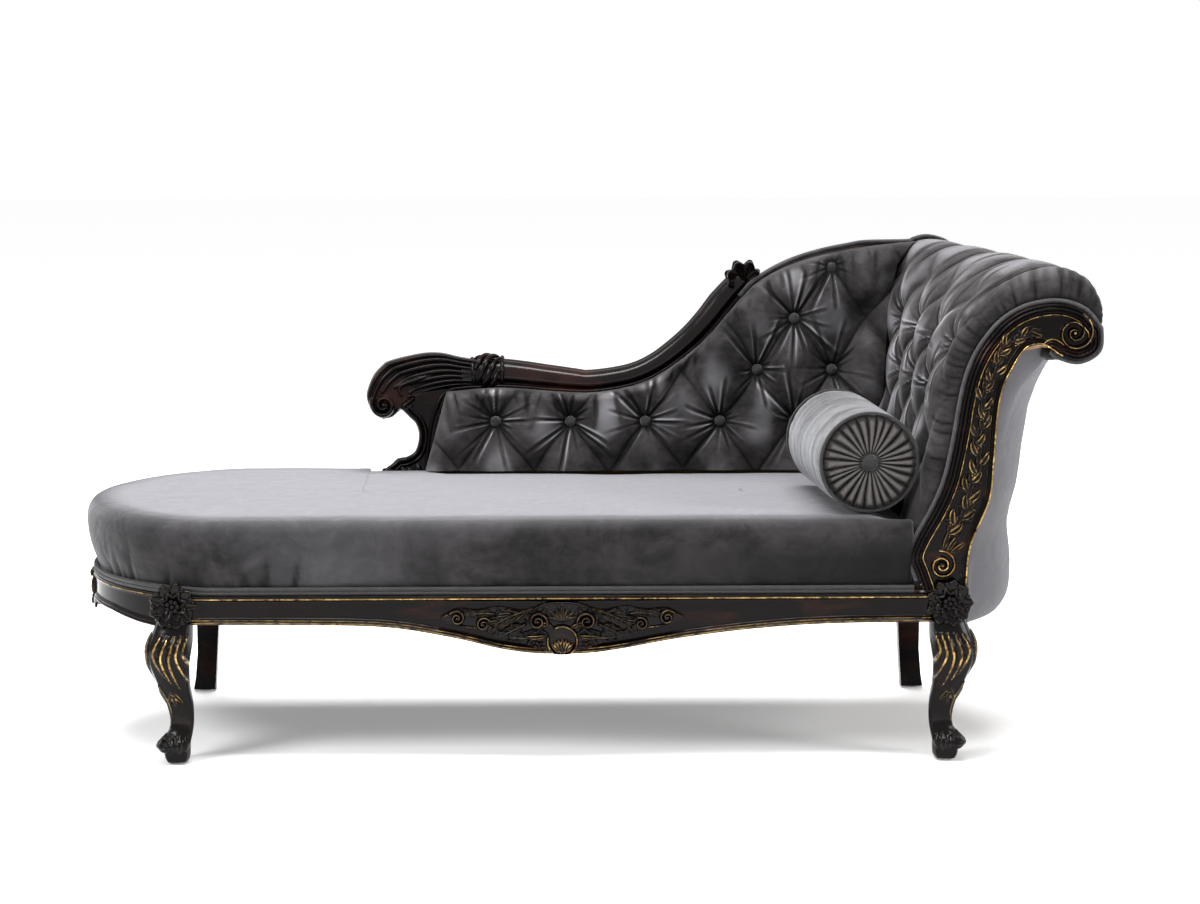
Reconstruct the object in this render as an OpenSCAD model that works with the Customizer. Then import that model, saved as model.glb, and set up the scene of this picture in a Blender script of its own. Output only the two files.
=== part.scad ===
/* [Overall] */
// Distance between the centres of the two front legs
leg_span = 1357; // [1250:1:1450]
// How far the rounded seat end runs out past the foot-end legs
foot_overhang = 185; // [165:1:200]
// How far the rolled head runs out past the head-end legs
head_overhang = 272; // [255:1:290]
// Distance between the centres of the front and the rear legs
frame_depth = 578; // [530:1:630]
// Height of the top of the seat rails
rail_top = 302; // [285:1:330]
// Height of the seat at its crown, above the seat rails
seat_rise = 141; // [125:1:150]
// Height of the head roll and the back above the seat rails
head_rise = 573; // [545:1:600]

/* [Legs and rails] */
// Side of the square post at the top of each leg
post_side = 60; // [56:1:66]
// Thickness of the seat rails
rail_t = 30; // [26:1:34]
// Depth of the seat rails at their shallowest
rail_h = 50; // [46:1:56]
// How far the serpentine apron drops below the rail at its middle
apron_drop = 52; // [36:1:60]
// How far the front rail is set back from the face of the posts
rail_setback = 8; // [6:1:12]
// Radius of the carved knee rosette
rosette_r = 42; // [36:1:46]
// Thickness of the carved knee rosette
rosette_t = 12; // [8:1:16]
// Diameter of a nail glide under a foot
glide_d = 26; // [20:1:30]
// Thickness of a nail glide
glide_t = 4; // [3:0.5:6]

/* [Seat] */
// How far the seat cushion is set in from the outside of the rails
seat_inset = 10; // [6:1:16]
// How far the sides of the seat cushion swell outwards
seat_swell = 17; // [10:1:20]
// Diameter of each cord of the double welt
welt_d = 8; // [6:0.5:9]
// Width of the webbing
web_w = 50; // [40:1:60]
// Thickness of the webbing
web_t = 2; // [1.5:0.5:3]
// Diameter of the wire of the seat springs
spring_wire = 4; // [3:0.5:5]
// Widest diameter of a seat spring
spring_d = 92; // [80:1:100]
// Thickness of the stuffing above the springs
stuffing_t = 66; // [58:1:70]

/* [Back] */
// How far the back leans back from upright, in degrees
back_rake = 7; // [5:0.5:9]
// Thickness of the back frame
back_t = 26; // [22:1:30]
// Thickness of the buttoned back pad
back_pad_t = 52; // [44:1:60]
// Width of the timbers of the back frame
stile_w = 52; // [44:1:60]
// Depth of the buttoning in the back and the head
tuft_depth = 17; // [10:1:20]
// Distance between the buttons in a row
tuft_pitch = 143; // [130:1:156]
// Distance between the rows of buttons
tuft_row = 98; // [92:1:106]
// Diameter of a covered button
button_d = 20; // [16:1:24]
// Thickness of the outside cover
cover_t = 3; // [2:0.5:4]

/* [Show wood] */
// Thickness of the carved crest rail from front to back
crest_t = 44; // [38:1:50]
// Thickness of the scrolled hand-hold from front to back
scroll_t = 56; // [48:1:62]
// Thickness of the carved facing on the front of the head
facing_t = 17; // [14:1:22]

/* [Head] */
// Thickness of the two shaped boards of the head
board_t = 22; // [20:1:26]
// How far the outside of the head bows out
head_bow = 118; // [100:1:126]
// Thickness of the outside panel of the head
panel_t = 5; // [4:0.5:7]

/* [Bolster] */
// Diameter of the loose bolster
bolster_d = 180; // [160:1:190]
// Length of the loose bolster
bolster_length = 330; // [300:1:360]
// Angle of the bolster across the seat, in degrees
bolster_turn = 6; // [3:0.5:8]
// Number of pleats in each end of the bolster
pleats = 28; // [24:1:30]

/* [Hidden] */
// Clearance between pieces that bear on each other
seat_gap = 0.3;
// Overrun of the cuts
over = 1;
round_fn = 48;

foot_x = foot_overhang - (foot_overhang + leg_span + head_overhang) / 2;
head_x = foot_x + leg_span;
back_reach = head_rise * tan(back_rake);
back_behind = back_reach - rail_t / 2 + back_t / 2 + cover_t;
front_y = -(frame_depth + back_behind - post_side / 2 - rosette_t) / 2;
rear_y = front_y + frame_depth;
rail_bottom = rail_top - rail_h;
rail_face_y = front_y - post_side / 2 + rail_setback;
seat_top = rail_top + seat_rise;

function mix(a, b, t) = a + (b - a) * t;
function knot(p, i) = p[max(0, min(len(p) - 1, i))];
function between(a, b, c, d, t) =
    b + (c - a) * t / 2 + (2 * a - 5 * b + 4 * c - d) * t * t / 2
    + (3 * (b - c) + d - a) * t * t * t / 2;
function spline_at(p, u) =
    let (i = min(floor(u), len(p) - 2))
    between(knot(p, i - 1), knot(p, i), knot(p, i + 1), knot(p, i + 2), u - i);
function spline(p, n) =
    [for (k = [0:(len(p) - 1) * n]) spline_at(p, k / n)];
function flat(lists) = [for (a = lists) for (b = a) b];
function backwards(p) = [for (i = [len(p) - 1:-1:0]) p[i]];
function unit(v) = v / norm(v);
function table(pairs, x, i = 0) =
    x <= pairs[0][0] ? pairs[0][1] :
    i > len(pairs) - 2 ? pairs[len(pairs) - 1][1] :
    x <= pairs[i + 1][0] ?
        mix(pairs[i][1], pairs[i + 1][1], (x - pairs[i][0]) / (pairs[i + 1][0] - pairs[i][0])) :
    table(pairs, x, i + 1);

// A closed body through rings of points, capped at both ends
module loft(rings) {
    n = len(rings[0]);
    m = len(rings);
    sides = [for (j = [0:m - 2]) for (i = [0:n - 1])
        let (a = j * n + i, b = j * n + (i + 1) % n)
        for (f = [[a, b, a + n], [b, b + n, a + n]]) f];
    caps = [for (i = [1:n - 2])
        for (f = [[0, i + 1, i], [(m - 1) * n, (m - 1) * n + i, (m - 1) * n + i + 1]]) f];
    polyhedron(flat(rings), concat(sides, caps));
}

// A closed body between an outer and an inner sheet of points
module between_sheets(outer, inner) {
    m = len(outer);
    n = len(outer[0]);
    s = m * n;
    faces = concat(
        [for (j = [0:m - 2]) for (i = [0:n - 2])
            let (a = j * n + i)
            for (f = [[a, a + 1, a + n], [a + 1, a + n + 1, a + n],
                [s + a, s + a + n, s + a + 1], [s + a + 1, s + a + n, s + a + n + 1]]) f],
        [for (i = [0:n - 2]) let (b = (m - 1) * n + i)
            for (f = [[i, s + i, i + 1], [i + 1, s + i, s + i + 1],
                [b, b + 1, s + b], [b + 1, s + b + 1, s + b]]) f],
        [for (j = [0:m - 2]) let (a = j * n, b = j * n + n - 1)
            for (f = [[a, a + n, s + a], [a + n, s + a + n, s + a],
                [b, s + b, b + n], [b + n, s + b, s + b + n]]) f]);
    polyhedron(concat(flat(outer), flat(inner)), faces);
}

// A cord of n sides along a path, with the given up direction
module cord(path, r, n = 6, up = [0, 0, 1]) {
    last = len(path) - 1;
    loft([for (j = [0:last])
        let (along = unit(path[min(j + 1, last)] - path[max(j - 1, 0)]),
            side = unit(cross(along, up)),
            rise = cross(side, along))
        [for (i = [0:n - 1])
            path[j] + r * (cos(360 * i / n) * side + sin(360 * i / n) * rise)]]);
}

module bar_y(x0, x1, y0, y1, z0, z1) {
    translate([x0, y0, z0]) cube([x1 - x0, y1 - y0, z1 - z0]);
}

// Frame and legs

// Arc of the foot-end rail, through the leg centres and the end of the seat
end_sweep = foot_overhang - seat_swell + seat_inset;
end_r = (frame_depth * frame_depth / 4 + end_sweep * end_sweep) / (2 * end_sweep);
end_x = foot_x - end_sweep + end_r;
end_y = (front_y + rear_y) / 2;
end_angle = asin(frame_depth / 2 / end_r);

function end_point(a, r, z) = [end_x - r * cos(a), end_y - r * sin(a), z];

// Outside of the head: how far it bows out at each share of its depth
bow_power = 2.6;
function bow_share(s) = 1 - pow(abs(2 * s - 1), bow_power);
function rail_out_x(s) =
    min([for (d = [0:0.125:1]) panel_in_x(s, -d * rail_h / head_rise)]) - 3 * seat_gap;

module post_box(x, y, z0, z1) {
    bar_y(x - post_side / 2 - seat_gap, x + post_side / 2 + seat_gap,
        y - post_side / 2 - seat_gap, y + post_side / 2 + seat_gap, z0, z1);
}

module all_posts() {
    for (x = [foot_x, head_x], y = [front_y, rear_y])
        post_box(x, y, 0, rail_top + over);
}

// Lower edge of the front rail, as shares of its length and of the drop of the apron
apron_shares = [[0, 0], [0.14, 0.02], [0.26, 0.1], [0.35, 0.45], [0.42, 0.85], [0.47, 1],
    [0.53, 1], [0.58, 0.85], [0.66, 0.5], [0.76, 0.2], [0.86, 0.04], [1, 0]];
apron_steps = 4;
rail_x0 = foot_x + post_side / 2 + seat_gap;
rail_x1 = head_x - post_side / 2 - seat_gap;
apron_edge = [for (p = spline(apron_shares, apron_steps))
    [mix(rail_x0, rail_x1, p[0]), rail_bottom - apron_drop * p[1]]];

screw_r = 2.2;
screw_bore_r = 2.3;
screw_head_r = 4.2;
screw_head_t = 2.6;
screw_length = 38;
block_leg = 62;
block_h = rail_h * 0.8;
block_z = rail_top - block_h - web_t;
cushion_gap = 2;

module front_rail() {
    color("#1a1110") difference() {
        translate([0, rail_face_y + rail_t, 0]) rotate([90, 0, 0]) linear_extrude(rail_t)
            polygon(concat(apron_edge, [[rail_x1, rail_top], [rail_x0, rail_top]]));
        for (s = [-1, 1]) block_screw_bores(s, -1);
    }
}

module rear_rail() {
    color("#1a1110") difference() {
        bar_y(rail_x0, rail_x1, rear_y - rail_t, rear_y, rail_bottom, rail_top);
        for (s = [-1, 1]) block_screw_bores(s, 1);
    }
}

// Lower edge of the foot-end rail, lowest at the legs and at the ornament in its middle
end_drop_shares = [[0, 0.3], [0.12, 0.18], [0.24, 0], [0.4, -0.04], [0.46, 0.4], [0.5, 0.5]];
end_drop = apron_drop * 0.9;

module foot_end_rail() {
    color("#1a1110") difference() {
        loft([for (k = [-12:12])
            let (a = end_angle * k / 12,
                z = rail_bottom - end_drop * table(end_drop_shares, 0.5 - abs(k) / 24))
            [end_point(a, end_r - rail_t, z), end_point(a, end_r, z),
                end_point(a, end_r, rail_top), end_point(a, end_r - rail_t, rail_top)]]);
        all_posts();
    }
}

module head_end_rail() {
    edge = [for (k = [1:panel_steps_s]) let (s = k / panel_steps_s)
        [rail_out_x(s), mix(panel_y0, slab_y(rail_top, back_t / 2 + cover_t), s)]];
    inner = [for (p = backwards(edge)) [p[0] - rail_t, p[1]]];
    color("#1a1110") difference() {
        translate([0, 0, rail_bottom]) linear_extrude(rail_h) polygon(concat(edge, inner));
        all_posts();
    }
}

// Heights, widths and outward offsets of a cabriole front leg,
// as shares of the leg's height, its post's side and its post's side
cabriole_shares = [[0, 0.62, 0], [0.03, 0.74, 0], [0.09, 0.86, 0.01], [0.145, 0.98, 0.04],
    [0.2, 0.82, -0.06], [0.26, 0.71, -0.14], [0.34, 0.7, -0.14], [0.45, 0.78, -0.09],
    [0.56, 0.92, 0.03], [0.66, 1.05, 0.11], [0.76, 1.2, 0.17], [0.86, 1.3, 0.16],
    [0.93, 1.28, 0.11]];
leg_sides = 16;
function ring_side(a, square) =
    let (q = max(abs(cos(a)), abs(sin(a)))) mix(1, 1 / q, square);
function leg_ring(x, y, z, side, square) =
    [for (i = [0:leg_sides - 1])
        let (a = 360 * i / leg_sides, r = side / 2 * ring_side(a, square))
        [x + r * cos(a), y + r * sin(a), z]];

module cabriole_leg(x, out_x) {
    leg_h = rail_bottom - end_drop * 0.3 - glide_t;
    rows = spline(cabriole_shares, 2);
    difference() {
        loft(concat(
            [for (p = rows)
                let (off = p[2] * post_side)
                leg_ring(x + out_x * off, front_y - off, glide_t + leg_h * p[0],
                    p[1] * post_side, 0.35)],
            [leg_ring(x, front_y, glide_t + leg_h, post_side, 1),
                leg_ring(x, front_y, rail_top, post_side, 1)]));
        translate([x, front_y, 0]) cylinder(r = screw_bore_r, h = glide_stem + glide_t, $fn = round_fn);
    }
}

rear_leg_shares = [[0, 0.74, 0.3], [0.1, 0.7, 0.2], [0.3, 0.68, 0.06], [0.6, 0.76, -0.02],
    [0.9, 0.92, -0.01]];
module rear_leg(x, out_x) {
    leg_h = rail_bottom - glide_t;
    difference() {
        loft(concat(
            [for (p = rear_leg_shares)
                leg_ring(x + out_x * p[2] * post_side / 2, rear_y + p[2] * post_side / 2,
                    glide_t + leg_h * p[0], p[1] * post_side, 0.8)],
            [leg_ring(x, rear_y, rail_bottom, post_side, 1),
                leg_ring(x, rear_y, rail_top, post_side, 1)]));
        translate([x + out_x * 0.15 * post_side, rear_y + 0.15 * post_side, 0])
            cylinder(r = screw_bore_r, h = glide_stem + glide_t, $fn = round_fn);
    }
}

module front_leg_foot_end() color("#1a1110") cabriole_leg(foot_x, -1);
module front_leg_head_end() color("#1a1110") cabriole_leg(head_x, 1);
module rear_leg_foot_end() color("#1a1110") rear_leg(foot_x, -1);
module rear_leg_head_end() color("#1a1110") rear_leg(head_x, 1);

glide_stem = 18;
glide_r = glide_d / 2;
toe_out = 0.15 * post_side;
module nail_glides() {
    color("#8a8a88")
    for (p = [[foot_x, front_y], [head_x, front_y],
        [foot_x - toe_out, rear_y + toe_out], [head_x + toe_out, rear_y + toe_out]])
        translate([p[0], p[1], 0]) {
            cylinder(r = glide_r, h = glide_t, $fn = round_fn);
            cylinder(r = screw_r, h = glide_t + glide_stem - over, $fn = round_fn);
        }
}

// s is the foot end (-1) or the head end (1), t the front (-1) or the rear (1)
screw_in_rail = 16;
screw_in_block = 20;
function block_x(s) = (s < 0 ? rail_x0 : rail_x1);
function block_y(t) = (t < 0 ? rail_face_y + rail_t : rear_y - rail_t);
module at_block_screws(s, t) {
    for (u = [0.2, 0.48])
        translate([block_x(s) - s * block_leg * u, block_y(t), block_z + block_h / 2])
            rotate([90 * t, 0, 0]) children();
}
module block_screw_bores(s, t) {
    at_block_screws(s, t) {
        translate([0, 0, -screw_in_rail - over])
            cylinder(r = screw_bore_r, h = screw_in_rail + screw_in_block + over, $fn = round_fn);
        translate([0, 0, screw_in_block - seat_gap / 3])
            cylinder(r = screw_head_r + seat_gap / 3, h = block_leg, $fn = round_fn);
    }
}

module corner_blocks() {
    color("#b08a5a") for (s = [-1, 1], t = [-1, 1]) difference() {
        translate([block_x(s), block_y(t) - t * seat_gap, block_z]) linear_extrude(block_h)
            polygon([[0, 0], [-s * block_leg, 0], [0, -t * block_leg]]);
        block_screw_bores(s, t);
    }
}

module corner_block_screws() {
    color("#9a9a98") for (s = [-1, 1], t = [-1, 1]) at_block_screws(s, t) {
        translate([0, 0, -screw_in_rail])
            cylinder(r = screw_r, h = screw_in_rail + screw_in_block, $fn = round_fn);
        translate([0, 0, screw_in_block])
            cylinder(r = screw_head_r, h = screw_head_t, $fn = round_fn);
    }
}

// Seat suspension
bar_w = 40;
bar_h = rail_h * 0.44;
batten_w = 24;
web_z = rail_bottom + bar_h;
web_top = web_z + 2 * web_t;
bar_in = block_leg + cushion_gap;
bar_x_foot = rail_x0 + bar_in;
bar_x_head = rail_x1 - bar_in - bar_w;
inside_y0 = block_y(-1) + seat_gap;
inside_y1 = block_y(1) - seat_gap;
web_across = 9;
web_along = 3;
web_span = bar_x_head - bar_x_foot - bar_w;
function across_x(k) = bar_x_foot + bar_w + web_span * (k + 0.5) / web_across;
function along_y(k) = mix(inside_y0, inside_y1, (k + 0.5) / web_along);

module seat_cross_bars() {
    color("#b08a5a") for (x = [bar_x_foot, bar_x_head])
        bar_y(x, x + bar_w, inside_y0, inside_y1, rail_bottom, web_z);
}

module webbing_battens() {
    color("#b08a5a") for (y = [inside_y0, inside_y1 - batten_w])
        bar_y(bar_x_foot + bar_w + seat_gap, bar_x_head - seat_gap, y, y + batten_w,
            rail_bottom, web_z);
}

module seat_webbing() {
    color("#c9b48a") {
        for (k = [0:web_across - 1])
            bar_y(across_x(k) - web_w / 2, across_x(k) + web_w / 2, inside_y0, inside_y1,
                web_z, web_z + web_t);
        for (k = [0:web_along - 1])
            bar_y(bar_x_foot, bar_x_head + bar_w, along_y(k) - web_w / 2, along_y(k) + web_w / 2,
                web_z + web_t, web_top);
    }
}

// A waisted coil spring: one unbroken wire of a few turns
spring_turns = 4.5;
spring_steps = 8;
spring_top = seat_top - stuffing_t;
spring_waist_share = 0.3;
module coil_spring() {
    rise = spring_top - web_top - spring_wire - 2 * seat_gap;
    last = spring_turns * spring_steps;
    path = [for (k = [0:last])
        let (t = k / last, a = 360 * k / spring_steps,
            r = (spring_d - spring_wire) / 2 * (1 - spring_waist_share * sin(180 * t)))
        [r * cos(a), r * sin(a), rise * t]];
    loft([for (k = [0:last]) let (a = 360 * k / spring_steps)
        [for (i = [0:3]) path[k] + spring_wire / 2
            * [sin(90 * i) * cos(a), sin(90 * i) * sin(a), cos(90 * i)]]]);
}

module seat_springs() {
    color("#7d7f84")
    for (i = [0:2:web_across - 1], k = [0:web_along - 1])
        translate([across_x(i), along_y(k), web_top + spring_wire / 2 + seat_gap]) coil_spring();
}

hollow_in = 34;
hollow_x0 = bar_x_foot;
hollow_x1 = bar_x_head + bar_w;
hollow_y0 = inside_y0 + hollow_in - batten_w;
hollow_y1 = inside_y1 - hollow_in + batten_w / 2;
cloth_t = 1.5;
module spring_hessian() {
    color("#a98f62") bar_y(hollow_x0 + cushion_gap, hollow_x1 - cushion_gap,
        hollow_y0 + cushion_gap, hollow_y1 - cushion_gap, spring_top, spring_top + cloth_t);
}

module dust_cover() {
    color("#202020") bar_y(bar_x_foot, bar_x_head + bar_w, inside_y0, inside_y1,
        rail_bottom - cloth_t, rail_bottom);
}

// Plane of the back: a slab leaning back from the top of the rear rail
back_y = rear_y - rail_t / 2;
function slab_y(z, n) = back_y + (z - rail_top) * tan(back_rake) + n / cos(back_rake);
module in_slab(n, depth) {
    translate([0, back_y, rail_top]) rotate([90 - back_rake, 0, 0])
        translate([0, 0, -n - depth]) linear_extrude(depth) children();
}
// A height in the plane of the back, measured along the slab from the rail
function slab_w(z) = (z - rail_top) / cos(back_rake);

// Seat cushion
function head_place(p) = [head_x + head_overhang * p[0], rail_top + head_rise * p[1]];
pad_front_shares = [[-0.272, 0.025], [-0.272, 0.136], [-0.232, 0.241], [-0.173, 0.363],
    [-0.129, 0.476], [-0.092, 0.59], [-0.04, 0.695], [0.055, 0.794], [0.228, 0.89],
    [0.449, 0.969], [0.695, 0.998], [0.893, 0.962], [0.993, 0.869], [0.949, 0.773],
    [0.835, 0.726], [0.695, 0.709], [0.566, 0.71]];
pad_rear_shares = [[-0.32, 0.025], [-0.32, 0.136], [-0.312, 0.241], [-0.265, 0.363],
    [-0.213, 0.476], [-0.199, 0.59], [-0.184, 0.695], [-0.173, 0.794], [-0.129, 0.913],
    [-0.022, 0.984], [0.121, 1], [0.283, 0.972], [0.379, 0.895], [0.368, 0.82],
    [0.29, 0.768], [0.18, 0.742], [0.074, 0.738]];
board_front_shares = [[-0.13, 0.025], [-0.13, 0.136], [-0.114, 0.241], [-0.018, 0.36],
    [0.033, 0.476], [0.074, 0.599], [0.121, 0.689], [0.202, 0.766], [0.32, 0.832],
    [0.485, 0.874], [0.688, 0.887], [0.835, 0.864], [0.901, 0.82], [0.871, 0.768],
    [0.79, 0.75], [0.688, 0.75], [0.588, 0.752]];
board_rear_shares = [[-0.165, 0.025], [-0.165, 0.136], [-0.158, 0.241], [-0.118, 0.363],
    [-0.077, 0.476], [-0.052, 0.59], [-0.029, 0.695], [-0.007, 0.785], [0.033, 0.86],
    [0.074, 0.895], [0.129, 0.904], [0.195, 0.895], [0.232, 0.869], [0.232, 0.834],
    [0.195, 0.808], [0.136, 0.796], [0.074, 0.794]];

seat_end_gap = 2;
seat_x_front = head_place(pad_front_shares[0])[0] - seat_end_gap;
seat_x_rear = head_place(pad_rear_shares[0])[0] - seat_end_gap;
seat_face_y = rail_face_y + seat_inset;
seat_r = end_r - seat_inset;
seat_foot_y = 2 * end_y - seat_face_y;
// Half the depth of the seat's rounded end, never less than half the depth of the seat
seat_half = end_y - seat_face_y;
seat_end_half = max(seat_r, seat_half);
bracket_x = foot_x + leg_span * 0.24;
bracket_t = back_t * 1.3;
seat_back_y = slab_y(rail_top, -bracket_t / 2) - cushion_gap;
seat_arc = asin(seat_half / seat_end_half);
seat_arc_x = end_x - seat_r * cos(seat_arc);
front_steps = 14;
arc_steps = 18;
rear_steps = 5;
end_steps = 6;
// Each place on the edge of the seat: x, y, outward direction, share of the swell,
// and 1 where the back or the head presses on it
seat_edge = concat(
    [for (k = [0:front_steps - 1])
        [mix(seat_x_front, seat_arc_x, k / front_steps), seat_face_y, 0, -1, min(1, 0.4 + k), 0]],
    [for (k = [0:arc_steps]) let (a = mix(seat_arc, -seat_arc, k / arc_steps))
        [end_x - seat_r * cos(a), end_y - seat_end_half * sin(a), -cos(a), -sin(a), 1, 0]],
    [for (k = [1:rear_steps])
        [mix(seat_arc_x, bracket_x - bracket_t / 4, k / rear_steps), seat_foot_y, 0, 1, 0.5, 0]],
    [for (k = [0:rear_steps])
        [mix(bracket_x - bracket_t / 4, seat_x_rear, k / rear_steps), seat_back_y, 0, 1, 0,
            min(1, k)]],
    [for (k = [1:end_steps - 1])
        [mix(seat_x_rear, seat_x_front, k / end_steps),
            mix(seat_back_y, seat_face_y, k / end_steps), 1, 0, 0, 1]]);
// How far the back and head pads press the edge of the seat down, as a share of its rise
press_share = 0.13;
seat_spine_y = (seat_face_y + seat_back_y) / 2;
seat_spine_in = (seat_back_y - seat_face_y) / 2;
// Height share, swell share and share of the way to the middle of the seat;
// the lowest is cut away flat where the seat lies on the rails
seat_levels = [[-0.1, -0.86, 0], [0.14, 0, 0], [0.38, 0.7, 0], [0.62, 1, 0], [0.8, 0.9, 0],
    [0.89, 0.45, 0], [0.935, -0.3, 0], [0.958, -0.6, 0.06], [0.978, -0.6, 0.17],
    [0.994, -0.6, 0.5], [1, -0.6, 0.9]];

function seat_point(e, level) =
    let (off = level[1] * seat_swell * e[4],
        x = e[0] + e[2] * off,
        y = e[1] + e[3] * off,
        sx = max(end_x, min(seat_x_rear - seat_spine_in, e[0])))
    [mix(x, sx, level[2]), mix(y, seat_spine_y, level[2]),
        rail_top + seat_gap + (seat_rise - seat_gap) * (level[0]
            - (level[0] > 0.5 ? e[5] * press_share * max(0, 1 - 5 * level[2]) : 0))];

module rings_body(rings) {
    n = len(rings[0]);
    m = len(rings);
    polyhedron(flat(rings), concat(
        [for (j = [0:m - 2]) for (i = [0:n - 1])
            let (a = j * n + i, b = j * n + (i + 1) % n)
            for (f = [[a, a + n, b], [b, a + n, b + n]]) f],
        [[for (i = [0:n - 1]) i]],
        [[for (i = [n - 1:-1:0]) (m - 1) * n + i]]));
}

module seat_cushion() {
    color("#55545a") difference() {
        rings_body([for (v = seat_levels) [for (e = seat_edge) seat_point(e, v)]]);
        bar_y(-leg_span, leg_span, -frame_depth, frame_depth, 0, rail_top + seat_gap);
        bar_y(hollow_x0, hollow_x1, hollow_y0, hollow_y1, rail_top - over,
            spring_top + cloth_t + seat_gap);
    }
}

// Double welt round the foot of the seat, from the head round to the back
welt_path = [for (k = [0:front_steps + arc_steps + rear_steps])
    let (e = seat_edge[k]) [e[0], e[1], 0]];
// Height of a six-sided cord across its flats
cord_flat = welt_d * sin(60);
function welt_out(k, d) = let (e = seat_edge[k]) [e[2] * d, e[3] * d, 0];
module seat_double_welt() {
    color("#8d8a8c") for (j = [0, 1])
        cord([for (k = [0:len(welt_path) - 1])
            welt_path[k] + welt_out(k, welt_d * 0.55 + seat_gap)
            + [0, 0, rail_top + seat_gap + cord_flat / 2 + j * (cord_flat + seat_gap)]],
            welt_d / 2, 6);
}

// Gilt beads along the front rail
bead_r = 3;
module front_rail_beads() {
    color("#b8893a") {
        cord([for (k = [0:1]) [mix(rail_x0, rail_x1, k) , rail_face_y - bead_r * 0.9 - seat_gap,
            rail_top - 2 * bead_r]], bead_r, 6);
        cord([for (p = apron_edge) [p[0], rail_face_y - bead_r * 0.9 - seat_gap,
            p[1] + 2.4 * bead_r]], bead_r, 6);
    }
}

// Carved cartouche in the middle of the apron: a shell between running leaves
cartouche_w = 426;
cartouche_h = apron_drop * 1.55;
cartouche_t = 14;
cartouche_shares = [[-0.5, 0.72], [-0.43, 0.9], [-0.34, 0.88], [-0.26, 0.95], [-0.16, 0.86],
    [-0.08, 1], [0, 1.04], [0.08, 1], [0.16, 0.86], [0.26, 0.95], [0.34, 0.88], [0.43, 0.9],
    [0.5, 0.72], [0.45, 0.56], [0.34, 0.46], [0.24, 0.24], [0.14, 0.1], [0.07, -0.04],
    [0, -0.1], [-0.07, -0.04], [-0.14, 0.1], [-0.24, 0.24], [-0.34, 0.46], [-0.45, 0.56]];
cartouche_z = rail_bottom - apron_drop + bead_r * 2;
cartouche_x = (rail_x0 + rail_x1) / 2;
module apron_cartouche() {
    color("#241a14")
    translate([cartouche_x, rail_face_y - 2 * bead_r - 2 * seat_gap, cartouche_z])
        rotate([90, 0, 0]) {
        linear_extrude(cartouche_t / 3)
            polygon([for (p = cartouche_shares) [p[0] * cartouche_w, p[1] * cartouche_h]]);
        translate([0, cartouche_h * 0.44, cartouche_t / 3])
            cylinder(r1 = cartouche_h * 0.42, r2 = cartouche_h * 0.24, h = cartouche_t * 0.6,
                $fn = round_fn);
        for (s = [-1, 1], k = [1:3])
            translate([s * cartouche_w * (0.06 + 0.12 * k), cartouche_h * (0.5 + 0.06 * k),
                cartouche_t / 3])
                cylinder(r1 = cartouche_h * (0.3 - 0.04 * k), r2 = cartouche_h * 0.1,
                    h = cartouche_t * 0.4, $fn = round_fn);
    }
}

ornament_t = 8;
ornament_angle = 5.5;
module foot_end_ornament() {
    z0 = rail_bottom - end_drop * 0.5;
    color("#241a14") loft([for (k = [-3:3])
        let (out = ornament_t * (1 - k * k / 14), a = ornament_angle * k / 3)
        [end_point(a, end_r + seat_gap, z0), end_point(a, end_r + out, z0),
            end_point(a, end_r + out, rail_top), end_point(a, end_r + seat_gap, rail_top)]]);
}

petals = 8;
module rosette(x) {
    color("#241a14")
    translate([x, front_y - post_side / 2 - seat_gap, rail_top - rosette_r / 3])
        rotate([90, 0, 0]) {
        linear_extrude(rosette_t / 2)
            polygon([for (k = [0:63]) let (a = 360 * k / 64)
                rosette_r * (0.9 + 0.1 * abs(cos(a * petals / 2))) * [cos(a), sin(a)]]);
        translate([0, 0, rosette_t / 2])
            cylinder(r1 = rosette_r * 0.66, r2 = rosette_r * 0.3, h = rosette_t / 2, $fn = round_fn);
    }
}
module knee_rosette_foot_end() rosette(foot_x);
module knee_rosette_head_end() rosette(head_x);

// Back
back_left = bracket_x + stile_w * 1.83;
back_right = head_place(board_rear_shares[0])[0];
back_span = back_right - back_left;
slab_w0 = (back_t / 2 + cover_t) * tan(back_rake) + seat_gap;
function back_place(p) = [back_left + back_span * p[0], head_rise / cos(back_rake) * p[1]];
left_shares = [[0, 0.004], [0, 0.227], [0.011, 0.345], [0.033, 0.45]];
contour_shares = [[0.048, 0.49], [0.163, 0.504], [0.292, 0.49], [0.378, 0.489], [0.486, 0.529],
    [0.594, 0.647], [0.679, 0.798], [0.718, 0.86], [0.789, 0.92], [0.875, 0.96], [0.983, 0.988]];
contour_steps = 3;
contour = [for (p = spline(contour_shares, contour_steps)) back_place(p)];
left_edge = [for (p = left_shares) back_place(p)];
roll_first_step = 9;
roll_end = [for (p = spline([for (k = [roll_first_step:16]) pad_rear_shares[k]], 2))
    let (q = head_place(p)) [q[0], slab_w(q[1])]];
back_right_x = head_place(pad_rear_shares[16])[0];
silhouette = concat(left_edge, contour, roll_end, [[back_right_x, slab_w0]]);

function edge_normal(p, i) =
    let (a = p[max(0, i - 1)], b = p[min(len(p) - 1, i + 1)], t = unit(b - a)) [-t[1], t[0]];
function shifted(p, d) = [for (i = [0:len(p) - 1]) p[i] + d * edge_normal(p, i)];
cover_in = cover_t + seat_gap;

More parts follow.
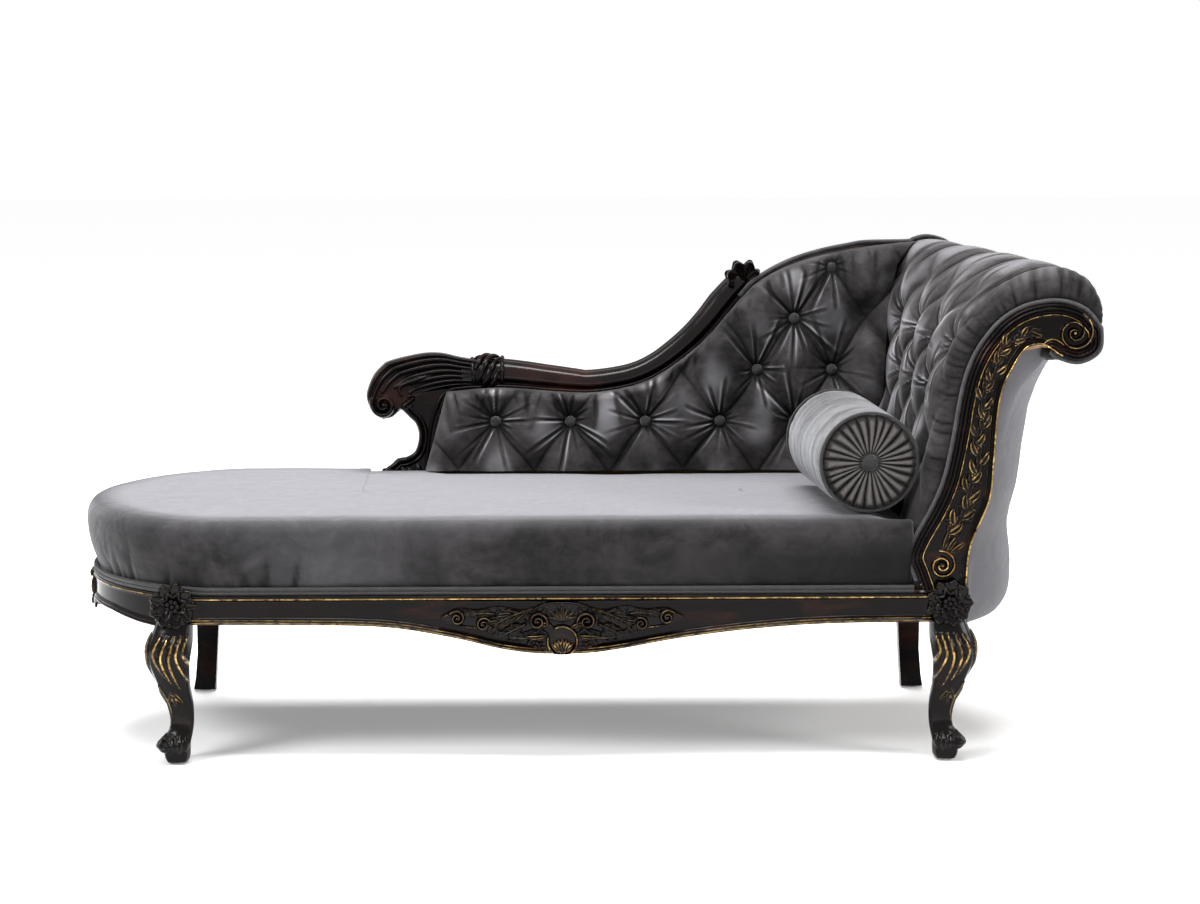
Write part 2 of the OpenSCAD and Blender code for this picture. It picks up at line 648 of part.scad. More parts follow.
// The back without its cover, cut to a box between two shares of its width
module slab_board(x0, x1, w0, w1, depth = back_t, n = -back_t / 2) {
    in_slab(n, depth) translate([x0, w0]) square([x1 - x0, w1 - w0]);
}
module frame_shape(depth = back_t, n = -back_t / 2) {
    in_slab(n, depth) polygon(concat(shifted(left_edge, -cover_in), shifted(contour, -cover_in),
        shifted(roll_end, -cover_in), [[back_right_x - cover_in, slab_w0]]));
}
module under_rail_shape(gap) {
    in_slab(-back_t, 2 * back_t) polygon(concat([[back_left - stile_w, 0]],
        shifted(contour, -stile_w - gap), [[back_right + stile_w, 0]]));
}
bottom_rail_w = slab_w0 + stile_w * 1.4;
middle_x = back_left + back_span * 0.5;

module back_bottom_rail() {
    color("#b08a5a") intersection() {
        frame_shape();
        slab_board(back_left, back_right - seat_gap, slab_w0, bottom_rail_w);
    }
}
module back_foot_stile() {
    color("#b08a5a") intersection() {
        frame_shape();
        slab_board(back_left, back_left + stile_w * 1.3, bottom_rail_w + seat_gap, head_rise);
        under_rail_shape(seat_gap);
    }
}
module back_middle_stile() {
    color("#b08a5a") intersection() {
        slab_board(middle_x, middle_x + stile_w, bottom_rail_w + seat_gap, head_rise);
        under_rail_shape(seat_gap);
    }
}
module back_top_rail() {
    color("#b08a5a") difference() {
        intersection() {
            frame_shape();
            slab_board(back_left, back_right - seat_gap, slab_w0, 2 * head_rise);
        }
        under_rail_shape(0);
    }
}
module head_rear_board() {
    color("#b08a5a") intersection() {
        frame_shape();
        slab_board(back_right, head_x + head_overhang, slab_w0, 2 * head_rise);
    }
}

back_webs = 6;
module back_webbing() {
    color("#c9b48a") for (k = [0:back_webs - 1])
        let (x = mix(back_left + stile_w * 1.5, back_right - web_w * 1.5, k / (back_webs - 1)))
        intersection() {
            in_slab(-back_t / 2 - web_t, web_t) polygon(concat([[back_left, bottom_rail_w / 2]],
                shifted(contour, -stile_w / 2), [[back_right, bottom_rail_w / 2]]));
            slab_board(x, x + web_w, 0, 2 * head_rise, 4 * back_t, -2 * back_t);
        }
}
module back_hessian() {
    color("#a98f62") in_slab(-back_t / 2 - web_t - cloth_t, cloth_t)
        polygon(concat([[back_left + cover_in, bottom_rail_w / 2]],
            [for (p = shifted(contour, -stile_w / 3)) if (p[0] < back_right - stile_w / 2) p],
            [[back_right - stile_w / 2, bottom_rail_w / 2]]));
}

module back_outside() {
    color("#6c6b70") difference() {
        in_slab(-back_t / 2, back_t + cover_t) polygon(silhouette);
        in_slab(-back_t, 1.5 * back_t) polygon(concat(
            [[back_left + cover_t, -over]], shifted(left_edge, -cover_t),
            shifted(contour, -cover_t), shifted(roll_end, -cover_t),
            [[back_right_x - cover_t, -over]]));
    }
}

// Buttoned pad of the back
function dip(x, w) =
    let (a = x / tuft_pitch, b = w / (2 * tuft_row),
        p = abs(sin(180 * (a + b))), q = abs(sin(180 * (a - b))))
    0.5 * (1 - pow(p * q, 0.45)) + 0.5 * (1 - p * p) * (1 - q * q);
tuft_x0 = back_left + tuft_pitch * 0.46;
tuft_w0 = slab_w(seat_top) - tuft_row * 0.16;
pad_u_steps = 28;
pad_v_steps = 11;
pad_n0 = back_t / 2 + web_t + cloth_t + seat_gap;
pad_bottom_w = slab_w(seat_top - seat_rise * press_share * 0.68);
pad_right_x0 = head_place(pad_rear_shares[2])[0] - cushion_gap;
pad_top_right = head_place(pad_rear_shares[8])[0] - cushion_gap;
function side_table(shares) = [for (k = [0:8]) let (p = head_place(shares[k])) [p[1], p[0]]];
pad_rear_side = side_table(pad_rear_shares);
pad_front_side = side_table(pad_front_shares);
// Where the head pad's face stands at a height in the slab, n in front of the slab
function head_face_x(w, n) =
    let (z = rail_top + w * cos(back_rake) + n * sin(back_rake),
        s = n / (slab_y(z, -back_t / 2) - front_y))
    mix(table(pad_rear_side, z), table(pad_front_side, z), s) - cushion_gap;
pad_edge_share = 0.3;

function contour_at(u) =
    let (f = u * (len(contour) - 1), i = min(floor(f), len(contour) - 2),
        p = mix(contour[i], contour[i + 1], f - i))
    [min(p[0], pad_top_right), p[1] - cushion_gap];
function pad_xy(u, v, n) =
    let (bottom = [mix(back_left + cushion_gap, pad_right_x0, u), pad_bottom_w],
        p = mix(bottom, contour_at(u), v),
        right = mix([pad_right_x0, pad_bottom_w], contour_at(1), v))
    [p[0] + (head_face_x(p[1], n) - right[0]) * pow(u, 3), p[1]];
function edge_round(t, width) = t > width ? 1 : sqrt(max(0, 1 - pow(1 - t / width, 2)));
function pad_thick(u, v, x, w) =
    (pad_edge_share + (1 - pad_edge_share) * edge_round(1 - v, 0.16) * edge_round(u, 0.05))
    * (back_pad_t - tuft_depth * dip(x - tuft_x0, w - tuft_w0) * edge_round(1 - v, 0.3));
function pad_surface(u, v) =
    let (p = pad_xy(u, v, back_pad_t * 0.7)) [p[0], p[1], pad_n0 + pad_thick(u, v, p[0], p[1])];

module in_slab_place() {
    translate([0, back_y, rail_top]) rotate([90 - back_rake, 0, 0]) children();
}

button_r = button_d / 2;
button_h = 7;
button_in = 3;
button_rows_count = 5;
// Buttons of the back that lie clear of its edges
back_buttons_at = [for (j = [0:button_rows_count], i = [0:button_rows_count + 2])
    let (x = tuft_x0 + tuft_pitch * (i + 0.5 * (j % 2)), w = tuft_w0 + tuft_row * j)
    if (x < pad_right_x0 - button_d && w > pad_bottom_w + button_r
        && w < table(contour, x) - tuft_row * 0.26) [x, w]];
button_floor = pad_n0 + back_pad_t - tuft_depth - button_in;

module button_shape() {
    cylinder(r = button_r, h = button_h * 0.6, $fn = 24);
    translate([0, 0, button_h * 0.6])
        cylinder(r1 = button_r, r2 = button_r * 0.6, h = button_h * 0.4, $fn = 24);
}

module back_pad() {
    color("#4a494e") in_slab_place() difference() {
        between_sheets(
            [for (j = [0:pad_v_steps]) [for (i = [0:pad_u_steps])
                pad_surface(i / pad_u_steps, j / pad_v_steps)]],
            [for (j = [0:pad_v_steps]) [for (i = [0:pad_u_steps])
                let (p = pad_xy(i / pad_u_steps, j / pad_v_steps, 0)) [p[0], p[1], pad_n0]]]);
        for (p = back_buttons_at) translate([p[0], p[1], button_floor])
            cylinder(r = (button_r + seat_gap) / cos(22.5), h = back_pad_t, $fn = 8);
    }
}
module back_buttons() {
    color("#3c3b40") in_slab_place() for (p = back_buttons_at)
        translate([p[0], p[1], button_floor + seat_gap]) rotate([0, 0, 22.5]) button_shape();
}

// Show wood of the back
crest_n0 = -back_t / 2 - (crest_t - back_t) * 0.9;
crest_first_step = 3;
crest_last_step = 22;
crest_rise_shares = [[0, 0.95], [0.3, 0.72], [0.6, 0.7], [0.85, 0.8], [1, 0.7]];
crest_h = 52;
crest_sides = 12;
crest_path = [for (k = [crest_first_step:crest_last_step]) contour[k]];
function crest_ring(k, grow, under = 0) =
    let (t = k / (len(crest_path) - 1), up = edge_normal(crest_path, k),
        h = crest_h * table(crest_rise_shares, t))
    [for (i = [0:crest_sides - 1])
        let (a = 360 * i / crest_sides,
            c = sign(cos(a)) * pow(abs(cos(a)), 0.6), s = sign(sin(a)) * pow(abs(sin(a)), 0.6),
            w = h / 2 * (1 + s) + seat_gap + (s > 0 ? grow : s < 0 ? -under : 0))
        [crest_path[k][0] + up[0] * w, crest_path[k][1] + up[1] * w,
            -crest_n0 - crest_t / 2 + (crest_t / 2 + grow) * c]];

module crest_rail() {
    color("#1a1110") in_slab_place()
        loft([for (k = [0:len(crest_path) - 1]) crest_ring(k, 0)]);
}

scroll_shares = [[0.163, 0.506], [0.085, 0.502], [0.046, 0.4945], [0.001, 0.476],
    [-0.033, 0.443], [-0.053, 0.424], [-0.07, 0.402], [-0.089, 0.396], [-0.111, 0.415],
    [-0.123, 0.45], [-0.125, 0.485], [-0.112, 0.539], [-0.093, 0.574], [-0.073, 0.593],
    [-0.009, 0.616], [0.035, 0.618], [0.077, 0.604], [0.116, 0.593], [0.16, 0.595]];
scroll_steps = 2;
scroll_eye_share = [-0.083, 0.455];
scroll_eye_r = 27;
scroll_n0 = -back_t / 2 - (scroll_t - back_t) * 0.8;
module foot_scroll() {
    eye = back_place(scroll_eye_share);
    color("#1a1110") difference() {
        union() {
            in_slab(scroll_n0, scroll_t)
                polygon([for (p = spline(scroll_shares, scroll_steps)) back_place(p)]);
            in_slab_place() translate([eye[0], eye[1], -scroll_n0 - scroll_t - scroll_t * 0.08])
                cylinder(r = scroll_eye_r, h = scroll_t * 1.16, $fn = round_fn);
        }
        in_slab(-crest_t - over, 3 * crest_t) polygon(concat([[back_left, 0]],
            shifted(left_edge, seat_gap), shifted(contour, seat_gap), [[back_right, 0]]));
        in_slab(-crest_t - over, 3 * crest_t) translate([crest_path[0][0] - seat_gap, 0])
            square([back_span, 2 * head_rise]);
    }
}

bracket_shares = [[-0.0005, 0.004], [-0.0005, 0.227], [0.009, 0.345], [0.03, 0.45],
    [0.044, 0.4925], [0.001, 0.4745], [-0.033, 0.4415], [-0.051, 0.4215], [-0.035, 0.405],
    [-0.02, 0.38], [-0.013, 0.34], [-0.02, 0.293], [-0.038, 0.272], [-0.058, 0.266],
    [-0.07, 0.25], [-0.082, 0.235], [-0.093, 0.22], [-0.093, 0.004]];
module scroll_bracket() {
    color("#1a1110") difference() {
        in_slab(-bracket_t / 2, bracket_t) polygon([for (p = bracket_shares) back_place(p)]);
        in_slab(-crest_t - over, 3 * crest_t) polygon(concat([[back_left, 0]],
            shifted(left_edge, seat_gap), shifted(contour, seat_gap), [[back_right, 0]]));
        in_slab(scroll_n0 - over, scroll_t + 2 * over)
            polygon([for (p = spline(scroll_shares, scroll_steps)) back_place(p)]);
        bar_y(foot_x, head_x, front_y, rear_y + post_side, 0, rail_top + seat_gap);
    }
}

collar_t = 5;
function collar_step(share) =
    concat(unit(crest_path[1] - crest_path[0]) * crest_h * share, [0]);
// Twisted leaf band where the crest rail meets the scroll
module crest_leaf_collar() {
    color("#241a14") in_slab_place() difference() {
        loft([for (k = [0:4]) let (t = k / 4, g = collar_t * (0.5 + 0.5 * sin(180 * t)))
            [for (p = crest_ring(0, g)) p + collar_step(1.1 * t + 0.02)]]);
        loft(concat([[for (p = crest_ring(0, seat_gap, collar_t)) p + collar_step(-0.2)]],
            [for (k = [0:3]) crest_ring(k, seat_gap, collar_t)]));
    }
}

finial_r = 21;
finial_at = crest_path[len(crest_path) - 1];
module crest_finial() {
    last = len(crest_path) - 1;
    up = edge_normal(crest_path, last);
    at = finial_at + up * (finial_r + seat_gap * 2)
        + unit(finial_at - crest_path[last - 1]) * finial_r;
    color("#241a14") in_slab_place() difference() {
        translate([at[0], at[1], -crest_n0 - crest_t / 2]) {
            cylinder(r = finial_r * 0.96, h = crest_t, center = true, $fn = round_fn);
            cylinder(r = finial_r * 0.6, h = crest_t * 1.2, center = true, $fn = round_fn);
        }
        loft([for (k = [last - 3:last]) [for (p = crest_ring(k, seat_gap))
            p + concat((k == last ? 1 : 0) * seat_gap * unit(crest_path[k] - crest_path[k - 1]),
                [0])]]);
        linear_extrude(4 * crest_t, center = true) polygon(concat([[back_left, 0]],
            shifted(contour, seat_gap), [[back_right, 0]]));
    }
}

// Head
facing_y0 = front_y - post_side / 2 + rosette_t / 6;
facing_y1 = facing_y0 + facing_t;
board_y0 = facing_y1 + seat_gap;
board_y1 = board_y0 + board_t;
facing_shares = [[-0.206, 0.06], [-0.243, 0.113], [-0.206, 0.168], [-0.099, 0.262],
    [-0.022, 0.353], [0.033, 0.476], [0.074, 0.599], [0.121, 0.689], [0.202, 0.766],
    [0.327, 0.836], [0.485, 0.878], [0.676, 0.89], [0.835, 0.866], [0.934, 0.812],
    [0.926, 0.75], [0.812, 0.719], [0.684, 0.733], [0.632, 0.75], [0.551, 0.766],
    [0.46, 0.75], [0.379, 0.689], [0.324, 0.628], [0.294, 0.538], [0.279, 0.414],
    [0.254, 0.291], [0.14, 0.152], [0.099, 0.06]];
board_inner_shares = [[0.46, 0.745], [0.379, 0.689], [0.324, 0.628], [0.294, 0.538],
    [0.279, 0.414], [0.254, 0.291], [0.14, 0.152], [0.1, 0.06], [0.1, 0]];
facing_steps = 2;

module in_front(y0, depth) {
    translate([0, y0 + depth, 0]) rotate([90, 0, 0]) linear_extrude(depth) children();
}
// The front board's back edge lies inside the outside panel
module head_front_board() {
    board_inner = [for (p = board_inner_shares) let (at = head_place(p))
        [min(at[0], head_x + head_overhang * table(panel_front_shares, p[1]) - panel_t
            - 2 * seat_gap), at[1]]];
    board_rear_s = board_t / (slab_y(rail_top, -back_t / 2) - board_y0);
    color("#b08a5a") difference() {
        in_front(board_y0, board_t) intersection_for (s = [0, board_rear_s])
            polygon(concat([[head_place(board_front_shares[0])[0], rail_top]],
                shifted([for (i = [0:len(core_front) - 1])
                    mix(core_front[i], core_rear[i], s)], -2 * seat_gap), board_inner));
        bar_y(head_x - head_overhang, head_x + head_overhang, front_y - post_side,
            rear_y, 0, rail_top + seat_gap);
    }
}

facing_edge = [for (p = spline(facing_shares, facing_steps)) head_place(p)];
volute_share = [0.79, 0.8];
volute_r = 30;
module head_facing() {
    eye = head_place(volute_share);
    color("#1a1110") {
        in_front(facing_y0 + facing_t * 0.2, facing_t * 0.8) polygon(facing_edge);
        in_front(facing_y0, facing_t * 0.4) translate(eye) circle(volute_r, $fn = round_fn);
    }
}

// Raised beads down both edges of the facing
bead_in = 7;
bead_front_y = facing_y0 + facing_t * 0.2 - bead_r * 0.9 - seat_gap;
module facing_beads() {
    bead = [for (p = shifted(facing_edge, -bead_in)) [p[0], bead_front_y, p[1]]];
    color("#b8893a") {
        cord([for (k = [1:11 * facing_steps]) bead[k]], bead_r, 6, [0, 1, 0]);
        cord([for (k = [19 * facing_steps:len(bead) - 2]) bead[k]], bead_r, 6, [0, 1, 0]);
    }
}
module facing_piping() {
    out = [for (p = shifted(facing_edge, welt_d / 2 + seat_gap))
        [p[0], facing_y1 - welt_d / 2, p[1]]];
    color("#8d8a8c") cord([for (k = [2:15 * facing_steps]) out[k]], welt_d / 2, 6, [0, 1, 0]);
}

cross_bar_side = 28;
// Front and rear centres of the cross bars between the head boards, as shares
cross_bar_shares = [[[0.688, 0.818], [0.11, 0.85]], [[0.14, 0.45], [-0.005, 0.45]],
    [[0.01, 0.09], [-0.03, 0.09]]];
function square_ring(p, at_rear) =
    let (h = cross_bar_side / 2, c = head_place(p))
    [for (d = [[-h, -h], [h, -h], [h, h], [-h, h]])
        let (z = c[1] + d[1])
        [c[0] + d[0], at_rear ? slab_y(z, -back_t / 2) - seat_gap : board_y1 + seat_gap, z]];
module head_cross_bars() {
    color("#b08a5a") for (p = cross_bar_shares)
        loft([for (r = [square_ring(p[0], false), square_ring(p[1], true)]) backwards(r)]);
}

// Outside of the head
panel_steps_s = 16;
panel_steps_z = 12;
panel_front_shares = [[-0.11, 0.112], [0, 0.112], [0.06, 0.116], [0.152, 0.136], [0.291, 0.24],
    [0.414, 0.284], [0.538, 0.32], [0.628, 0.404], [0.689, 0.515], [0.71, 0.566]];
panel_z0 = rail_bottom - rail_h * 0.2;
panel_low_share = (panel_z0 - rail_top) / head_rise;
panel_top_front_share = 0.703;
panel_top_rear_share = 0.73;
panel_y0 = board_y0 + seat_gap;
bow_shares = [[-0.11, 1], [0.05, 1], [0.2, 0.86], [0.45, 0.9], [0.65, 0.9], [0.71, 0.8]];
panel_rear_x = back_right_x;
function panel_point(s, t, in) =
    let (q = mix(panel_low_share, mix(panel_top_front_share, panel_top_rear_share, s), t),
        z = rail_top + head_rise * q,
        x0 = head_x + head_overhang * table(panel_front_shares, q),
        x = mix(x0, panel_rear_x, s) + head_bow * table(bow_shares, q) * bow_share(s)
            - in * panel_t,
        tuck = q < 0 ? 0.16 * head_bow * pow(q / panel_low_share, 3) : 0)
    [max(x - tuck, head_x + post_side / 2 + seat_gap + (1 - in) * panel_t),
        mix(panel_y0, slab_y(max(z, rail_top), back_t / 2 + cover_t), s), z];
module head_outside() {
    color("#77767b") between_sheets(
        [for (j = [0:panel_steps_s]) [for (i = [0:panel_steps_z])
            panel_point(j / panel_steps_s, i / panel_steps_z, 0)]],
        [for (j = [0:panel_steps_s]) [for (i = [0:panel_steps_z])
            panel_point(j / panel_steps_s, i / panel_steps_z, 1)]]);
}

rib_w = 26;
rib_h = 18;
rib_shares = [0.16, 0.36, 0.58];
function panel_t_at(q) = (q - panel_low_share) / (panel_top_front_share - panel_low_share);
// Inside of the panel as its flat faces give it
function panel_in_x(s, q) =
    let (a = s * panel_steps_s, i = min(floor(a), panel_steps_s - 1),
        b = panel_t_at(q) * panel_steps_z, j = floor(b),
        low = mix(panel_node_x(i, j), panel_node_x(i + 1, j), a - i),
        high = mix(panel_node_x(i, j + 1), panel_node_x(i + 1, j + 1), a - i))
    mix(low, high, b - j);
function panel_node_x(i, j) = panel_point(i / panel_steps_s, j / panel_steps_z, 1)[0];
function rib_x(s, q) = min([for (d = [-1, 0, 1]) panel_in_x(s, q + d * rib_h / head_rise)])
    - cushion_gap * 0.4;
module head_bow_ribs() {
    color("#b08a5a") for (q = rib_shares)
        let (z = rail_top + head_rise * q,
            y0 = board_y1 + seat_gap, y1 = slab_y(z - rib_h, -back_t / 2) - seat_gap,
            panel_y1 = slab_y(z, back_t / 2 + cover_t),
            s0 = (y0 - panel_y0) / (panel_y1 - panel_y0),
            s1 = (y1 - panel_y0) / (panel_y1 - panel_y0),
            inside = [for (k = [1:panel_steps_s - 1]) let (s = k / panel_steps_s)
                if (s > s0 && s < s1) s],
            edge = [for (s = concat([s0], inside, [s1]))
                [rib_x(s, q), mix(panel_y0, panel_y1, s)]])
        translate([0, 0, z - rib_h / 2]) linear_extrude(rib_h)
            polygon(concat(edge, [for (p = backwards(edge)) [p[0] - rib_w, p[1]]]));
}

// Buttoned pad of the head, wrapped over the roll
pad_depth_steps = 17;
pad_front = [for (p = spline(pad_front_shares, 2)) head_place(p)];
pad_rear = [for (p = spline(pad_rear_shares, 2)) head_place(p)];
core_front = [for (p = spline(board_front_shares, 2)) head_place(p)];
core_rear = [for (p = spline(board_rear_shares, 2)) head_place(p)];
roll_bow = 14;
pad_count = len(pad_front);
pad_step = norm(pad_front[8] - pad_front[0]) / 8;
head_tuft_depth = tuft_depth * 0.8;
head_tuft_y = tuft_pitch * 0.4;
head_tuft_w = tuft_row * 0.4;
function roll_share(i) = max(0, min(1, (i - 12) / 8));
function head_dip(i, y) = dip(y - front_y - head_tuft_y, i * pad_step - head_tuft_w);
function bowed(p, i, s) = [p[0] + roll_bow * roll_share(i) * 4 * s * (1 - s), p[1]];
function core_at(i, s) = bowed(mix(core_front[i], core_rear[i], s), i, s);
function skin_at(i, s) = bowed(mix(pad_front[i], pad_rear[i], s), i, s);
function deep_y(z, s) = mix(board_y0, slab_y(z, -back_t / 2) - cushion_gap, s);
function head_surface(i, s) =
    let (c = core_at(i, s), o = skin_at(i, s), y = deep_y(o[1], s),
        side = edge_round(s, 0.07) * edge_round(1 - s, 0.04),
        calm = edge_round(s, 0.2) * edge_round(i / (pad_count - 1), 0.08) * (1 - roll_share(i - 2)),
        p = mix(c, o, (0.45 + 0.55 * side)) - unit(o - c) * head_tuft_depth * calm * head_dip(i, y))
    [p[0], deep_y(p[1], s), p[1]];
function head_core(i, s) = let (c = core_at(i, s)) [c[0], deep_y(c[1], s), c[1]];

head_rows = [1:4];
head_columns = [0:4];
// Places of the head's buttons: step along the pad and share of its depth
head_buttons_at = [for (j = head_rows, k = head_columns)
    let (i = (head_tuft_w + tuft_row * j) / pad_step,
        y = front_y + head_tuft_y + tuft_pitch * (k + 0.5 * (j % 2)),
        s = (y - board_y0) / (slab_y(rail_top + i * pad_step, -back_t / 2) - board_y0))
    if (s > 0.1 && s < 0.84 && i > 9 && i < 17) [i, s]];
module at_head_button(b) {
    i = floor(b[0]);
    c = mix(core_at(i, b[1]), core_at(i + 1, b[1]), b[0] - i);
    o = mix(skin_at(i, b[1]), skin_at(i + 1, b[1]), b[0] - i);
    p = o - unit(o - c) * (head_tuft_depth + button_in);
    translate([p[0], deep_y(p[1], b[1]), p[1]])
        rotate([0, atan2(o[0] - c[0], o[1] - c[1]), 0]) children();
}

module head_pad() {
    color("#5a595e") difference() {
        between_sheets(
            [for (j = [0:pad_depth_steps]) [for (i = [0:pad_count - 1])
                head_surface(i, j / pad_depth_steps)]],
            [for (j = [0:pad_depth_steps]) [for (i = [0:pad_count - 1])
                head_core(i, j / pad_depth_steps)]]);
        for (b = head_buttons_at) at_head_button(b)
            cylinder(r = (button_r + seat_gap) / cos(22.5), h = back_pad_t, $fn = 8);
    }
}
module head_buttons() {
    color("#3c3b40") for (b = head_buttons_at) at_head_button(b)
        translate([0, 0, seat_gap]) button_shape();
}

module head_hessian() {
    rows = [0:2:18];
    function inner(i, s, d) =
        let (c = core_at(i, s), o = skin_at(i, s), p = c - unit(o - c) * d)
        [p[0], mix(board_y1 + seat_gap, slab_y(p[1], -back_t / 2) - cushion_gap, s), p[1]];
    color("#a98f62") between_sheets(
        [for (j = [0:2]) [for (i = rows) inner(i, j / 2, cushion_gap)]],
        [for (j = [0:2]) [for (i = rows) inner(i, j / 2, cushion_gap + cloth_t)]]);
}

// Loose bolster
bolster_r = bolster_d / 2;
end_t = 10;
piping_r = 3.2;
shoulder = 7;
function pad_x_at(z) = table([for (k = [0:8]) let (p = head_place(pad_front_shares[k]))
    [p[1], p[0]]], z);
// How far the bolster settles below the crown, as a share of the rise of the seat
bolster_sink_share = 0.02;
bolster_z = seat_top - seat_rise * bolster_sink_share + seat_gap + bolster_r;
bolster_clear = 5;
bolster_x = pad_x_at(bolster_z) - bolster_r - bolster_clear;
bolster_y = seat_face_y + welt_d * 1.8;
module at_bolster() {
    translate([bolster_x, bolster_y, bolster_z]) rotate([0, 0, bolster_turn])
        rotate([-90, 0, 0]) children();
}
body_length = bolster_length - 2 * end_t;
module bolster_cushion() {
    r = bolster_r;
    half = [[0, 0], [r - shoulder, 0], [r - shoulder, piping_r], [r - 1.4 * piping_r, piping_r],
        [r - 0.3 * piping_r, 3 * piping_r], [r, 10 * piping_r]];
    color("#a9abb0") at_bolster() translate([0, 0, end_t]) rotate_extrude($fn = 96)
        polygon(concat(half, [for (p = backwards(half)) [p[0], body_length - p[1]]]));
}

// One pleated end: radial folds gathered under the button
end_levels = [[1, 0, 0], [1, 0.35, 0.9], [0.86, 0.9, 1], [0.5, 1, 0.8], [0.17, 0.55, 0]];
pleat_depth = 4;
module pleated_end() {
    r = bolster_r - shoulder - seat_gap;
    n = 2 * pleats;
    rings_body([for (v = backwards(end_levels)) [for (i = [0:n - 1])
        let (a = -360 * i / n, z = end_t * v[1] - pleat_depth * v[2] * (i % 2) * (v[1] > 0 ? 0.8 : 0))
        [r * v[0] * cos(a), r * v[0] * sin(a), max(z, v[1] > 0 ? 0.2 : 0)]]]);
}
module bolster_front_end() {
    color("#55515a") at_bolster() translate([0, 0, end_t - seat_gap]) mirror([0, 0, 1])
        pleated_end();
}
module bolster_rear_end() {
    color("#55515a") at_bolster() translate([0, 0, end_t + body_length + seat_gap]) pleated_end();
}
module bolster_pipings() {
    color("#2c2a2e") at_bolster()
        for (z = [end_t - piping_r * 0.2, end_t + body_length + piping_r * 0.2])
            translate([0, 0, z]) rotate_extrude($fn = 96)
                translate([bolster_r - shoulder / 2 + seat_gap, 0]) circle(piping_r - seat_gap, $fn = 16);
}
end_button_r = 13;
module bolster_buttons() {
    color("#3c3b40") at_bolster() for (s = [-1, 1])
        translate([0, 0, bolster_length / 2 + s * (bolster_length / 2 - end_t * 0.45 + seat_gap * 2)])
            mirror([0, 0, s < 0 ? 1 : 0])
            cylinder(r1 = end_button_r, r2 = end_button_r * 0.6, h = end_t * 0.4, $fn = round_fn);
}

front_rail();
rear_rail();
foot_end_rail();
head_end_rail();
front_leg_foot_end();
front_leg_head_end();
rear_leg_foot_end();
rear_leg_head_end();
nail_glides();
corner_blocks();
corner_block_screws();
seat_cross_bars();
webbing_battens();
seat_webbing();
seat_springs();
spring_hessian();
dust_cover();
seat_cushion();
seat_double_welt();
front_rail_beads();
apron_cartouche();
foot_end_ornament();
knee_rosette_foot_end();
knee_rosette_head_end();
back_bottom_rail();
back_foot_stile();
back_middle_stile();
back_top_rail();
back_webbing();
back_hessian();
back_pad();
back_buttons();
back_outside();
crest_rail();
crest_leaf_collar();
crest_finial();
foot_scroll();
scroll_bracket();
head_front_board();
head_rear_board();
head_cross_bars();
head_bow_ribs();
head_hessian();
head_pad();
head_buttons();
head_outside();
head_facing();
facing_piping();
facing_beads();
bolster_cushion();
bolster_front_end();
bolster_rear_end();
bolster_pipings();
bolster_buttons();
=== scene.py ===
# %% [markdown]
# A fainting couch: a long seat with a rounded foot, a rolled head and a back that sweeps
# down to a carved scroll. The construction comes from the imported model, which stays fixed.
# This script dresses it: every soft part and every carved part gets a fuller mesh, and
# every surface gets a material made of nodes. All lengths are in metres.

# %% Load the fixed frame
import math

import bpy
import bmesh
import numpy as np
from mathutils import Matrix, Vector


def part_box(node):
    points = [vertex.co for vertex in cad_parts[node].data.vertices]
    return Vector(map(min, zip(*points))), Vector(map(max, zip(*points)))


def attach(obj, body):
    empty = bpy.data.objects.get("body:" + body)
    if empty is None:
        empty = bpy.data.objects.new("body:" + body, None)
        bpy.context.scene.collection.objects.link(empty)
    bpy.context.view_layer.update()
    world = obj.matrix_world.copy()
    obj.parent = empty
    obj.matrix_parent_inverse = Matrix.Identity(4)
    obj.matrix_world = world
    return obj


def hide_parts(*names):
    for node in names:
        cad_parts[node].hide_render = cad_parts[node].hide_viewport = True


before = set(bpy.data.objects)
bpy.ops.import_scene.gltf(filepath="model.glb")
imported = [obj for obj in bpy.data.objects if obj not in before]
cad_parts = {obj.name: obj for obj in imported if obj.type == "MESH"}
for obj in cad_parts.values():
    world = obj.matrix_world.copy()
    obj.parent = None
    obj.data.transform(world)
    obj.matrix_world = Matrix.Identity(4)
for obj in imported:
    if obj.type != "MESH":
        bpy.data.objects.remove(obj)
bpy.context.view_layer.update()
scene = bpy.context.scene

# %% [markdown]
# The camera stands where the photographer stood: a long lens, well back, a little above
# the couch and looking slightly down. A long lens keeps the two ends of a wide piece of
# furniture at nearly the same scale, which is why such pictures are taken this way.

# %% Camera
camera_at = (-0.1015, -5.80, 1.3765)
camera_yaw = math.radians(1.30)
camera_pitch = math.radians(8.53)
camera_lens = 95.6


def make_camera():
    data = bpy.data.cameras.new("view_camera")
    data.lens = camera_lens
    data.sensor_width = 36
    camera = bpy.data.objects.new("view_camera", data)
    camera.location = camera_at
    camera.rotation_euler = (math.pi / 2 - camera_pitch, 0, -camera_yaw)
    scene.collection.objects.link(camera)
    return camera


scene.camera = make_camera()
print("lens", camera_lens, "mm")

# %% [markdown]
# The places of the soft parts follow the frame.

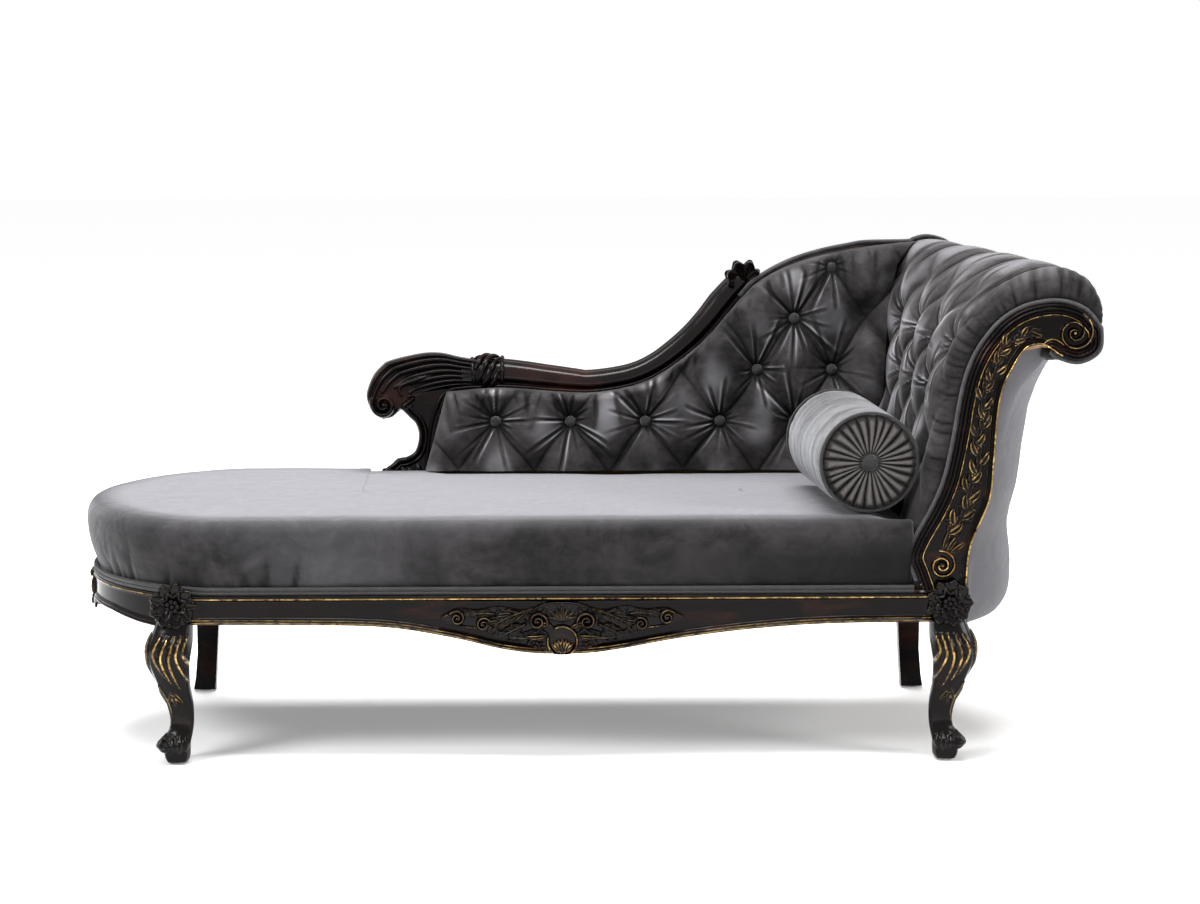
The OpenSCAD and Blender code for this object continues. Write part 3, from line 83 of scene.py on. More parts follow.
# %% Places taken from the frame
leg_span = 1.357
head_overhang = 0.272
foot_overhang = 0.185
head_rise = 0.573
rake = math.radians(7)
post_side = 0.060
rail_t = 0.030
seat_inset = 0.010
seat_swell = 0.017
back_t = 0.026
cover_t = 0.003
web_t = 0.002
cloth_t = 0.0015
gap = 0.0003
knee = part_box("knee_rosette_foot_end")
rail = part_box("front_rail")
foot_x = (knee[0].x + knee[1].x) / 2
head_x = foot_x + leg_span
front_y = knee[1].y + post_side / 2 + gap
rear_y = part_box("rear_rail")[1].y
rail_top = rail[1].z
rail_face_y = rail[0].y
rail_bottom = rail_top - 0.050
seat_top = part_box("seat_cushion")[1].z
seat_rise = seat_top - rail_top
back_y = rear_y - rail_t / 2
bracket_x = foot_x + leg_span * 0.24
bracket_t = back_t * 1.3
back_left = bracket_x + 0.052 * 1.83
print("legs at x", round(foot_x, 4), round(head_x, 4), "and y", round(front_y, 4), round(rear_y, 4))


def mix(a, b, t):
    return a + (b - a) * t


def head_place(p):
    return np.array([head_x + head_overhang * p[0], rail_top + head_rise * p[1]])


def back_place(p):
    return np.array([back_left + back_span * p[0], head_rise / math.cos(rake) * p[1]])


def slab_y(z, n):
    return back_y + (z - rail_top) * math.tan(rake) + n / math.cos(rake)


def slab_w(z):
    return (z - rail_top) / math.cos(rake)


def on_slab(x, w, n):
    """Places in the leaning plane of the back: along, up the slope, and out to the front."""
    x, w, n = np.broadcast_arrays(x, w, n)
    return np.stack([x, back_y + w * math.sin(rake) - n * math.cos(rake),
                     rail_top + w * math.cos(rake) + n * math.sin(rake)], -1)


pad_front_shares = [(-0.272, 0.025), (-0.272, 0.136), (-0.232, 0.241), (-0.173, 0.363),
                    (-0.129, 0.476), (-0.092, 0.59), (-0.04, 0.695), (0.055, 0.794),
                    (0.228, 0.89), (0.449, 0.969), (0.695, 0.998), (0.893, 0.962),
                    (0.993, 0.869), (0.949, 0.773), (0.835, 0.726), (0.695, 0.709),
                    (0.566, 0.71)]
pad_rear_shares = [(-0.32, 0.025), (-0.32, 0.136), (-0.312, 0.241), (-0.265, 0.363),
                   (-0.213, 0.476), (-0.199, 0.59), (-0.184, 0.695), (-0.173, 0.794),
                   (-0.129, 0.913), (-0.022, 0.984), (0.121, 1), (0.283, 0.972),
                   (0.379, 0.895), (0.368, 0.82), (0.29, 0.768), (0.18, 0.742),
                   (0.074, 0.738)]
board_front_shares = [(-0.13, 0.025), (-0.13, 0.136), (-0.114, 0.241), (-0.018, 0.36),
                      (0.033, 0.476), (0.074, 0.599), (0.121, 0.689), (0.202, 0.766),
                      (0.32, 0.832), (0.485, 0.874), (0.688, 0.887), (0.835, 0.864),
                      (0.901, 0.82), (0.871, 0.768), (0.79, 0.75), (0.688, 0.75),
                      (0.588, 0.752)]
board_rear_shares = [(-0.165, 0.025), (-0.165, 0.136), (-0.158, 0.241), (-0.118, 0.363),
                     (-0.077, 0.476), (-0.052, 0.59), (-0.029, 0.695), (-0.007, 0.785),
                     (0.033, 0.86), (0.074, 0.895), (0.129, 0.904), (0.195, 0.895),
                     (0.232, 0.869), (0.232, 0.834), (0.195, 0.808), (0.136, 0.796),
                     (0.074, 0.794)]
contour_shares = [(0.048, 0.49), (0.163, 0.504), (0.292, 0.49), (0.378, 0.489),
                  (0.486, 0.529), (0.594, 0.647), (0.679, 0.798), (0.718, 0.86),
                  (0.789, 0.92), (0.875, 0.96), (0.983, 0.988)]
back_span = head_place(board_rear_shares[0])[0] - back_left


def spline(knots, u):
    """Points of a smooth curve through the knots, at places u counted in knots."""
    p = np.asarray(knots, float)
    u = np.clip(np.asarray(u, float), 0, len(p) - 1)
    i = np.minimum(np.floor(u).astype(int), len(p) - 2)
    t = (u - i)[..., None]
    a, b, c, d = (p[np.clip(i + k, 0, len(p) - 1)] for k in (-1, 0, 1, 2))
    return (b + (c - a) * t / 2 + (2 * a - 5 * b + 4 * c - d) * t ** 2 / 2
            + (3 * (b - c) + d - a) * t ** 3 / 2)


def even(knots, count):
    """The same curve with its points an even distance apart."""
    fine = spline(knots, np.linspace(0, len(knots) - 1, 40 * len(knots)))
    run = np.r_[0, np.cumsum(np.linalg.norm(np.diff(fine, axis=0), axis=1))]
    at = np.linspace(0, run[-1], count)
    return np.stack([np.interp(at, run, fine[:, k]) for k in range(fine.shape[1])], -1)


contour = spline([back_place(p) for p in contour_shares], np.linspace(0, 10, 31))
print("the back is", round(back_span, 3), "m long and its crest starts at", contour[0].round(3))

# %% [markdown]
# Most pieces here are sheets or tubes: rows of points joined by four-sided faces. One
# helper makes the faces of such a net, and one turns points into a piece that rides on
# its body, takes its slot and stands for its nodes. Numpy works out all the points of a
# net at once, which is far quicker than a loop over vertices.

# %% Helpers for nets of points
def net(rows, columns, round_rows=False, round_columns=False):
    """Faces of a net of rows by columns points; a round direction joins its two ends."""
    j = np.arange(rows if round_rows else rows - 1)[:, None]
    i = np.arange(columns if round_columns else columns - 1)[None, :]
    a, b = j * columns + i, j * columns + (i + 1) % columns
    c = ((j + 1) % rows) * columns + (i + 1) % columns
    d = ((j + 1) % rows) * columns + i
    return np.stack(np.broadcast_arrays(a, b, c, d), -1).reshape(-1, 4)


def grid(a, b):
    """Two nets of numbers: a changes from row to row and b from column to column."""
    return np.meshgrid(a, b, indexing="ij")


def angle_off(turn, way):
    """The angle from way to turn, between minus and plus half a turn."""
    return (turn - way + math.pi) % (2 * math.pi) - math.pi


def hump(value, at, width):
    """1 where the value is at its place, with a soft fall to both sides."""
    return np.exp(-((value - at) / width) ** 2)


def run_along(line):
    """Distance along a line, point by point, as seen from above."""
    return np.r_[0, np.cumsum(np.hypot(*np.diff(line[:, :2], axis=0).T))]


def round_angles(count):
    return np.linspace(0, 2 * math.pi, count, endpoint=False)


def fan(first, count, centre):
    """Triangles from a ring of points to one centre point."""
    i = np.arange(count)
    return np.stack([first + (i + 1) % count, first + i, np.full(count, centre)], -1)


def tube_faces(rows, columns):
    """Faces of a tube of rings; the two points after the rings close its ends."""
    count = rows * columns
    return [*net(rows, columns, False, True), *fan(0, columns, count),
            *fan(count - columns, columns, count + 1)[:, ::-1]]


def make_mesh(name, points, faces, mark=None, values=()):
    """A closed mesh with its normals outwards; mark names an attribute for its points."""
    mesh = bpy.data.meshes.new(name)
    points = np.asarray(points, float).reshape(-1, 3)
    mesh.from_pydata(points.tolist(), [], [tuple(f) for f in faces])
    if mark:
        full = np.zeros(len(points), np.float32)
        full[:np.size(values)] = np.ravel(values)
        mesh.attributes.new(mark, "FLOAT", "POINT").data.foreach_set("value", full)
    work = bmesh.new()
    work.from_mesh(mesh)
    bmesh.ops.remove_doubles(work, verts=work.verts, dist=1e-6)
    bmesh.ops.recalc_face_normals(work, faces=work.faces)
    work.to_mesh(mesh)
    work.free()
    mesh.shade_smooth()
    return mesh


def ended_tube(name, points):
    """A tube from rings of points, with a middle point at each end."""
    ends = points[[0, -1]].mean(1)
    return make_mesh(name, np.concatenate([points.reshape(-1, 3), ends]),
                     tube_faces(*points.shape[:2]))


def add_piece(name, mesh, finish, body="couch", stands_for=()):
    mesh.materials.clear()
    mesh.materials.append(finish)
    piece = bpy.data.objects.new(name, mesh)
    scene.collection.objects.link(piece)
    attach(piece, body)
    if stands_for:
        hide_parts(*stands_for)
    print(name, "has", len(mesh.polygons), "faces")
    return piece


def closed_sheet(outer, inner):
    """Points and faces of a solid between two nets of the same rows and columns."""
    rows, columns = outer.shape[:2]
    count = rows * columns
    top = net(rows, columns)
    at = np.arange(count).reshape(rows, columns)
    rim = np.concatenate([at[0, :], at[1:, -1], at[-1, -2::-1], at[-2:0:-1, 0]])
    nxt = np.roll(rim, -1)
    sides = np.stack([rim, rim + count, nxt + count, nxt], -1)
    points = np.concatenate([outer.reshape(-1, 3), inner.reshape(-1, 3)])
    return points, [*top, *(top[:, ::-1] + count), *sides]


def tube(path, radius, sides=10, up=(0, 0, 1), flat=1.0, closed=False):
    """A round or flattened cord along a path; radius may change along it."""
    path = np.asarray(path, float)
    radius = np.broadcast_to(radius, len(path))
    if closed:
        along = np.roll(path, -1, 0) - np.roll(path, 1, 0)
    else:
        along = np.gradient(path, axis=0)
    along /= np.linalg.norm(along, axis=1, keepdims=True)
    side = np.cross(along, np.asarray(up, float))
    side /= np.linalg.norm(side, axis=1, keepdims=True)
    rise = np.cross(side, along)
    turn = round_angles(sides)
    points = (path[:, None] + radius[:, None, None] * (np.cos(turn)[None, :, None] * side[:, None]
              + flat * np.sin(turn)[None, :, None] * rise[:, None]))
    if closed:
        return points.reshape(-1, 3), net(len(path), sides, True, True)
    points = np.concatenate([points.reshape(-1, 3), path[[0, -1]]])
    return points, tube_faces(len(path), sides)


def joined(parts):
    """Several point-and-face lists as one."""
    points, faces, first = [], [], 0
    for p, f in parts:
        points.append(np.asarray(p).reshape(-1, 3))
        faces += [[int(i) + first for i in face] for face in f]
        first += len(points[-1])
    return np.concatenate(points), faces


print("a net of 3 by 4 points has", len(net(3, 4)), "faces")

# %% [markdown]
# A material is a small network of nodes. Writing each network out line by line hides the
# idea, so these helpers keep it short: one adds a node with its settings, the others add
# the few patterns that every finish here uses. They all read Object coordinates, so the
# grain and the pile keep their real size on every piece, long or short.

# %% Helpers for materials
def add(tree, kind, inputs=(), **settings):
    """One node; an input is either a value or the socket that feeds it."""
    made = tree.nodes.new(kind)
    for key, value in settings.items():
        setattr(made, key, value)
    for key, value in dict(inputs).items():
        if isinstance(value, bpy.types.NodeSocket):
            tree.links.new(value, made.inputs[key])
        else:
            made.inputs[key].default_value = value
    return made


def place(tree, stretch=(1, 1, 1), turn=(0, 0, 0)):
    coordinates = add(tree, "ShaderNodeTexCoord").outputs["Object"]
    return add(tree, "ShaderNodeMapping", {"Vector": coordinates, "Scale": stretch,
                                           "Rotation": turn}).outputs[0]


def noise(tree, scale, detail=3.0, stretch=(1, 1, 1), warp=0.0, rough=0.55):
    return add(tree, "ShaderNodeTexNoise", {"Vector": place(tree, stretch), "Scale": scale,
               "Detail": detail, "Roughness": rough, "Distortion": warp}).outputs["Fac"]


def spread(tree, value, low, high, out_low=0.0, out_high=1.0):
    return add(tree, "ShaderNodeMapRange", {0: value, 1: low, 2: high, 3: out_low, 4: out_high},
               interpolation_type="SMOOTHSTEP").outputs[0]


def sums(tree, operation, a, b):
    return add(tree, "ShaderNodeMath", {0: a, 1: b}, operation=operation).outputs[0]


def blend(tree, share, a, b):
    colours = {6: (*a, 1) if isinstance(a, tuple) else a, 7: (*b, 1) if isinstance(b, tuple) else b}
    return add(tree, "ShaderNodeMix", {0: share, **colours}, data_type="RGBA").outputs[2]


def relief(tree, height, depth, under=None, strength=1.0):
    inputs = {"Height": height, "Distance": depth, "Strength": strength}
    if under is not None:
        inputs["Normal"] = under
    return add(tree, "ShaderNodeBump", inputs).outputs[0]


def start_finish(name):
    finish = bpy.data.materials.new(name)
    finish.use_nodes = True
    tree = finish.node_tree
    return finish, tree, tree.nodes["Principled BSDF"]


def feed(tree, shader, **inputs):
    names = {key: key.replace("_", " ") for key in inputs}
    for key, value in inputs.items():
        socket = shader.inputs[names[key]]
        if isinstance(value, bpy.types.NodeSocket):
            tree.links.new(value, socket)
        else:
            socket.default_value = value


print("helpers: place, noise, spread, sums, blend, relief, start_finish, feed")

# %% [markdown]
# The photo has a white ground and soft light from all round, with soft contact shadows.
# A lamp stands on each side of the camera, a long strip hangs above the front edge, and
# the largest lamp hangs above and behind. It lights the top of the seat and the roll of
# the head, where velvet turns pale, and the lacquer doesn't mirror it. The floor glows
# only for rays that reach the camera, and more with distance, so that it runs into the
# white ground but keeps the shadow under the couch.

# %% Stage and light
world_strength = 0.24
floor_half = 14.0
floor_colour = (0.93, 0.93, 0.93, 1)
floor_glow = (0.24, 0.75)
floor_glow_from, floor_glow_to = 0.9, 3.4
lamps = [
    ("key_lamp", (-2.2, -1.8, 2.3), (1.0, 1.0), 66),
    ("fill_lamp", (3.4, -1.8, 1.8), (1.2, 1.2), 58),
    ("strip_lamp", (-0.2, -1.1, 3.3), (3.2, 0.7), 118),
    ("rear_lamp", (-0.2, 1.3, 3.6), (3.4, 2.0), 245),
]
lamp_target = Vector((0, 0, 0.45))


def is_seen(tree):
    """1 for rays that show the background, 0 for rays that carry light."""
    path = add(tree, "ShaderNodeLightPath").outputs
    mirrored = sums(tree, "MAXIMUM", path["Is Glossy Ray"], path["Is Transmission Ray"])
    return sums(tree, "MAXIMUM", path["Is Camera Ray"], mirrored)


def make_world():
    world = bpy.data.worlds.new("white_ground")
    world.use_nodes = True
    tree = world.node_tree
    tree.nodes.clear()
    light = add(tree, "ShaderNodeBackground", {"Color": (1, 1, 1, 1), "Strength": world_strength})
    ground = add(tree, "ShaderNodeBackground", {"Color": (1, 1, 1, 1), "Strength": 1.0})
    pick = add(tree, "ShaderNodeMixShader", {0: is_seen(tree), 1: light.outputs[0],
                                             2: ground.outputs[0]})
    add(tree, "ShaderNodeOutputWorld", {"Surface": pick.outputs[0]})
    return world


def make_floor():
    mesh = bpy.data.meshes.new("floor")
    h = floor_half
    mesh.from_pydata([(-h, -h, 0), (h, -h, 0), (h, h, 0), (-h, h, 0)], [], [(0, 1, 2, 3)])
    floor = bpy.data.objects.new("floor", mesh)
    scene.collection.objects.link(floor)
    finish = bpy.data.materials.new("white_floor")
    finish.use_nodes = True
    tree = finish.node_tree
    tree.nodes.clear()
    paint = add(tree, "ShaderNodeBsdfDiffuse", {"Color": floor_colour})
    far = add(tree, "ShaderNodeVectorMath", {0: place(tree)}, operation="LENGTH")
    strength = spread(tree, far.outputs["Value"], floor_glow_from, floor_glow_to, *floor_glow)
    glow = add(tree, "ShaderNodeEmission", {"Strength": sums(tree, "MULTIPLY", is_seen(tree),
                                                             strength)})
    both = add(tree, "ShaderNodeAddShader", {0: paint.outputs[0], 1: glow.outputs[0]})
    add(tree, "ShaderNodeOutputMaterial", {"Surface": both.outputs[0]})
    mesh.materials.append(finish)


def make_lamp(name, where, size, power):
    data = bpy.data.lights.new(name, "AREA")
    data.shape = "ELLIPSE"
    data.size, data.size_y = size
    data.energy = power
    lamp = bpy.data.objects.new(name, data)
    lamp.location = where
    lamp.rotation_euler = (lamp_target - Vector(where)).to_track_quat("-Z", "Y").to_euler()
    lamp.visible_glossy = name != "rear_lamp"
    scene.collection.objects.link(lamp)


scene.world = make_world()
make_floor()
for lamp in lamps:
    make_lamp(*lamp)
scene.view_settings.view_transform = "Standard"
print("lamps:", [lamp[0] for lamp in lamps])

# %% [markdown]
# The show wood is ebonised: a black-brown lacquer over carved beech, rubbed through to a
# warm red-brown here and there, with worn gilding left on the ridges of the carving. Each
# carved mesh carries a vertex attribute called gilt, worked out from its own relief, and
# the material breaks that mask up with noise so that it looks rubbed and not painted on.

# %% Show wood
lacquer_black = (0.0024, 0.0015, 0.0013)
lacquer_brown = (0.024, 0.0075, 0.0045)
gilt_bright = (0.58, 0.38, 0.13)
gilt_dull = (0.20, 0.115, 0.035)


def make_show_wood(name, gilding, shine):
    finish, tree, shader = start_finish(name)
    rubbed = spread(tree, noise(tree, 9, 5, (1, 1, 2.2), 0.6), 0.50, 0.78, 0.0, 0.75)
    wood = blend(tree, rubbed, lacquer_black, lacquer_brown)
    mask = add(tree, "ShaderNodeAttribute", attribute_name="gilt").outputs["Fac"]
    worn = sums(tree, "MULTIPLY", spread(tree, mask, 0.35, 0.85),
                spread(tree, noise(tree, 110, 4), 0.32, 0.54, 0.0, gilding))
    gold = blend(tree, spread(tree, noise(tree, 60, 3), 0.35, 0.70), gilt_dull, gilt_bright)
    grain = noise(tree, 55, 6, (1, 1, 7), 0.2)
    scratch = noise(tree, 420, 3, (1, 3, 1))
    gloss = spread(tree, noise(tree, 26, 4), 0.3, 0.75, 0.13, 0.22)
    feed(tree, shader, Base_Color=blend(tree, worn, wood, gold),
         Metallic=sums(tree, "MULTIPLY", worn, 0.85),
         Roughness=gloss,
         Normal=relief(tree, scratch, 0.00002, relief(tree, grain, 0.00006)),
         Specular_IOR_Level=shine)
    return finish


def make_gilt():
    finish, tree, shader = start_finish("gilt_bead")
    age = spread(tree, noise(tree, 46, 5, (1, 1, 1), 0.5), 0.42, 0.60)
    rub = spread(tree, noise(tree, 210, 3), 0.36, 0.62)
    gold = blend(tree, rub, gilt_dull, gilt_bright)
    feed(tree, shader, Base_Color=blend(tree, age, gold, (0.030, 0.013, 0.008)),
         Metallic=sums(tree, "SUBTRACT", 0.9, sums(tree, "MULTIPLY", age, 0.7)),
         Roughness=spread(tree, noise(tree, 90, 2), 0.3, 0.7, 0.26, 0.5),
         Normal=relief(tree, noise(tree, 500, 2), 0.0003))
    return finish


ebonised_wood = make_show_wood("ebonised_wood", 0.0, 0.08)
polished_wood = make_show_wood("polished_wood", 0.0, 0.20)
carved_wood = make_show_wood("carved_wood", 1.0, 0.10)
glossy_carving = make_show_wood("glossy_carving", 1.0, 0.13)
gilt_bead = make_gilt()
print("show wood:", ebonised_wood.name, carved_wood.name, gilt_bead.name)

# %% [markdown]
# Velvet is dark where it is seen straight on and pale where it is seen at a grazing
# angle, because its pile stands up and catches the light from the side. The sheen of the
# shader does exactly that. A vertex attribute paints light and shade into the base colour,
# from -1, a painted shade in a fold, to 1, a painted highlight on a ridge or a flat top.
# The blotches are pile that a hand has brushed over: wide noise changes the base colour,
# and a fine noise gives the short pile its bump.

# %% Velvet and the other cloths
def make_velvet(name, dark, light, sheen, sheen_tint, brushed_and_painted_light=7.0, stretch=(1, 1, 1),
                painted_highlight_lift=2.2):
    finish, tree, shader = start_finish(name)
    wide = spread(tree, noise(tree, brushed_and_painted_light, 5, stretch, 1.1, 0.6), 0.34, 0.72)
    fine = spread(tree, noise(tree, 38, 4, (1, 1, 1.5), 0.8), 0.3, 0.75)
    pile = noise(tree, 1500, 2)
    tone = sums(tree, "ADD", sums(tree, "MULTIPLY", wide, 0.5), sums(tree, "MULTIPLY", fine, 0.3))
    # The attribute read here is painted light. Below 0 it darkens the cloth towards a painted shade
    # colour for folds, and above 0 it lightens it towards a pale, cool painted highlight colour.
    pressed_and_painted_light = add(tree, "ShaderNodeAttribute", attribute_name="pile").outputs["Fac"]
    deep = tuple(0.16 * c for c in dark)
    painted_highlight = tuple(min(1, painted_highlight_lift * c * cool) for c, cool in zip(light, (0.98, 1.06, 1.10)))
    cloth = blend(tree, spread(tree, pressed_and_painted_light, -1, 0), deep, blend(tree, tone, dark, light))
    cloth = blend(tree, spread(tree, pressed_and_painted_light, 0, 1, 0, 0.8), cloth, painted_highlight)
    feed(tree, shader, Base_Color=cloth,
         Roughness=spread(tree, fine, 0.0, 1.0, 0.62, 0.82),
         Normal=relief(tree, pile, 0.0004, relief(tree, wide, 0.0016), 0.6),
         Sheen_Weight=sheen, Sheen_Roughness=0.42, Sheen_Tint=(*sheen_tint, 1),
         Specular_IOR_Level=0.12)
    return finish


def make_woven(name, dark, light, thread, roughness=0.9):
    """Plain weave: two sets of bands at right angles, as wide as the thread."""
    finish, tree, shader = start_finish(name)
    bands = []
    for direction in ("X", "Y"):
        band = add(tree, "ShaderNodeTexWave", {"Vector": place(tree), "Scale": 0.16 / thread,
                   "Distortion": 0.6, "Detail": 1}, bands_direction=direction).outputs["Fac"]
        bands.append(band)
    weave = sums(tree, "MULTIPLY", bands[0], bands[1])
    slub = spread(tree, noise(tree, 60, 3, (6, 1, 1)), 0.3, 0.7)
    tone = sums(tree, "MULTIPLY", weave, sums(tree, "ADD", sums(tree, "MULTIPLY", slub, 0.5), 0.5))
    feed(tree, shader, Base_Color=blend(tree, tone, dark, light), Roughness=roughness,
         Normal=relief(tree, weave, thread * 0.4), Specular_IOR_Level=0.2)
    return finish


def make_piping(name, dark, light):
    """Bias-cut cloth over a cord: fine slanting lines along it and soft mottling."""
    finish, tree, shader = start_finish(name)
    lines = add(tree, "ShaderNodeTexWave", {"Vector": place(tree, (1, 1, 1), (0, 0.7, 0.6)),
                "Scale": 190, "Distortion": 1.2, "Detail": 2}).outputs["Fac"]
    tone = sums(tree, "ADD", sums(tree, "MULTIPLY", lines, 0.4),
                sums(tree, "MULTIPLY", noise(tree, 70, 4), 0.7))
    feed(tree, shader, Base_Color=blend(tree, spread(tree, tone, 0.3, 0.85), dark, light),
         Roughness=0.75, Normal=relief(tree, lines, 0.0003),
         Sheen_Weight=0.25, Sheen_Roughness=0.4, Sheen_Tint=(0.85, 0.86, 0.9, 1))
    return finish


velvet = make_velvet("velvet", (0.0030, 0.0026, 0.0028), (0.049, 0.045, 0.047), 0.32,
                     (0.82, 0.82, 0.86), painted_highlight_lift=3.9)
velvet_button = make_velvet("velvet_button", (0.014, 0.013, 0.014), (0.05, 0.048, 0.05), 0.5,
                            (0.8, 0.82, 0.86), 60)
bolster_velvet = make_velvet("bolster_velvet", (0.014, 0.0135, 0.014), (0.195, 0.193, 0.195), 0.40,
                             (0.92, 0.94, 1.0), 11, (0.3, 2.4, 0.3))
# The back and head use the seat's velvet again, toned paler and with a stronger painted highlight: a
# lit copy of the same cloth.
tufted_velvet = make_velvet("tufted_velvet", (0.0030, 0.0025, 0.0027), (0.066, 0.060, 0.062), 0.12,
                            (0.86, 0.84, 0.86), painted_highlight_lift=5.6)
# The pleated ends are the bolster's own velvet toned far darker: a shaded copy of it, painted shade.
bolster_pleats = make_velvet("bolster_pleats", (0.004, 0.0034, 0.0032), (0.055, 0.047, 0.044), 0.12,
                             (0.88, 0.87, 0.86), 18)
piping = make_piping("piping", (0.004, 0.0036, 0.0038), (0.024, 0.022, 0.022))
bolster_piping = make_piping("bolster_piping", (0.005, 0.0046, 0.0048), (0.022, 0.020, 0.020))
velvet_cord = make_piping("velvet_cord", (0.012, 0.011, 0.012), (0.060, 0.056, 0.058))
webbing = make_woven("webbing", (0.10, 0.06, 0.03), (0.46, 0.35, 0.20), 0.0022)
hessian = make_woven("hessian", (0.11, 0.075, 0.035), (0.42, 0.31, 0.17), 0.0016)
dust_cloth = make_woven("dust_cloth", (0.006, 0.006, 0.006), (0.022, 0.022, 0.023), 0.0012)
print("cloths:", velvet.name, bolster_velvet.name, bolster_pleats.name, piping.name)

# %% [markdown]
# Beech and steel show only from below and behind. Beech is pale, with short dark flecks
# along the grain; the springs and screws are drawn steel with a dull grey skin.

# %% Beech and steel
def make_beech():
    finish, tree, shader = start_finish("beech")
    rings = add(tree, "ShaderNodeTexWave", {"Vector": place(tree, (1, 3, 3)), "Scale": 9,
                "Distortion": 5, "Detail": 3, "Detail Scale": 1.4}).outputs["Fac"]
    fleck = spread(tree, noise(tree, 90, 3, (1, 9, 9)), 0.56, 0.66)
    wood = blend(tree, rings, (0.36, 0.22, 0.115), (0.50, 0.335, 0.19))
    feed(tree, shader, Base_Color=blend(tree, fleck, wood, (0.24, 0.135, 0.065)), Roughness=0.62,
         Normal=relief(tree, fleck, 0.0004))
    return finish


def make_steel(name, colour, roughness):
    finish, tree, shader = start_finish(name)
    skin = spread(tree, noise(tree, 120, 4), 0.35, 0.7)
    feed(tree, shader, Base_Color=blend(tree, skin, colour, tuple(0.55 * c for c in colour)),
         Metallic=1.0, Roughness=spread(tree, skin, 0, 1, roughness, roughness + 0.2),
         Normal=relief(tree, noise(tree, 600, 2), 0.0001))
    return finish


beech = make_beech()
steel = make_steel("steel", (0.42, 0.42, 0.41), 0.32)
spring_steel = make_steel("spring_steel", (0.26, 0.265, 0.28), 0.38)
print("frame finishes:", beech.name, steel.name, spring_steel.name)

# %% [markdown]
# The seat is one stuffed form: straight along the front, round at the foot, cut in behind
# for the back. A closed net suits it better than a box with a bevel. Rings of points
# follow its outline at rising heights, swell out where the stuffing pushes, and then run
# in over the crown to the middle line. The cloth is gathered where it turns the round
# foot, so short grooves rise from the welt there, each at its own place and depth.

# %% Outline of the seat
seat_end_gap = 0.002
cushion_gap = 0.002
press_share = 0.13
end_sweep = foot_overhang - seat_swell + seat_inset
frame_depth = rear_y - front_y
end_r = (frame_depth ** 2 / 4 + end_sweep ** 2) / (2 * end_sweep)
end_x = foot_x - end_sweep + end_r
end_y = (front_y + rear_y) / 2
seat_face_y = rail_face_y + seat_inset
seat_r = end_r - seat_inset
seat_foot_y = 2 * end_y - seat_face_y
seat_back_y = slab_y(rail_top, -bracket_t / 2) - cushion_gap
seat_x_front = head_place(pad_front_shares[0])[0] - seat_end_gap
seat_x_rear = head_place(pad_rear_shares[0])[0] - seat_end_gap
half_points = 330
notch = bracket_x - bracket_t / 4
head_slope = (seat_x_rear - seat_x_front) / (seat_back_y - seat_face_y)


def outline_half(rows):
    """x, y, outward x and y, share of swell and of press, at even steps along the edge."""
    rows = np.asarray(rows, float)
    run = run_along(rows)
    at = np.linspace(0, run[-1], half_points)
    return np.stack([np.interp(at, run, rows[:, k]) for k in range(6)], -1)


def seat_outline():
    arc = math.asin((end_y - seat_face_y) / seat_r)
    arc_x = end_x - seat_r * math.cos(arc)
    turn = np.linspace(arc, 0, 60)
    front = [(mix(seat_x_front, seat_x_rear, 0.5), mix(seat_face_y, seat_back_y, 0.5), 1, 0, 0, 1),
             (seat_x_front + 0.011, seat_face_y + 0.012, 1, 0, 0, 1),
             (seat_x_front + 0.010, seat_face_y + 0.001, 0, -1, 0.8, 0.4),
             (seat_x_front - 0.012, seat_face_y, 0, -1, 1, 0)]
    for a in turn:
        front.append((end_x - seat_r * math.cos(a), end_y - seat_r * math.sin(a),
                      -math.cos(a), -math.sin(a), 1, 0))
    rear = [(end_x - seat_r * math.cos(a), end_y + seat_r * math.sin(a),
             -math.cos(a), math.sin(a), 1, 0) for a in turn[::-1]]
    rear += [(arc_x + 0.02, seat_foot_y, 0, 1, 0.5, 0), (notch - 0.012, seat_foot_y, 0, 1, 0.5, 0),
             (notch, seat_foot_y - 0.012, 0, 1, 0.3, 0), (notch, seat_back_y + 0.004, 0, 1, 0, 0),
             (notch + 0.004, seat_back_y, 0, 1, 0, 0), (back_left, seat_back_y, 0, 1, 0, 0.4),
             (back_left + 0.09, seat_back_y, 0, 1, 0, 1), (seat_x_rear, seat_back_y, 0, 1, 0, 1),
             (mix(seat_x_front, seat_x_rear, 0.5), mix(seat_face_y, seat_back_y, 0.5), 1, 0, 0, 1)]
    return np.concatenate([outline_half(front), outline_half(rear)])


seat_edge = seat_outline()
print("the seat's edge is", round(float(run_along(seat_edge)[-1]), 3), "m")

# %% [markdown]
# Nothing stuffed by hand is quite even. A texture of bumps would do from afar, but folds
# show in the outline too, so they are worked out as heights. One helper gives a smooth,
# repeatable unevenness, and one the hollow of a pressed fold; every soft part uses both.
# The table of levels is the section of the seat: its height, its swell, and its run in to
# the middle line. The top is painted paler, and the side is painted lighter at the foot and
# darker towards the head, as painted light and shade.

# %% Uneven hand-made surfaces
def soft_noise(points, size, seed):
    """A smooth, repeatable unevenness between about -1 and 1, with bumps of one size."""
    random = np.random.default_rng(seed)
    total = np.zeros(points.shape[:-1])
    for _ in range(9):
        way = random.normal(size=3)
        way *= 2 * math.pi / (size * random.uniform(0.7, 1.6) * np.linalg.norm(way))
        total += np.sin(points @ way + random.uniform(0, 2 * math.pi))
    return total / 4.5


def groove(distance, width):
    """Depth of a pressed fold beside its line: 1 on the line, 0 away from it."""
    return np.exp(-(np.abs(distance) / width) ** 1.4)


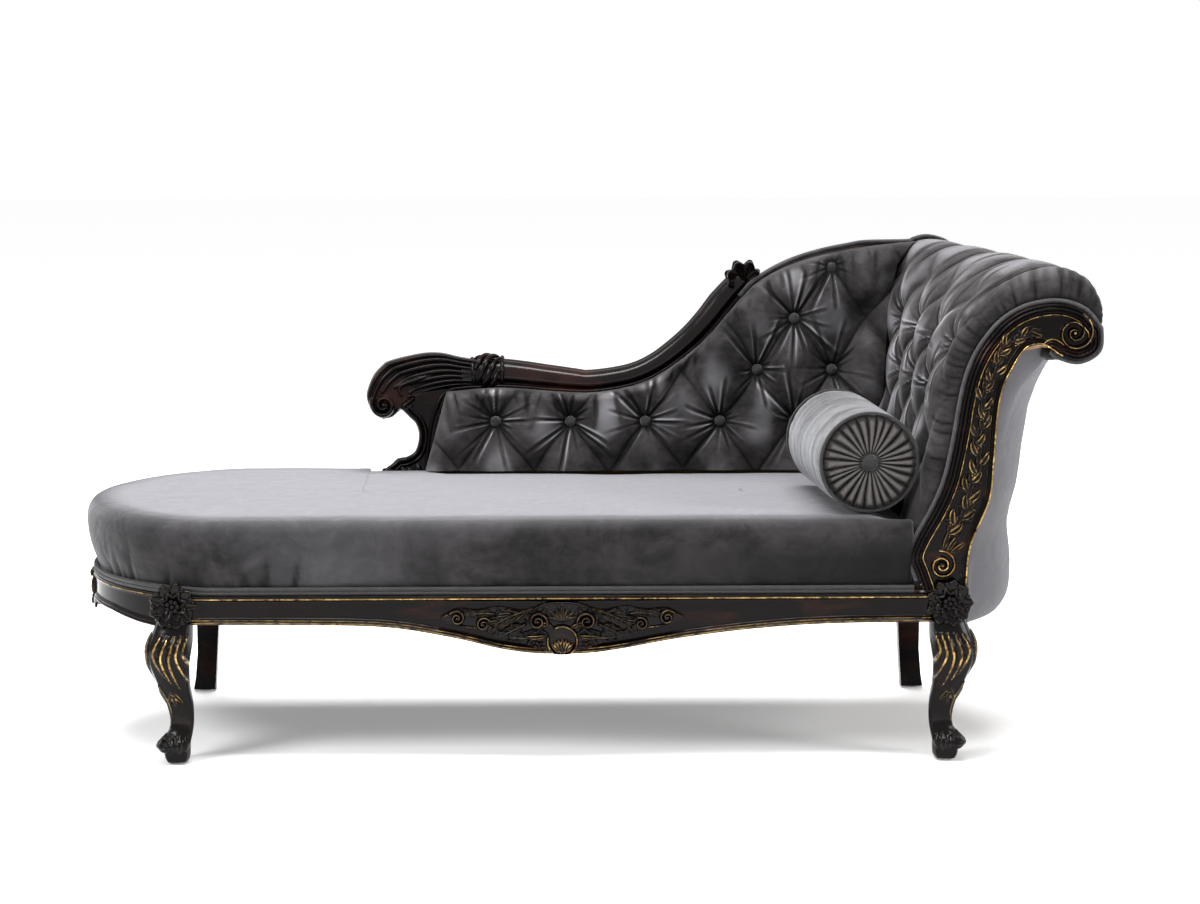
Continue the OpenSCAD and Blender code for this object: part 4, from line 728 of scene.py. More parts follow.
seat_levels = [(0, -0.5, 0), (0.05, -0.2, 0), (0.14, 0.05, 0), (0.38, 0.7, 0), (0.62, 1, 0),
               (0.78, 0.95, 0), (0.87, 0.62, 0), (0.925, 0.05, 0), (0.952, -0.5, 0.02),
               (0.966, -0.6, 0.07), (0.966, -0.6, 0.17), (0.966, -0.6, 0.45), (0.966, -0.6, 0.94)]
seat_crown_share = 0.034
press_reach, crown_reach, edge_reach = 0.066, 0.055, 0.05
seat_rows = 84
foot_gathers = 52


def from_sides(x, y):
    """How far in from the outer edge, the back edge and the head edge a place lies, in metres."""
    outer = np.minimum(seat_r - np.hypot(np.minimum(x - end_x, 0), y - end_y),
                       np.minimum(y - seat_face_y, seat_foot_y - y))
    back = np.hypot(np.maximum(notch - x, 0), np.maximum(seat_back_y - y, 0))
    head = seat_x_front + head_slope * (y - seat_face_y) - x
    return [np.maximum(d, 0) for d in (outer, back, head)]


def seat_points():
    e = seat_edge[None]
    level = spline(seat_levels, np.linspace(0, len(seat_levels) - 1, seat_rows))[:, None]
    height, swell, inward = level[..., 0], level[..., 1], level[..., 2]
    off = swell * seat_swell * e[..., 4]
    x, y = e[..., 0] + e[..., 2] * off, e[..., 1] + e[..., 3] * off
    spine_y = (seat_face_y + seat_back_y) / 2
    spine_in = (seat_back_y - seat_face_y) / 2
    spine_x = np.clip(e[..., 0], end_x, seat_x_rear - spine_in)
    x, y = mix(x, spine_x, inward), mix(y, spine_y, inward)
    outer, back, head = from_sides(x, y)
    by_back = np.clip(1 - back / press_reach, 0, 1) * np.clip((x - back_left) / 0.09, 0, 1)
    by_head = np.clip(1 - head / press_reach, 0, 1) * np.clip((y - seat_face_y) / 0.030, 0, 1)
    pressed_and_painted_light = press_share * np.maximum(by_back, by_head) * np.clip((height - 0.4) * 3, 0, 1)
    out = np.hypot(np.minimum(x - end_x, 0), y - spine_y) / ((seat_foot_y - seat_face_y) / 2)
    nearest = np.minimum(np.minimum(outer, back), head)
    crown = (1 - np.clip(out, 0, 1) ** 2) * np.clip(nearest / crown_reach, 0, 1)
    level = np.minimum(height, 1 - seat_crown_share) + seat_crown_share * crown
    z = rail_top + gap + (seat_rise - gap) * (level - pressed_and_painted_light)
    return np.stack([x, y, z], -1), height, inward


def gathers(height):
    """How far the gathered cloth round the foot is drawn in, in metres."""
    run = run_along(seat_edge)
    middle = run[half_points]
    random = np.random.default_rng(11)
    drawn = np.zeros((height.shape[0], len(run)))
    for at in np.linspace(-0.54, 0.45, foot_gathers):
        at += random.uniform(-0.018, 0.018)
        depth = random.uniform(0.0014, 0.0048) * (1 if abs(at) < 0.40 else 0.6)
        rise = random.uniform(0.25, 0.80)
        lean = random.uniform(-0.035, 0.035)
        width = random.uniform(0.0022, 0.0052) * (0.8 + 2.6 * height)
        fade = np.clip(1 - height / rise, 0, 1) ** 1.2
        drawn += depth * fade * groove(run[None] - middle - at - lean * height, width)
    return drawn


def run_in(points, inward):
    """How far in from the nearest edge a place on the top lies, in metres."""
    return np.where(inward > 0, np.min(from_sides(points[..., 0], points[..., 1]), axis=0), 0)


def seat_painted_light(points, height, inward):
    """Painted shade in the gathers, painted light up to the flat top, and along the side painted
    light at the foot turning to painted shade towards the head.
    """
    rising = np.clip((height - 0.45) / 0.55, 0, 1)
    top = 0.34 * rising ** 1.6 + 0.56 * np.clip(run_in(points, inward) / edge_reach, 0, 1)
    # Along the side: painted light near the foot, turning to painted shade towards the head.
    brushed_and_painted_light = np.interp(points[..., 0], [-0.75, -0.45, 0.0, 0.65], [0.0, 0.34, -0.24, -0.86])
    top = top + brushed_and_painted_light * (1 - rising) * (inward < 0.05)
    return np.clip(-gathers(height) / 0.0030 * (inward < 0.05) + top, -1, 1)


def make_seat_points():
    points, height, inward = seat_points()
    side = np.stack([seat_edge[:, 2], seat_edge[:, 3], np.zeros(len(seat_edge))], -1)[None]
    side = side * (seat_edge[:, 4] > 0.2)[None, :, None]
    points = points - side * gathers(height)[..., None]
    ripple = soft_noise(points, 0.16, 5) * 0.0016 + soft_noise(points, 0.05, 6) * 0.0005
    free = (1 - np.clip(inward * 3, 0, 1)) * np.clip(height * 5, 0, 1)
    points = points + side * (ripple * free * (1 - seat_edge[:, 5]))[..., None]
    crown = soft_noise(points, 0.24, 7) * 0.0016 + soft_noise(points, 0.07, 8) * 0.0004
    points[..., 2] -= (crown + 0.002) * np.clip(run_in(points, inward) / edge_reach, 0, 1) * (
        inward < 0.99)
    return points


print("gathers round the foot:", foot_gathers)

# %% [markdown]
# The seat is a stuffed pad over springs, under one cover of velvet. A rounded box would
# miss its overhang above the welt and the gathers round the foot, so one net is wrapped
# round the outline, level by level. It is hollow below, where the springs stand, so its
# walls are as thick as the real stuffing. Strips from edge to edge close top and bottom.

# %% Seat cushion
spring_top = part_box("spring_hessian")[1].z
hollow_x = [corner.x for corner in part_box("seat_cross_bars")]
hollow_y = (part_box("spring_hessian")[0].y - cushion_gap,
            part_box("spring_hessian")[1].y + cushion_gap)


def make_seat():
    outer = make_seat_points()
    inner = outer[0].copy()
    inner[:, 0] = np.clip(inner[:, 0], *hollow_x)
    inner[:, 1] = np.clip(inner[:, 1], *hollow_y)
    roof = inner.copy()
    roof[:, 2] = spring_top + gap
    points = np.concatenate([roof[None], inner[None], outer])
    rows, columns = points.shape[:2]
    faces = [tuple(f) for f in net(rows, columns, False, True)]
    top = (rows - 1) * columns
    for k in range(half_points - 1):
        mate = columns - 1 - k
        faces.append((k, mate, mate - 1, k + 1))
        faces.append((top + k, top + k + 1, top + mate - 1, top + mate))
    pile = np.zeros((rows, columns))
    pile[2:] = seat_painted_light(*seat_points())
    return make_mesh("seat_cushion_cloth", points, faces, "pile", pile)


seat = add_piece("seat_cushion_cloth", make_seat(), velvet,
                 stands_for=("seat_cushion",))

# %% [markdown]
# Deep buttoning is one height above one surface. The buttons stand in staggered rows; the
# cloth between them folds along the diagonals, because that is the shortest way from
# button to button, and the stuffing pushes each diamond up. So the height at a point is
# worked out from how far the point is from both families of diagonals, and a few short
# creases run out of every button where the cloth is drawn in. A dense net then takes the
# height, which keeps the folds sharp without a mesh modelled by hand.

# %% Deep buttoning
tuft_pitch = 0.143
tuft_row = 0.098
tuft_depth = 0.023
back_pad_t = 0.052
button_r = 0.010
tuft_puff = 0.009
crease_count = 13


def diamond(x, w):
    """Shares of the way out of the two families of diagonal folds at a place."""
    a, b = x / tuft_pitch, w / (2 * tuft_row)
    return np.abs(np.sin(math.pi * (a + b))), np.abs(np.sin(math.pi * (a - b)))


def wander(x, w, centres, seed):
    """How the folds stray from straight lines, except close to the buttons."""
    free = np.full(x.shape, 1.0)
    for cx, cw in centres:
        free = np.minimum(free, np.hypot(x - cx, w - cw) / 0.05)
    at = np.stack([x, w, 0 * x], -1)
    return (0.007 * free * soft_noise(at, 0.15, seed), 0.007 * free * soft_noise(at, 0.13, seed + 1),
            free)


def buttoned(x, w, centres, seed, fold=0.34):
    """Height of the buttoned cloth, and its painted shade and highlights, from the lines that join
    the buttons.
    """
    dx, dw, free = wander(x, w, centres, seed)
    p, q = diamond(x + dx, w + dw)
    pillow = (p * q) ** fold
    pull = (1 - p ** 2) * (1 - q ** 2)
    height = -tuft_depth * (0.42 * (1 - pillow) + 0.58 * pull ** 1.25) + tuft_puff * (p * q) ** 0.8
    random = np.random.default_rng(seed)
    drawn, shade = np.zeros_like(p), np.zeros_like(p)
    for cx, cw in centres:
        far = np.hypot(x - cx, w - cw)
        turn = np.arctan2(w - cw, x - cx)
        near = far < 0.11
        f, a = far[near], turn[near]
        start = random.uniform(0, 2 * math.pi)
        deepest, light = np.zeros_like(f), np.zeros_like(f)
        for k in range(crease_count):
            way = start + 2 * math.pi * (k + random.uniform(-0.4, 0.4)) / crease_count
            reach = random.uniform(0.035, 0.120) * (1.15 if abs(math.sin(way)) > 0.6 else 0.8)
            deep = random.uniform(0.0014, 0.0058)
            off = angle_off(a, way) * f
            off = off + random.uniform(-0.10, 0.10) * f * np.sin(f / reach * 2.5)
            width = 0.0014 + 0.020 * f
            fade = np.clip(1 - f / reach, 0, 1) * np.clip((f - 0.007) / 0.010, 0, 1)
            deepest += deep * groove(off, width) * fade
            # A painted highlight beside each crease, stronger on one side; it also raises that ridge
            # a little.
            light += deep * (groove(off - 2.2 * width, width)
                             + 0.4 * groove(off + 2.2 * width, width)) * fade
        drawn[near] += deepest - 0.5 * light
        shade[near] += light / 0.0034 - deepest / 0.0018
        height -= 0.007 * hump(far, 0, 0.014)
        # Painted shade round each button.
        shade -= 1.2 * np.exp(-(far / 0.017) ** 4)
    height -= drawn
    # Painted shade in the valleys of the diagonal folds.
    painted_valley_shade = (1 - np.minimum(p, q)) ** 9 * np.clip(1.3 - 0.75 * free, 0.35, 1)
    brushed_and_painted_light = soft_noise(np.stack([x, w, 0 * x], -1), 0.07, seed + 5)
    # Painted light on the crown of each diamond, painted shade in the folds, and a random brushed
    # tone.
    pile = 0.30 * np.clip(p * q * 1.6 - 0.7, -0.3, 0.6) - 1.2 * painted_valley_shade + shade + 0.26 * brushed_and_painted_light
    return height, np.clip(pile, -1, 1)


def edge_round(t, width):
    return np.where(t > width, 1.0, np.sqrt(np.clip(1 - (1 - t / width) ** 2, 0, 1)))


print("one diamond is", tuft_pitch, "by", 2 * tuft_row, "m")

# %% [markdown]
# The back pad fills the space between the seat, the head and the crest rail. Its net has
# one direction along the couch and one up the slope, so it stays even although the pad is
# low at the foot and tall at the head. It thins towards the crest rail, where the cloth
# is tacked into the rebate of the show wood.

# %% Back pad
pad_n0 = back_t / 2 + web_t + cloth_t + gap
pad_bottom_w = slab_w(seat_top - seat_rise * press_share * 0.68)
pad_right_x0 = head_place(pad_rear_shares[2])[0] - cushion_gap
pad_top_right = head_place(pad_rear_shares[8])[0] - cushion_gap
tuft_x0 = back_left + tuft_pitch * 0.46
tuft_w0 = slab_w(seat_top) - tuft_row * 0.16
pad_columns, pad_rows_up = 380, 210
rear_side = np.array([head_place(p) for p in pad_rear_shares[:11]])
front_side = np.array([head_place(p) for p in pad_front_shares[:11]])


def head_face_x(w, n):
    """Where the face of the head pad stands, at a place n in front of the back's plane."""
    z = rail_top + w * math.cos(rake) + n * math.sin(rake)
    s = n / (slab_y(z, -back_t / 2) - front_y)
    return mix(np.interp(z, rear_side[:, 1], rear_side[:, 0]),
               np.interp(z, front_side[:, 1], front_side[:, 0]), s) - cushion_gap


def pad_place(u, v, n):
    f = np.linspace(0, 1, len(contour))
    top_x = np.minimum(np.interp(u, f, contour[:, 0]), pad_top_right)
    top_w = np.interp(u, f, contour[:, 1]) - cushion_gap
    x = mix(mix(back_left + cushion_gap, pad_right_x0, u), top_x, v)
    w = mix(pad_bottom_w, top_w, v)
    right = mix(pad_right_x0, min(contour[-1, 0], pad_top_right), v)
    return x + (head_face_x(w, n) - right) * u ** 3, w


def back_buttons():
    rows = []
    for j in range(6):
        for i in range(8):
            x, w = tuft_x0 + tuft_pitch * (i + 0.5 * (j % 2)), tuft_w0 + tuft_row * j
            top = np.interp(x, contour[:, 0], contour[:, 1])
            if x < pad_right_x0 - 2 * button_r and w > pad_bottom_w + button_r and (
                    w < top - tuft_row * 0.26):
                rows.append((x, w))
    return np.array(rows)


def rim_gathers(x, below):
    """Fine upright folds where the cloth is drawn to the upper edge."""
    random = np.random.default_rng(77)
    drawn = np.zeros_like(x)
    for at in np.arange(back_left, contour[-1, 0], 0.021):
        at += random.uniform(-0.008, 0.008)
        reach = random.uniform(0.035, 0.100)
        lean = random.uniform(-0.35, 0.35)
        deep = random.uniform(0.0006, 0.0030)
        width = 0.0020 + 0.05 * below
        drawn += deep * groove(x - at - lean * below, width) * np.clip(1 - below / reach, 0, 1)
    return drawn


def make_back_pad():
    v, u = grid(np.linspace(0, 1, pad_rows_up), np.linspace(0, 1, pad_columns))
    x, w = pad_place(u, v, back_pad_t * 0.7)
    drawn, pile = buttoned(x - tuft_x0, w - tuft_w0, back_button_places - [tuft_x0, tuft_w0],
                           21)
    near_top = edge_round(1 - v, 0.30)
    rim = rim_gathers(x, (1 - v) * (np.interp(x, contour[:, 0], contour[:, 1]) - pad_bottom_w))
    drawn = drawn - rim
    # Painted shade in the fine folds under the upper edge.
    pile = np.clip(pile - rim / 0.0016, -1, 1)
    thin = 0.3 + 0.7 * edge_round(1 - v, 0.12) * edge_round(u, 0.035)
    thick = thin * (back_pad_t + drawn * near_top)
    skin = on_slab(x, w, pad_n0 + thick)
    ripple = soft_noise(skin, 0.045, 3) * 0.0009 * near_top
    skin = on_slab(x, w, pad_n0 + thick + ripple)
    bx, bw = pad_place(u, v, 0)
    return make_mesh("back_pad_cloth", *closed_sheet(skin, on_slab(bx, bw, pad_n0)), "pile",
                     pile * np.clip((1 - v) / 0.04, 0, 1))


back_button_places = back_buttons()
back_pad = add_piece("back_pad_cloth", make_back_pad(), tufted_velvet,
                     stands_for=("back_pad",))
print("the back has", len(back_button_places), "buttons")

# %% [markdown]
# The head pad is wrapped like a bandage: it stands up from the seat, leans out, and rolls
# over a core of boards to end under the scroll. Its net runs up and over the roll in one
# direction and from front to back in the other. Both edges of the sheet come from the
# same pattern curves as the boards, so the stuffing has a real thickness everywhere. Above
# the last row of buttons the diagonal folds turn into channels that run over the roll.

# %% Head pad
pad_runs = 260
pad_deep = 195
roll_bow = 0.014
head_tuft_depth = tuft_depth * 0.8
head_tuft_y = tuft_pitch * 0.4
head_tuft_w = tuft_row * 0.4
pad_front = spline([head_place(p) for p in pad_front_shares], np.arange(0, 16.01, 0.5))
pad_step = float(np.linalg.norm(pad_front[8] - pad_front[0])) / 8
facing_y0 = front_y - post_side / 2 + 0.002
board_y0 = facing_y0 + 0.017 + gap


def curve_at(shares, i):
    """A pattern curve of the head at place i, counted in half knots as in its buttons."""
    return spline([head_place(p) for p in shares], np.asarray(i) / 2)


def head_layer(front, rear, i, s):
    f, r = curve_at(front, i), curve_at(rear, i)
    p = f + (r - f) * s[..., None]
    roll = np.clip((i - 12) / 8, 0, 1)
    p[..., 0] += roll_bow * roll * 4 * s * (1 - s)
    return p


def deep_y(z, s):
    return mix(board_y0, slab_y(z, -back_t / 2) - cushion_gap, s)


def head_buttons():
    rows = []
    for j in range(1, 5):
        for k in range(5):
            i = (head_tuft_w + tuft_row * j) / pad_step
            y = front_y + head_tuft_y + tuft_pitch * (k + 0.5 * (j % 2))
            s = (y - board_y0) / (slab_y(rail_top + i * pad_step, -back_t / 2) - board_y0)
            if 0.1 < s < 0.84 and 9 < i < 17:
                rows.append((i, s))
    return rows


def head_skin(i, s):
    core = head_layer(board_front_shares, board_rear_shares, i, s)
    skin = head_layer(pad_front_shares, pad_rear_shares, i, s)
    out = skin - core
    thick = np.linalg.norm(out, axis=-1)
    return core, out / thick[..., None], thick


def make_head_pad():
    last = 2 * (len(pad_front_shares) - 1)
    i, s = grid(np.linspace(0, last, pad_runs), np.linspace(0, 1, pad_deep))
    core, out, thick = head_skin(i, s)
    z = core[..., 1] + out[..., 1] * thick
    y = deep_y(z, s)
    centres = [(deep_y(rail_top + a * pad_step, b) - front_y - head_tuft_y,
                a * pad_step - head_tuft_w) for a, b in head_button_places]
    across, up = y - front_y - head_tuft_y, i * pad_step - head_tuft_w
    drawn, pile = buttoned(across, up, centres, 33)
    drawn = drawn * 0.85
    over = np.clip((i - 15) / 3, 0, 1)
    phase = np.abs(np.sin(math.pi * across / tuft_pitch))
    reach_over = np.clip(1 - (i - 15) / 14, 0, 1)
    channel = 0.016 * (1 - phase ** 0.35) * reach_over
    small = np.zeros_like(s)
    random = np.random.default_rng(8)
    for _ in range(26):
        at = random.uniform(0.05, 0.95)
        low, high = np.sort(random.uniform(13, 30, 2))
        bend = at + random.uniform(-0.05, 0.05) * (i - low) / 10
        inside = np.clip((i - low) / 2, 0, 1) * np.clip((high - i) / 4, 0, 1)
        small -= random.uniform(0.0012, 0.0036) * inside * groove(s - bend, 0.007)
    rim = np.zeros_like(s)
    for at in np.linspace(6, 31, 46):
        at += random.uniform(-0.25, 0.25)
        reach = random.uniform(0.07, 0.24)
        rim += random.uniform(0.0006, 0.0030) * groove(i - at - s * 5, 0.10 + 0.7 * s) * (
            np.clip(1 - s / reach, 0, 1))
    calm = edge_round(s, 0.10) * edge_round(i / last, 0.06)
    height = mix(drawn * edge_round(s, 0.2), small - channel, over) * calm - rim
    # Painted light on the roll between the channels, and painted shade in the channels and small
    # grooves.
    rolled = 0.3 * phase - 1.1 * (1 - phase) ** 7 * reach_over + small / 0.0030
    pile = np.clip(1.35 * mix(pile * edge_round(s, 0.2) + small / 0.004, rolled, over), -1,
                   1) * calm
    # Painted shade in the folds along the front edge.
    pile = np.clip(pile - rim / 0.0026, -1, 1)
    side = edge_round(s, 0.06) * edge_round(1 - s, 0.03)
    tail = 0.55 + 0.45 * edge_round(1 - i / last, 0.05)
    grown = thick * (0.45 + 0.55 * side) * tail + height
    p = core + out * grown[..., None]
    outer = np.stack([p[..., 0], deep_y(p[..., 1], s), p[..., 1]], -1)
    outer[..., 0] += soft_noise(outer, 0.06, 4) * 0.0008 * side
    inner = np.stack([core[..., 0], deep_y(core[..., 1], s), core[..., 1]], -1)
    return make_mesh("head_pad_cloth", *closed_sheet(outer, inner), "pile", pile)


head_button_places = head_buttons()
head_pad = add_piece("head_pad_cloth", make_head_pad(), tufted_velvet,
                     stands_for=("head_pad",))
print("the head has", len(head_button_places), "buttons")

# %% [markdown]
# What repeats or follows a path is left to geometry nodes: one small tree can be used
# again with other sizes. Three trees do all of it here. The first lays a cord along a
# path, the second sets a covered button at every marked place and turns it to face out,
# and the third repeats one shape round a centre. The result is kept as a plain mesh.

# %% Trees of geometry nodes
def start_tree(name, inputs):
    tree = bpy.data.node_groups.new(name, "GeometryNodeTree")
    tree.interface.new_socket("Geometry", in_out="INPUT", socket_type="NodeSocketGeometry")
    for label, kind, value in inputs:
        socket = tree.interface.new_socket(label, in_out="INPUT", socket_type=kind)
        if value is not None:
            socket.default_value = value
    tree.interface.new_socket("Geometry", in_out="OUTPUT", socket_type="NodeSocketGeometry")
    return tree, tree.nodes.new("NodeGroupInput").outputs


def end_tree(tree, geometry, finish):
    real = add(tree, "GeometryNodeRealizeInstances", {"Geometry": geometry}).outputs[0]
    smooth = add(tree, "GeometryNodeSetShadeSmooth", {"Geometry": real}).outputs[0]
    done = add(tree, "GeometryNodeSetMaterial", {"Geometry": smooth, "Material": finish})
    add(tree, "NodeGroupOutput", {"Geometry": done.outputs[0]})
    return tree


def make_cord_tree():
    tree, given = start_tree("cord_along_path", [("Radius", "NodeSocketFloat", 0.004),
                             ("Sides", "NodeSocketInt", 12), ("Finish", "NodeSocketMaterial", None)])
    path = add(tree, "GeometryNodeMeshToCurve", {"Mesh": given["Geometry"]}).outputs[0]
    ring = add(tree, "GeometryNodeCurvePrimitiveCircle", {"Resolution": given["Sides"],
               "Radius": given["Radius"]}).outputs[0]
    cord = add(tree, "GeometryNodeCurveToMesh", {"Curve": path, "Profile Curve": ring,
               "Fill Caps": True}).outputs[0]
    return end_tree(tree, cord, given["Finish"])


def make_button_tree():
    tree, given = start_tree("covered_buttons", [("Radius", "NodeSocketFloat", 0.01),
                             ("Height", "NodeSocketFloat", 0.006),
                             ("Finish", "NodeSocketMaterial", None)])
    dome = add(tree, "GeometryNodeMeshUVSphere", {"Segments": 28, "Rings": 14}).outputs[0]
    size = add(tree, "ShaderNodeCombineXYZ", {"X": given["Radius"], "Y": given["Radius"],
               "Z": given["Height"]}).outputs[0]
    facing = add(tree, "GeometryNodeInputNamedAttribute", {"Name": "facing"},
                 data_type="FLOAT_VECTOR").outputs["Attribute"]
    turned = add(tree, "FunctionNodeAlignRotationToVector", {"Vector": facing}, axis="Z").outputs[0]
    placed = add(tree, "GeometryNodeInstanceOnPoints", {"Points": given["Geometry"],
                 "Instance": dome, "Rotation": turned, "Scale": size}).outputs[0]
    return end_tree(tree, placed, given["Finish"])


def make_round_tree():
    tree, given = start_tree("repeat_round", [("Count", "NodeSocketInt", 8),
                             ("Finish", "NodeSocketMaterial", None)])
    centre = add(tree, "GeometryNodeMeshLine", {"Count": given["Count"], "Offset": (0, 0, 0)})
    index = add(tree, "GeometryNodeInputIndex").outputs[0]
    step = sums(tree, "DIVIDE", 2 * math.pi, given["Count"])
    turn = add(tree, "ShaderNodeCombineXYZ", {"Z": sums(tree, "MULTIPLY", index, step)}).outputs[0]
    placed = add(tree, "GeometryNodeInstanceOnPoints", {"Points": centre.outputs[0],
                 "Instance": given["Geometry"], "Rotation": turn}).outputs[0]
    return end_tree(tree, placed, given["Finish"])


def grown(start, tree, **values):
    """The plain mesh that a tree makes from a start mesh."""
    holder = bpy.data.objects.new("start", start)
    scene.collection.objects.link(holder)
    modifier = holder.modifiers.new("grow", "NODES")
    modifier.node_group = tree
    for item in tree.interface.items_tree:
        if item.in_out == "INPUT" and item.name in values:
            modifier[item.identifier] = values[item.name]
    shape = holder.evaluated_get(bpy.context.evaluated_depsgraph_get())
    result = bpy.data.meshes.new_from_object(shape)
    holder.modifiers.remove(modifier)
    bpy.data.objects.remove(holder)
    return result


def path_mesh(paths, closed=False):
    points, edges = [], []
    for path in paths:
        first, count = len(points), len(path)
        points += np.asarray(path, float).tolist()
        edges += [(first + k, first + k + 1) for k in range(count - 1)]
        edges += [(first + count - 1, first)] if closed else []
    mesh = bpy.data.meshes.new("path")
    mesh.from_pydata(points, edges, [])
    return mesh


def add_cords(name, paths, radius, finish, body="couch", stands_for=(), closed=False,
              sides=12):
    mesh = grown(path_mesh(paths, closed), cord_tree, Radius=radius, Sides=sides, Finish=finish)
    return add_piece(name, mesh, finish, body, stands_for)


def domes(places, facings, radius, height, finish):
    """Covered domes at the places, each turned to its facing."""
    start = bpy.data.meshes.new("places")
    start.from_pydata(np.asarray(places, float).tolist(), [], [])
    facing = start.attributes.new("facing", "FLOAT_VECTOR", "POINT")
    facing.data.foreach_set("vector", np.asarray(facings, np.float32).ravel())
    return grown(start, button_tree, Radius=radius, Height=height, Finish=finish)


def add_buttons(name, places, facings, radius, height, finish, body="couch",
                stands_for=()):
    return add_piece(name, domes(places, facings, radius, height, finish), finish, body,
                     stands_for)


cord_tree, button_tree, round_tree = make_cord_tree(), make_button_tree(), make_round_tree()
print("trees:", cord_tree.name, button_tree.name, round_tree.name)

# %% [markdown]
# Every fold of the buttoning meets at a covered button, sewn down hard so that it sits
# deep in the stuffing. The button is a domed mould under velvet, wider than it is high.

# %% Buttons of the back and the head
button_rise = 0.0058
button_out = 0.0015
back_button_n = pad_n0 + back_pad_t - tuft_depth + button_out


def add_back_buttons():
    x, w = back_button_places.T
    places = on_slab(x, w, np.full(len(x), back_button_n))
    facing = on_slab(0, 0, 1) - on_slab(0, 0, 0)
    return add_buttons("back_button_covers", places, [facing] * len(x), button_r, button_rise,
                       velvet_button, stands_for=("back_buttons",))


def add_head_buttons():
    i, s = np.array(head_button_places).T
    core, out, thick = head_skin(i, s)
    p = core + out * (thick - head_tuft_depth + button_out)[:, None]
    places = np.stack([p[:, 0], deep_y(p[:, 1], s), p[:, 1]], -1)
    facing = np.stack([out[:, 0], 0 * s, out[:, 1]], -1)
    return add_buttons("head_button_covers", places, facing, button_r, button_rise,
                       velvet_button, stands_for=("head_buttons",))


add_back_buttons()
add_head_buttons()

# %% [markdown]
# A double welt hides the tacks where the seat cover meets the show wood: two cords side
# by side in one strip of bias-cut cloth. They follow the outline of the seat exactly, so
# the path is taken from the same edge points.

# %% Double welt round the seat
welt_d = 0.008
welt_tail = 0.030


def welt_paths():
    edge = seat_edge[seat_edge[:, 5] < 0.05]
    edge = edge[edge[:, 4] > 0.35]
    edge = edge[np.argmax(edge[:, 0]):]
    edge = np.concatenate([edge[:1] + [welt_tail, 0, 0, 0, 0, 0], edge])
    low, high = (corner.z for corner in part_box("seat_double_welt"))
    out = welt_d * 0.52 + gap
    paths = []
    for z in (low + welt_d * 0.45, high - welt_d * 0.45):
        paths.append(np.stack([edge[:, 0] + edge[:, 2] * out, edge[:, 1] + edge[:, 3] * out,
                               np.full(len(edge), z)], -1))
    return paths


add_cords("seat_welt_cords", welt_paths(), welt_d / 2, piping,
          stands_for=("seat_double_welt",), sides=14)

# %% [markdown]
# The bolster is a stuffed roll of paler velvet. Its ends are pleated: a strip of cloth is
# gathered into narrow folds that run to the middle, where a button covers their tails.
# One pleat is modelled as a small wedge with a rounded top and a sharp valley on each
# side, and the tree repeats it all the way round. A dark cord hides the seam.

# %% Bolster
bolster_turn = math.radians(6)
bolster_r = 0.090
bolster_length = 0.330
end_t = 0.010
shoulder = 0.007
end_piping_r = 0.0032
pleats = 28
bolster_middle = np.array(sum(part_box("bolster_cushion"), Vector()) / 2)
bolster_axis = np.array([-math.sin(bolster_turn), math.cos(bolster_turn), 0])
bolster_side = np.array([math.cos(bolster_turn), math.sin(bolster_turn), 0])


def on_bolster(a, b, c):
    """Across, down and along the bolster from its front end, as places in the room."""
    a, b, c = np.broadcast_arrays(a, b, c)
    return (bolster_middle + a[..., None] * bolster_side - b[..., None] * np.array([0, 0, 1.0])
            + (c - bolster_length / 2)[..., None] * bolster_axis)


def make_bolster_body():
    rows, columns = 120, 240
    t, turn = grid(np.linspace(0, 1, rows), round_angles(columns))
    body = bolster_length - 2 * end_t
    along = end_t + 0.002 + (body - 0.004) * t
    inset = np.minimum(along - end_t, end_t + body - along)
    r = bolster_r - shoulder * np.exp(-inset / 0.011)
    round_place = np.stack([np.cos(turn), np.sin(turn), t], -1)
    random = np.random.default_rng(14)
    for k in range(46):
        way, end = random.uniform(0, 2 * math.pi), k % 2
        reach = random.uniform(0.02, 0.07)
        off = np.abs(angle_off(turn, way)) * bolster_r
        from_end = np.where(end, body + end_t - along, along - end_t)
        r = r - random.uniform(0.0005, 0.0016) * groove(off, 0.004 + from_end * 0.08) * (
            np.clip(1 - from_end / reach, 0, 1))
    r = r + 0.0007 * soft_noise(round_place, 1.1, 17) * np.clip(inset / 0.02, 0, 1)
    b = np.minimum(r * np.sin(turn), bolster_r - 0.0006)
    points = np.concatenate([on_bolster(r * np.cos(turn), b, along).reshape(-1, 3),
                             on_bolster(0.0, 0.0, np.array([end_t + 0.002, end_t + body - 0.002]))])
    return make_mesh("bolster_cloth", points, tube_faces(rows, columns))


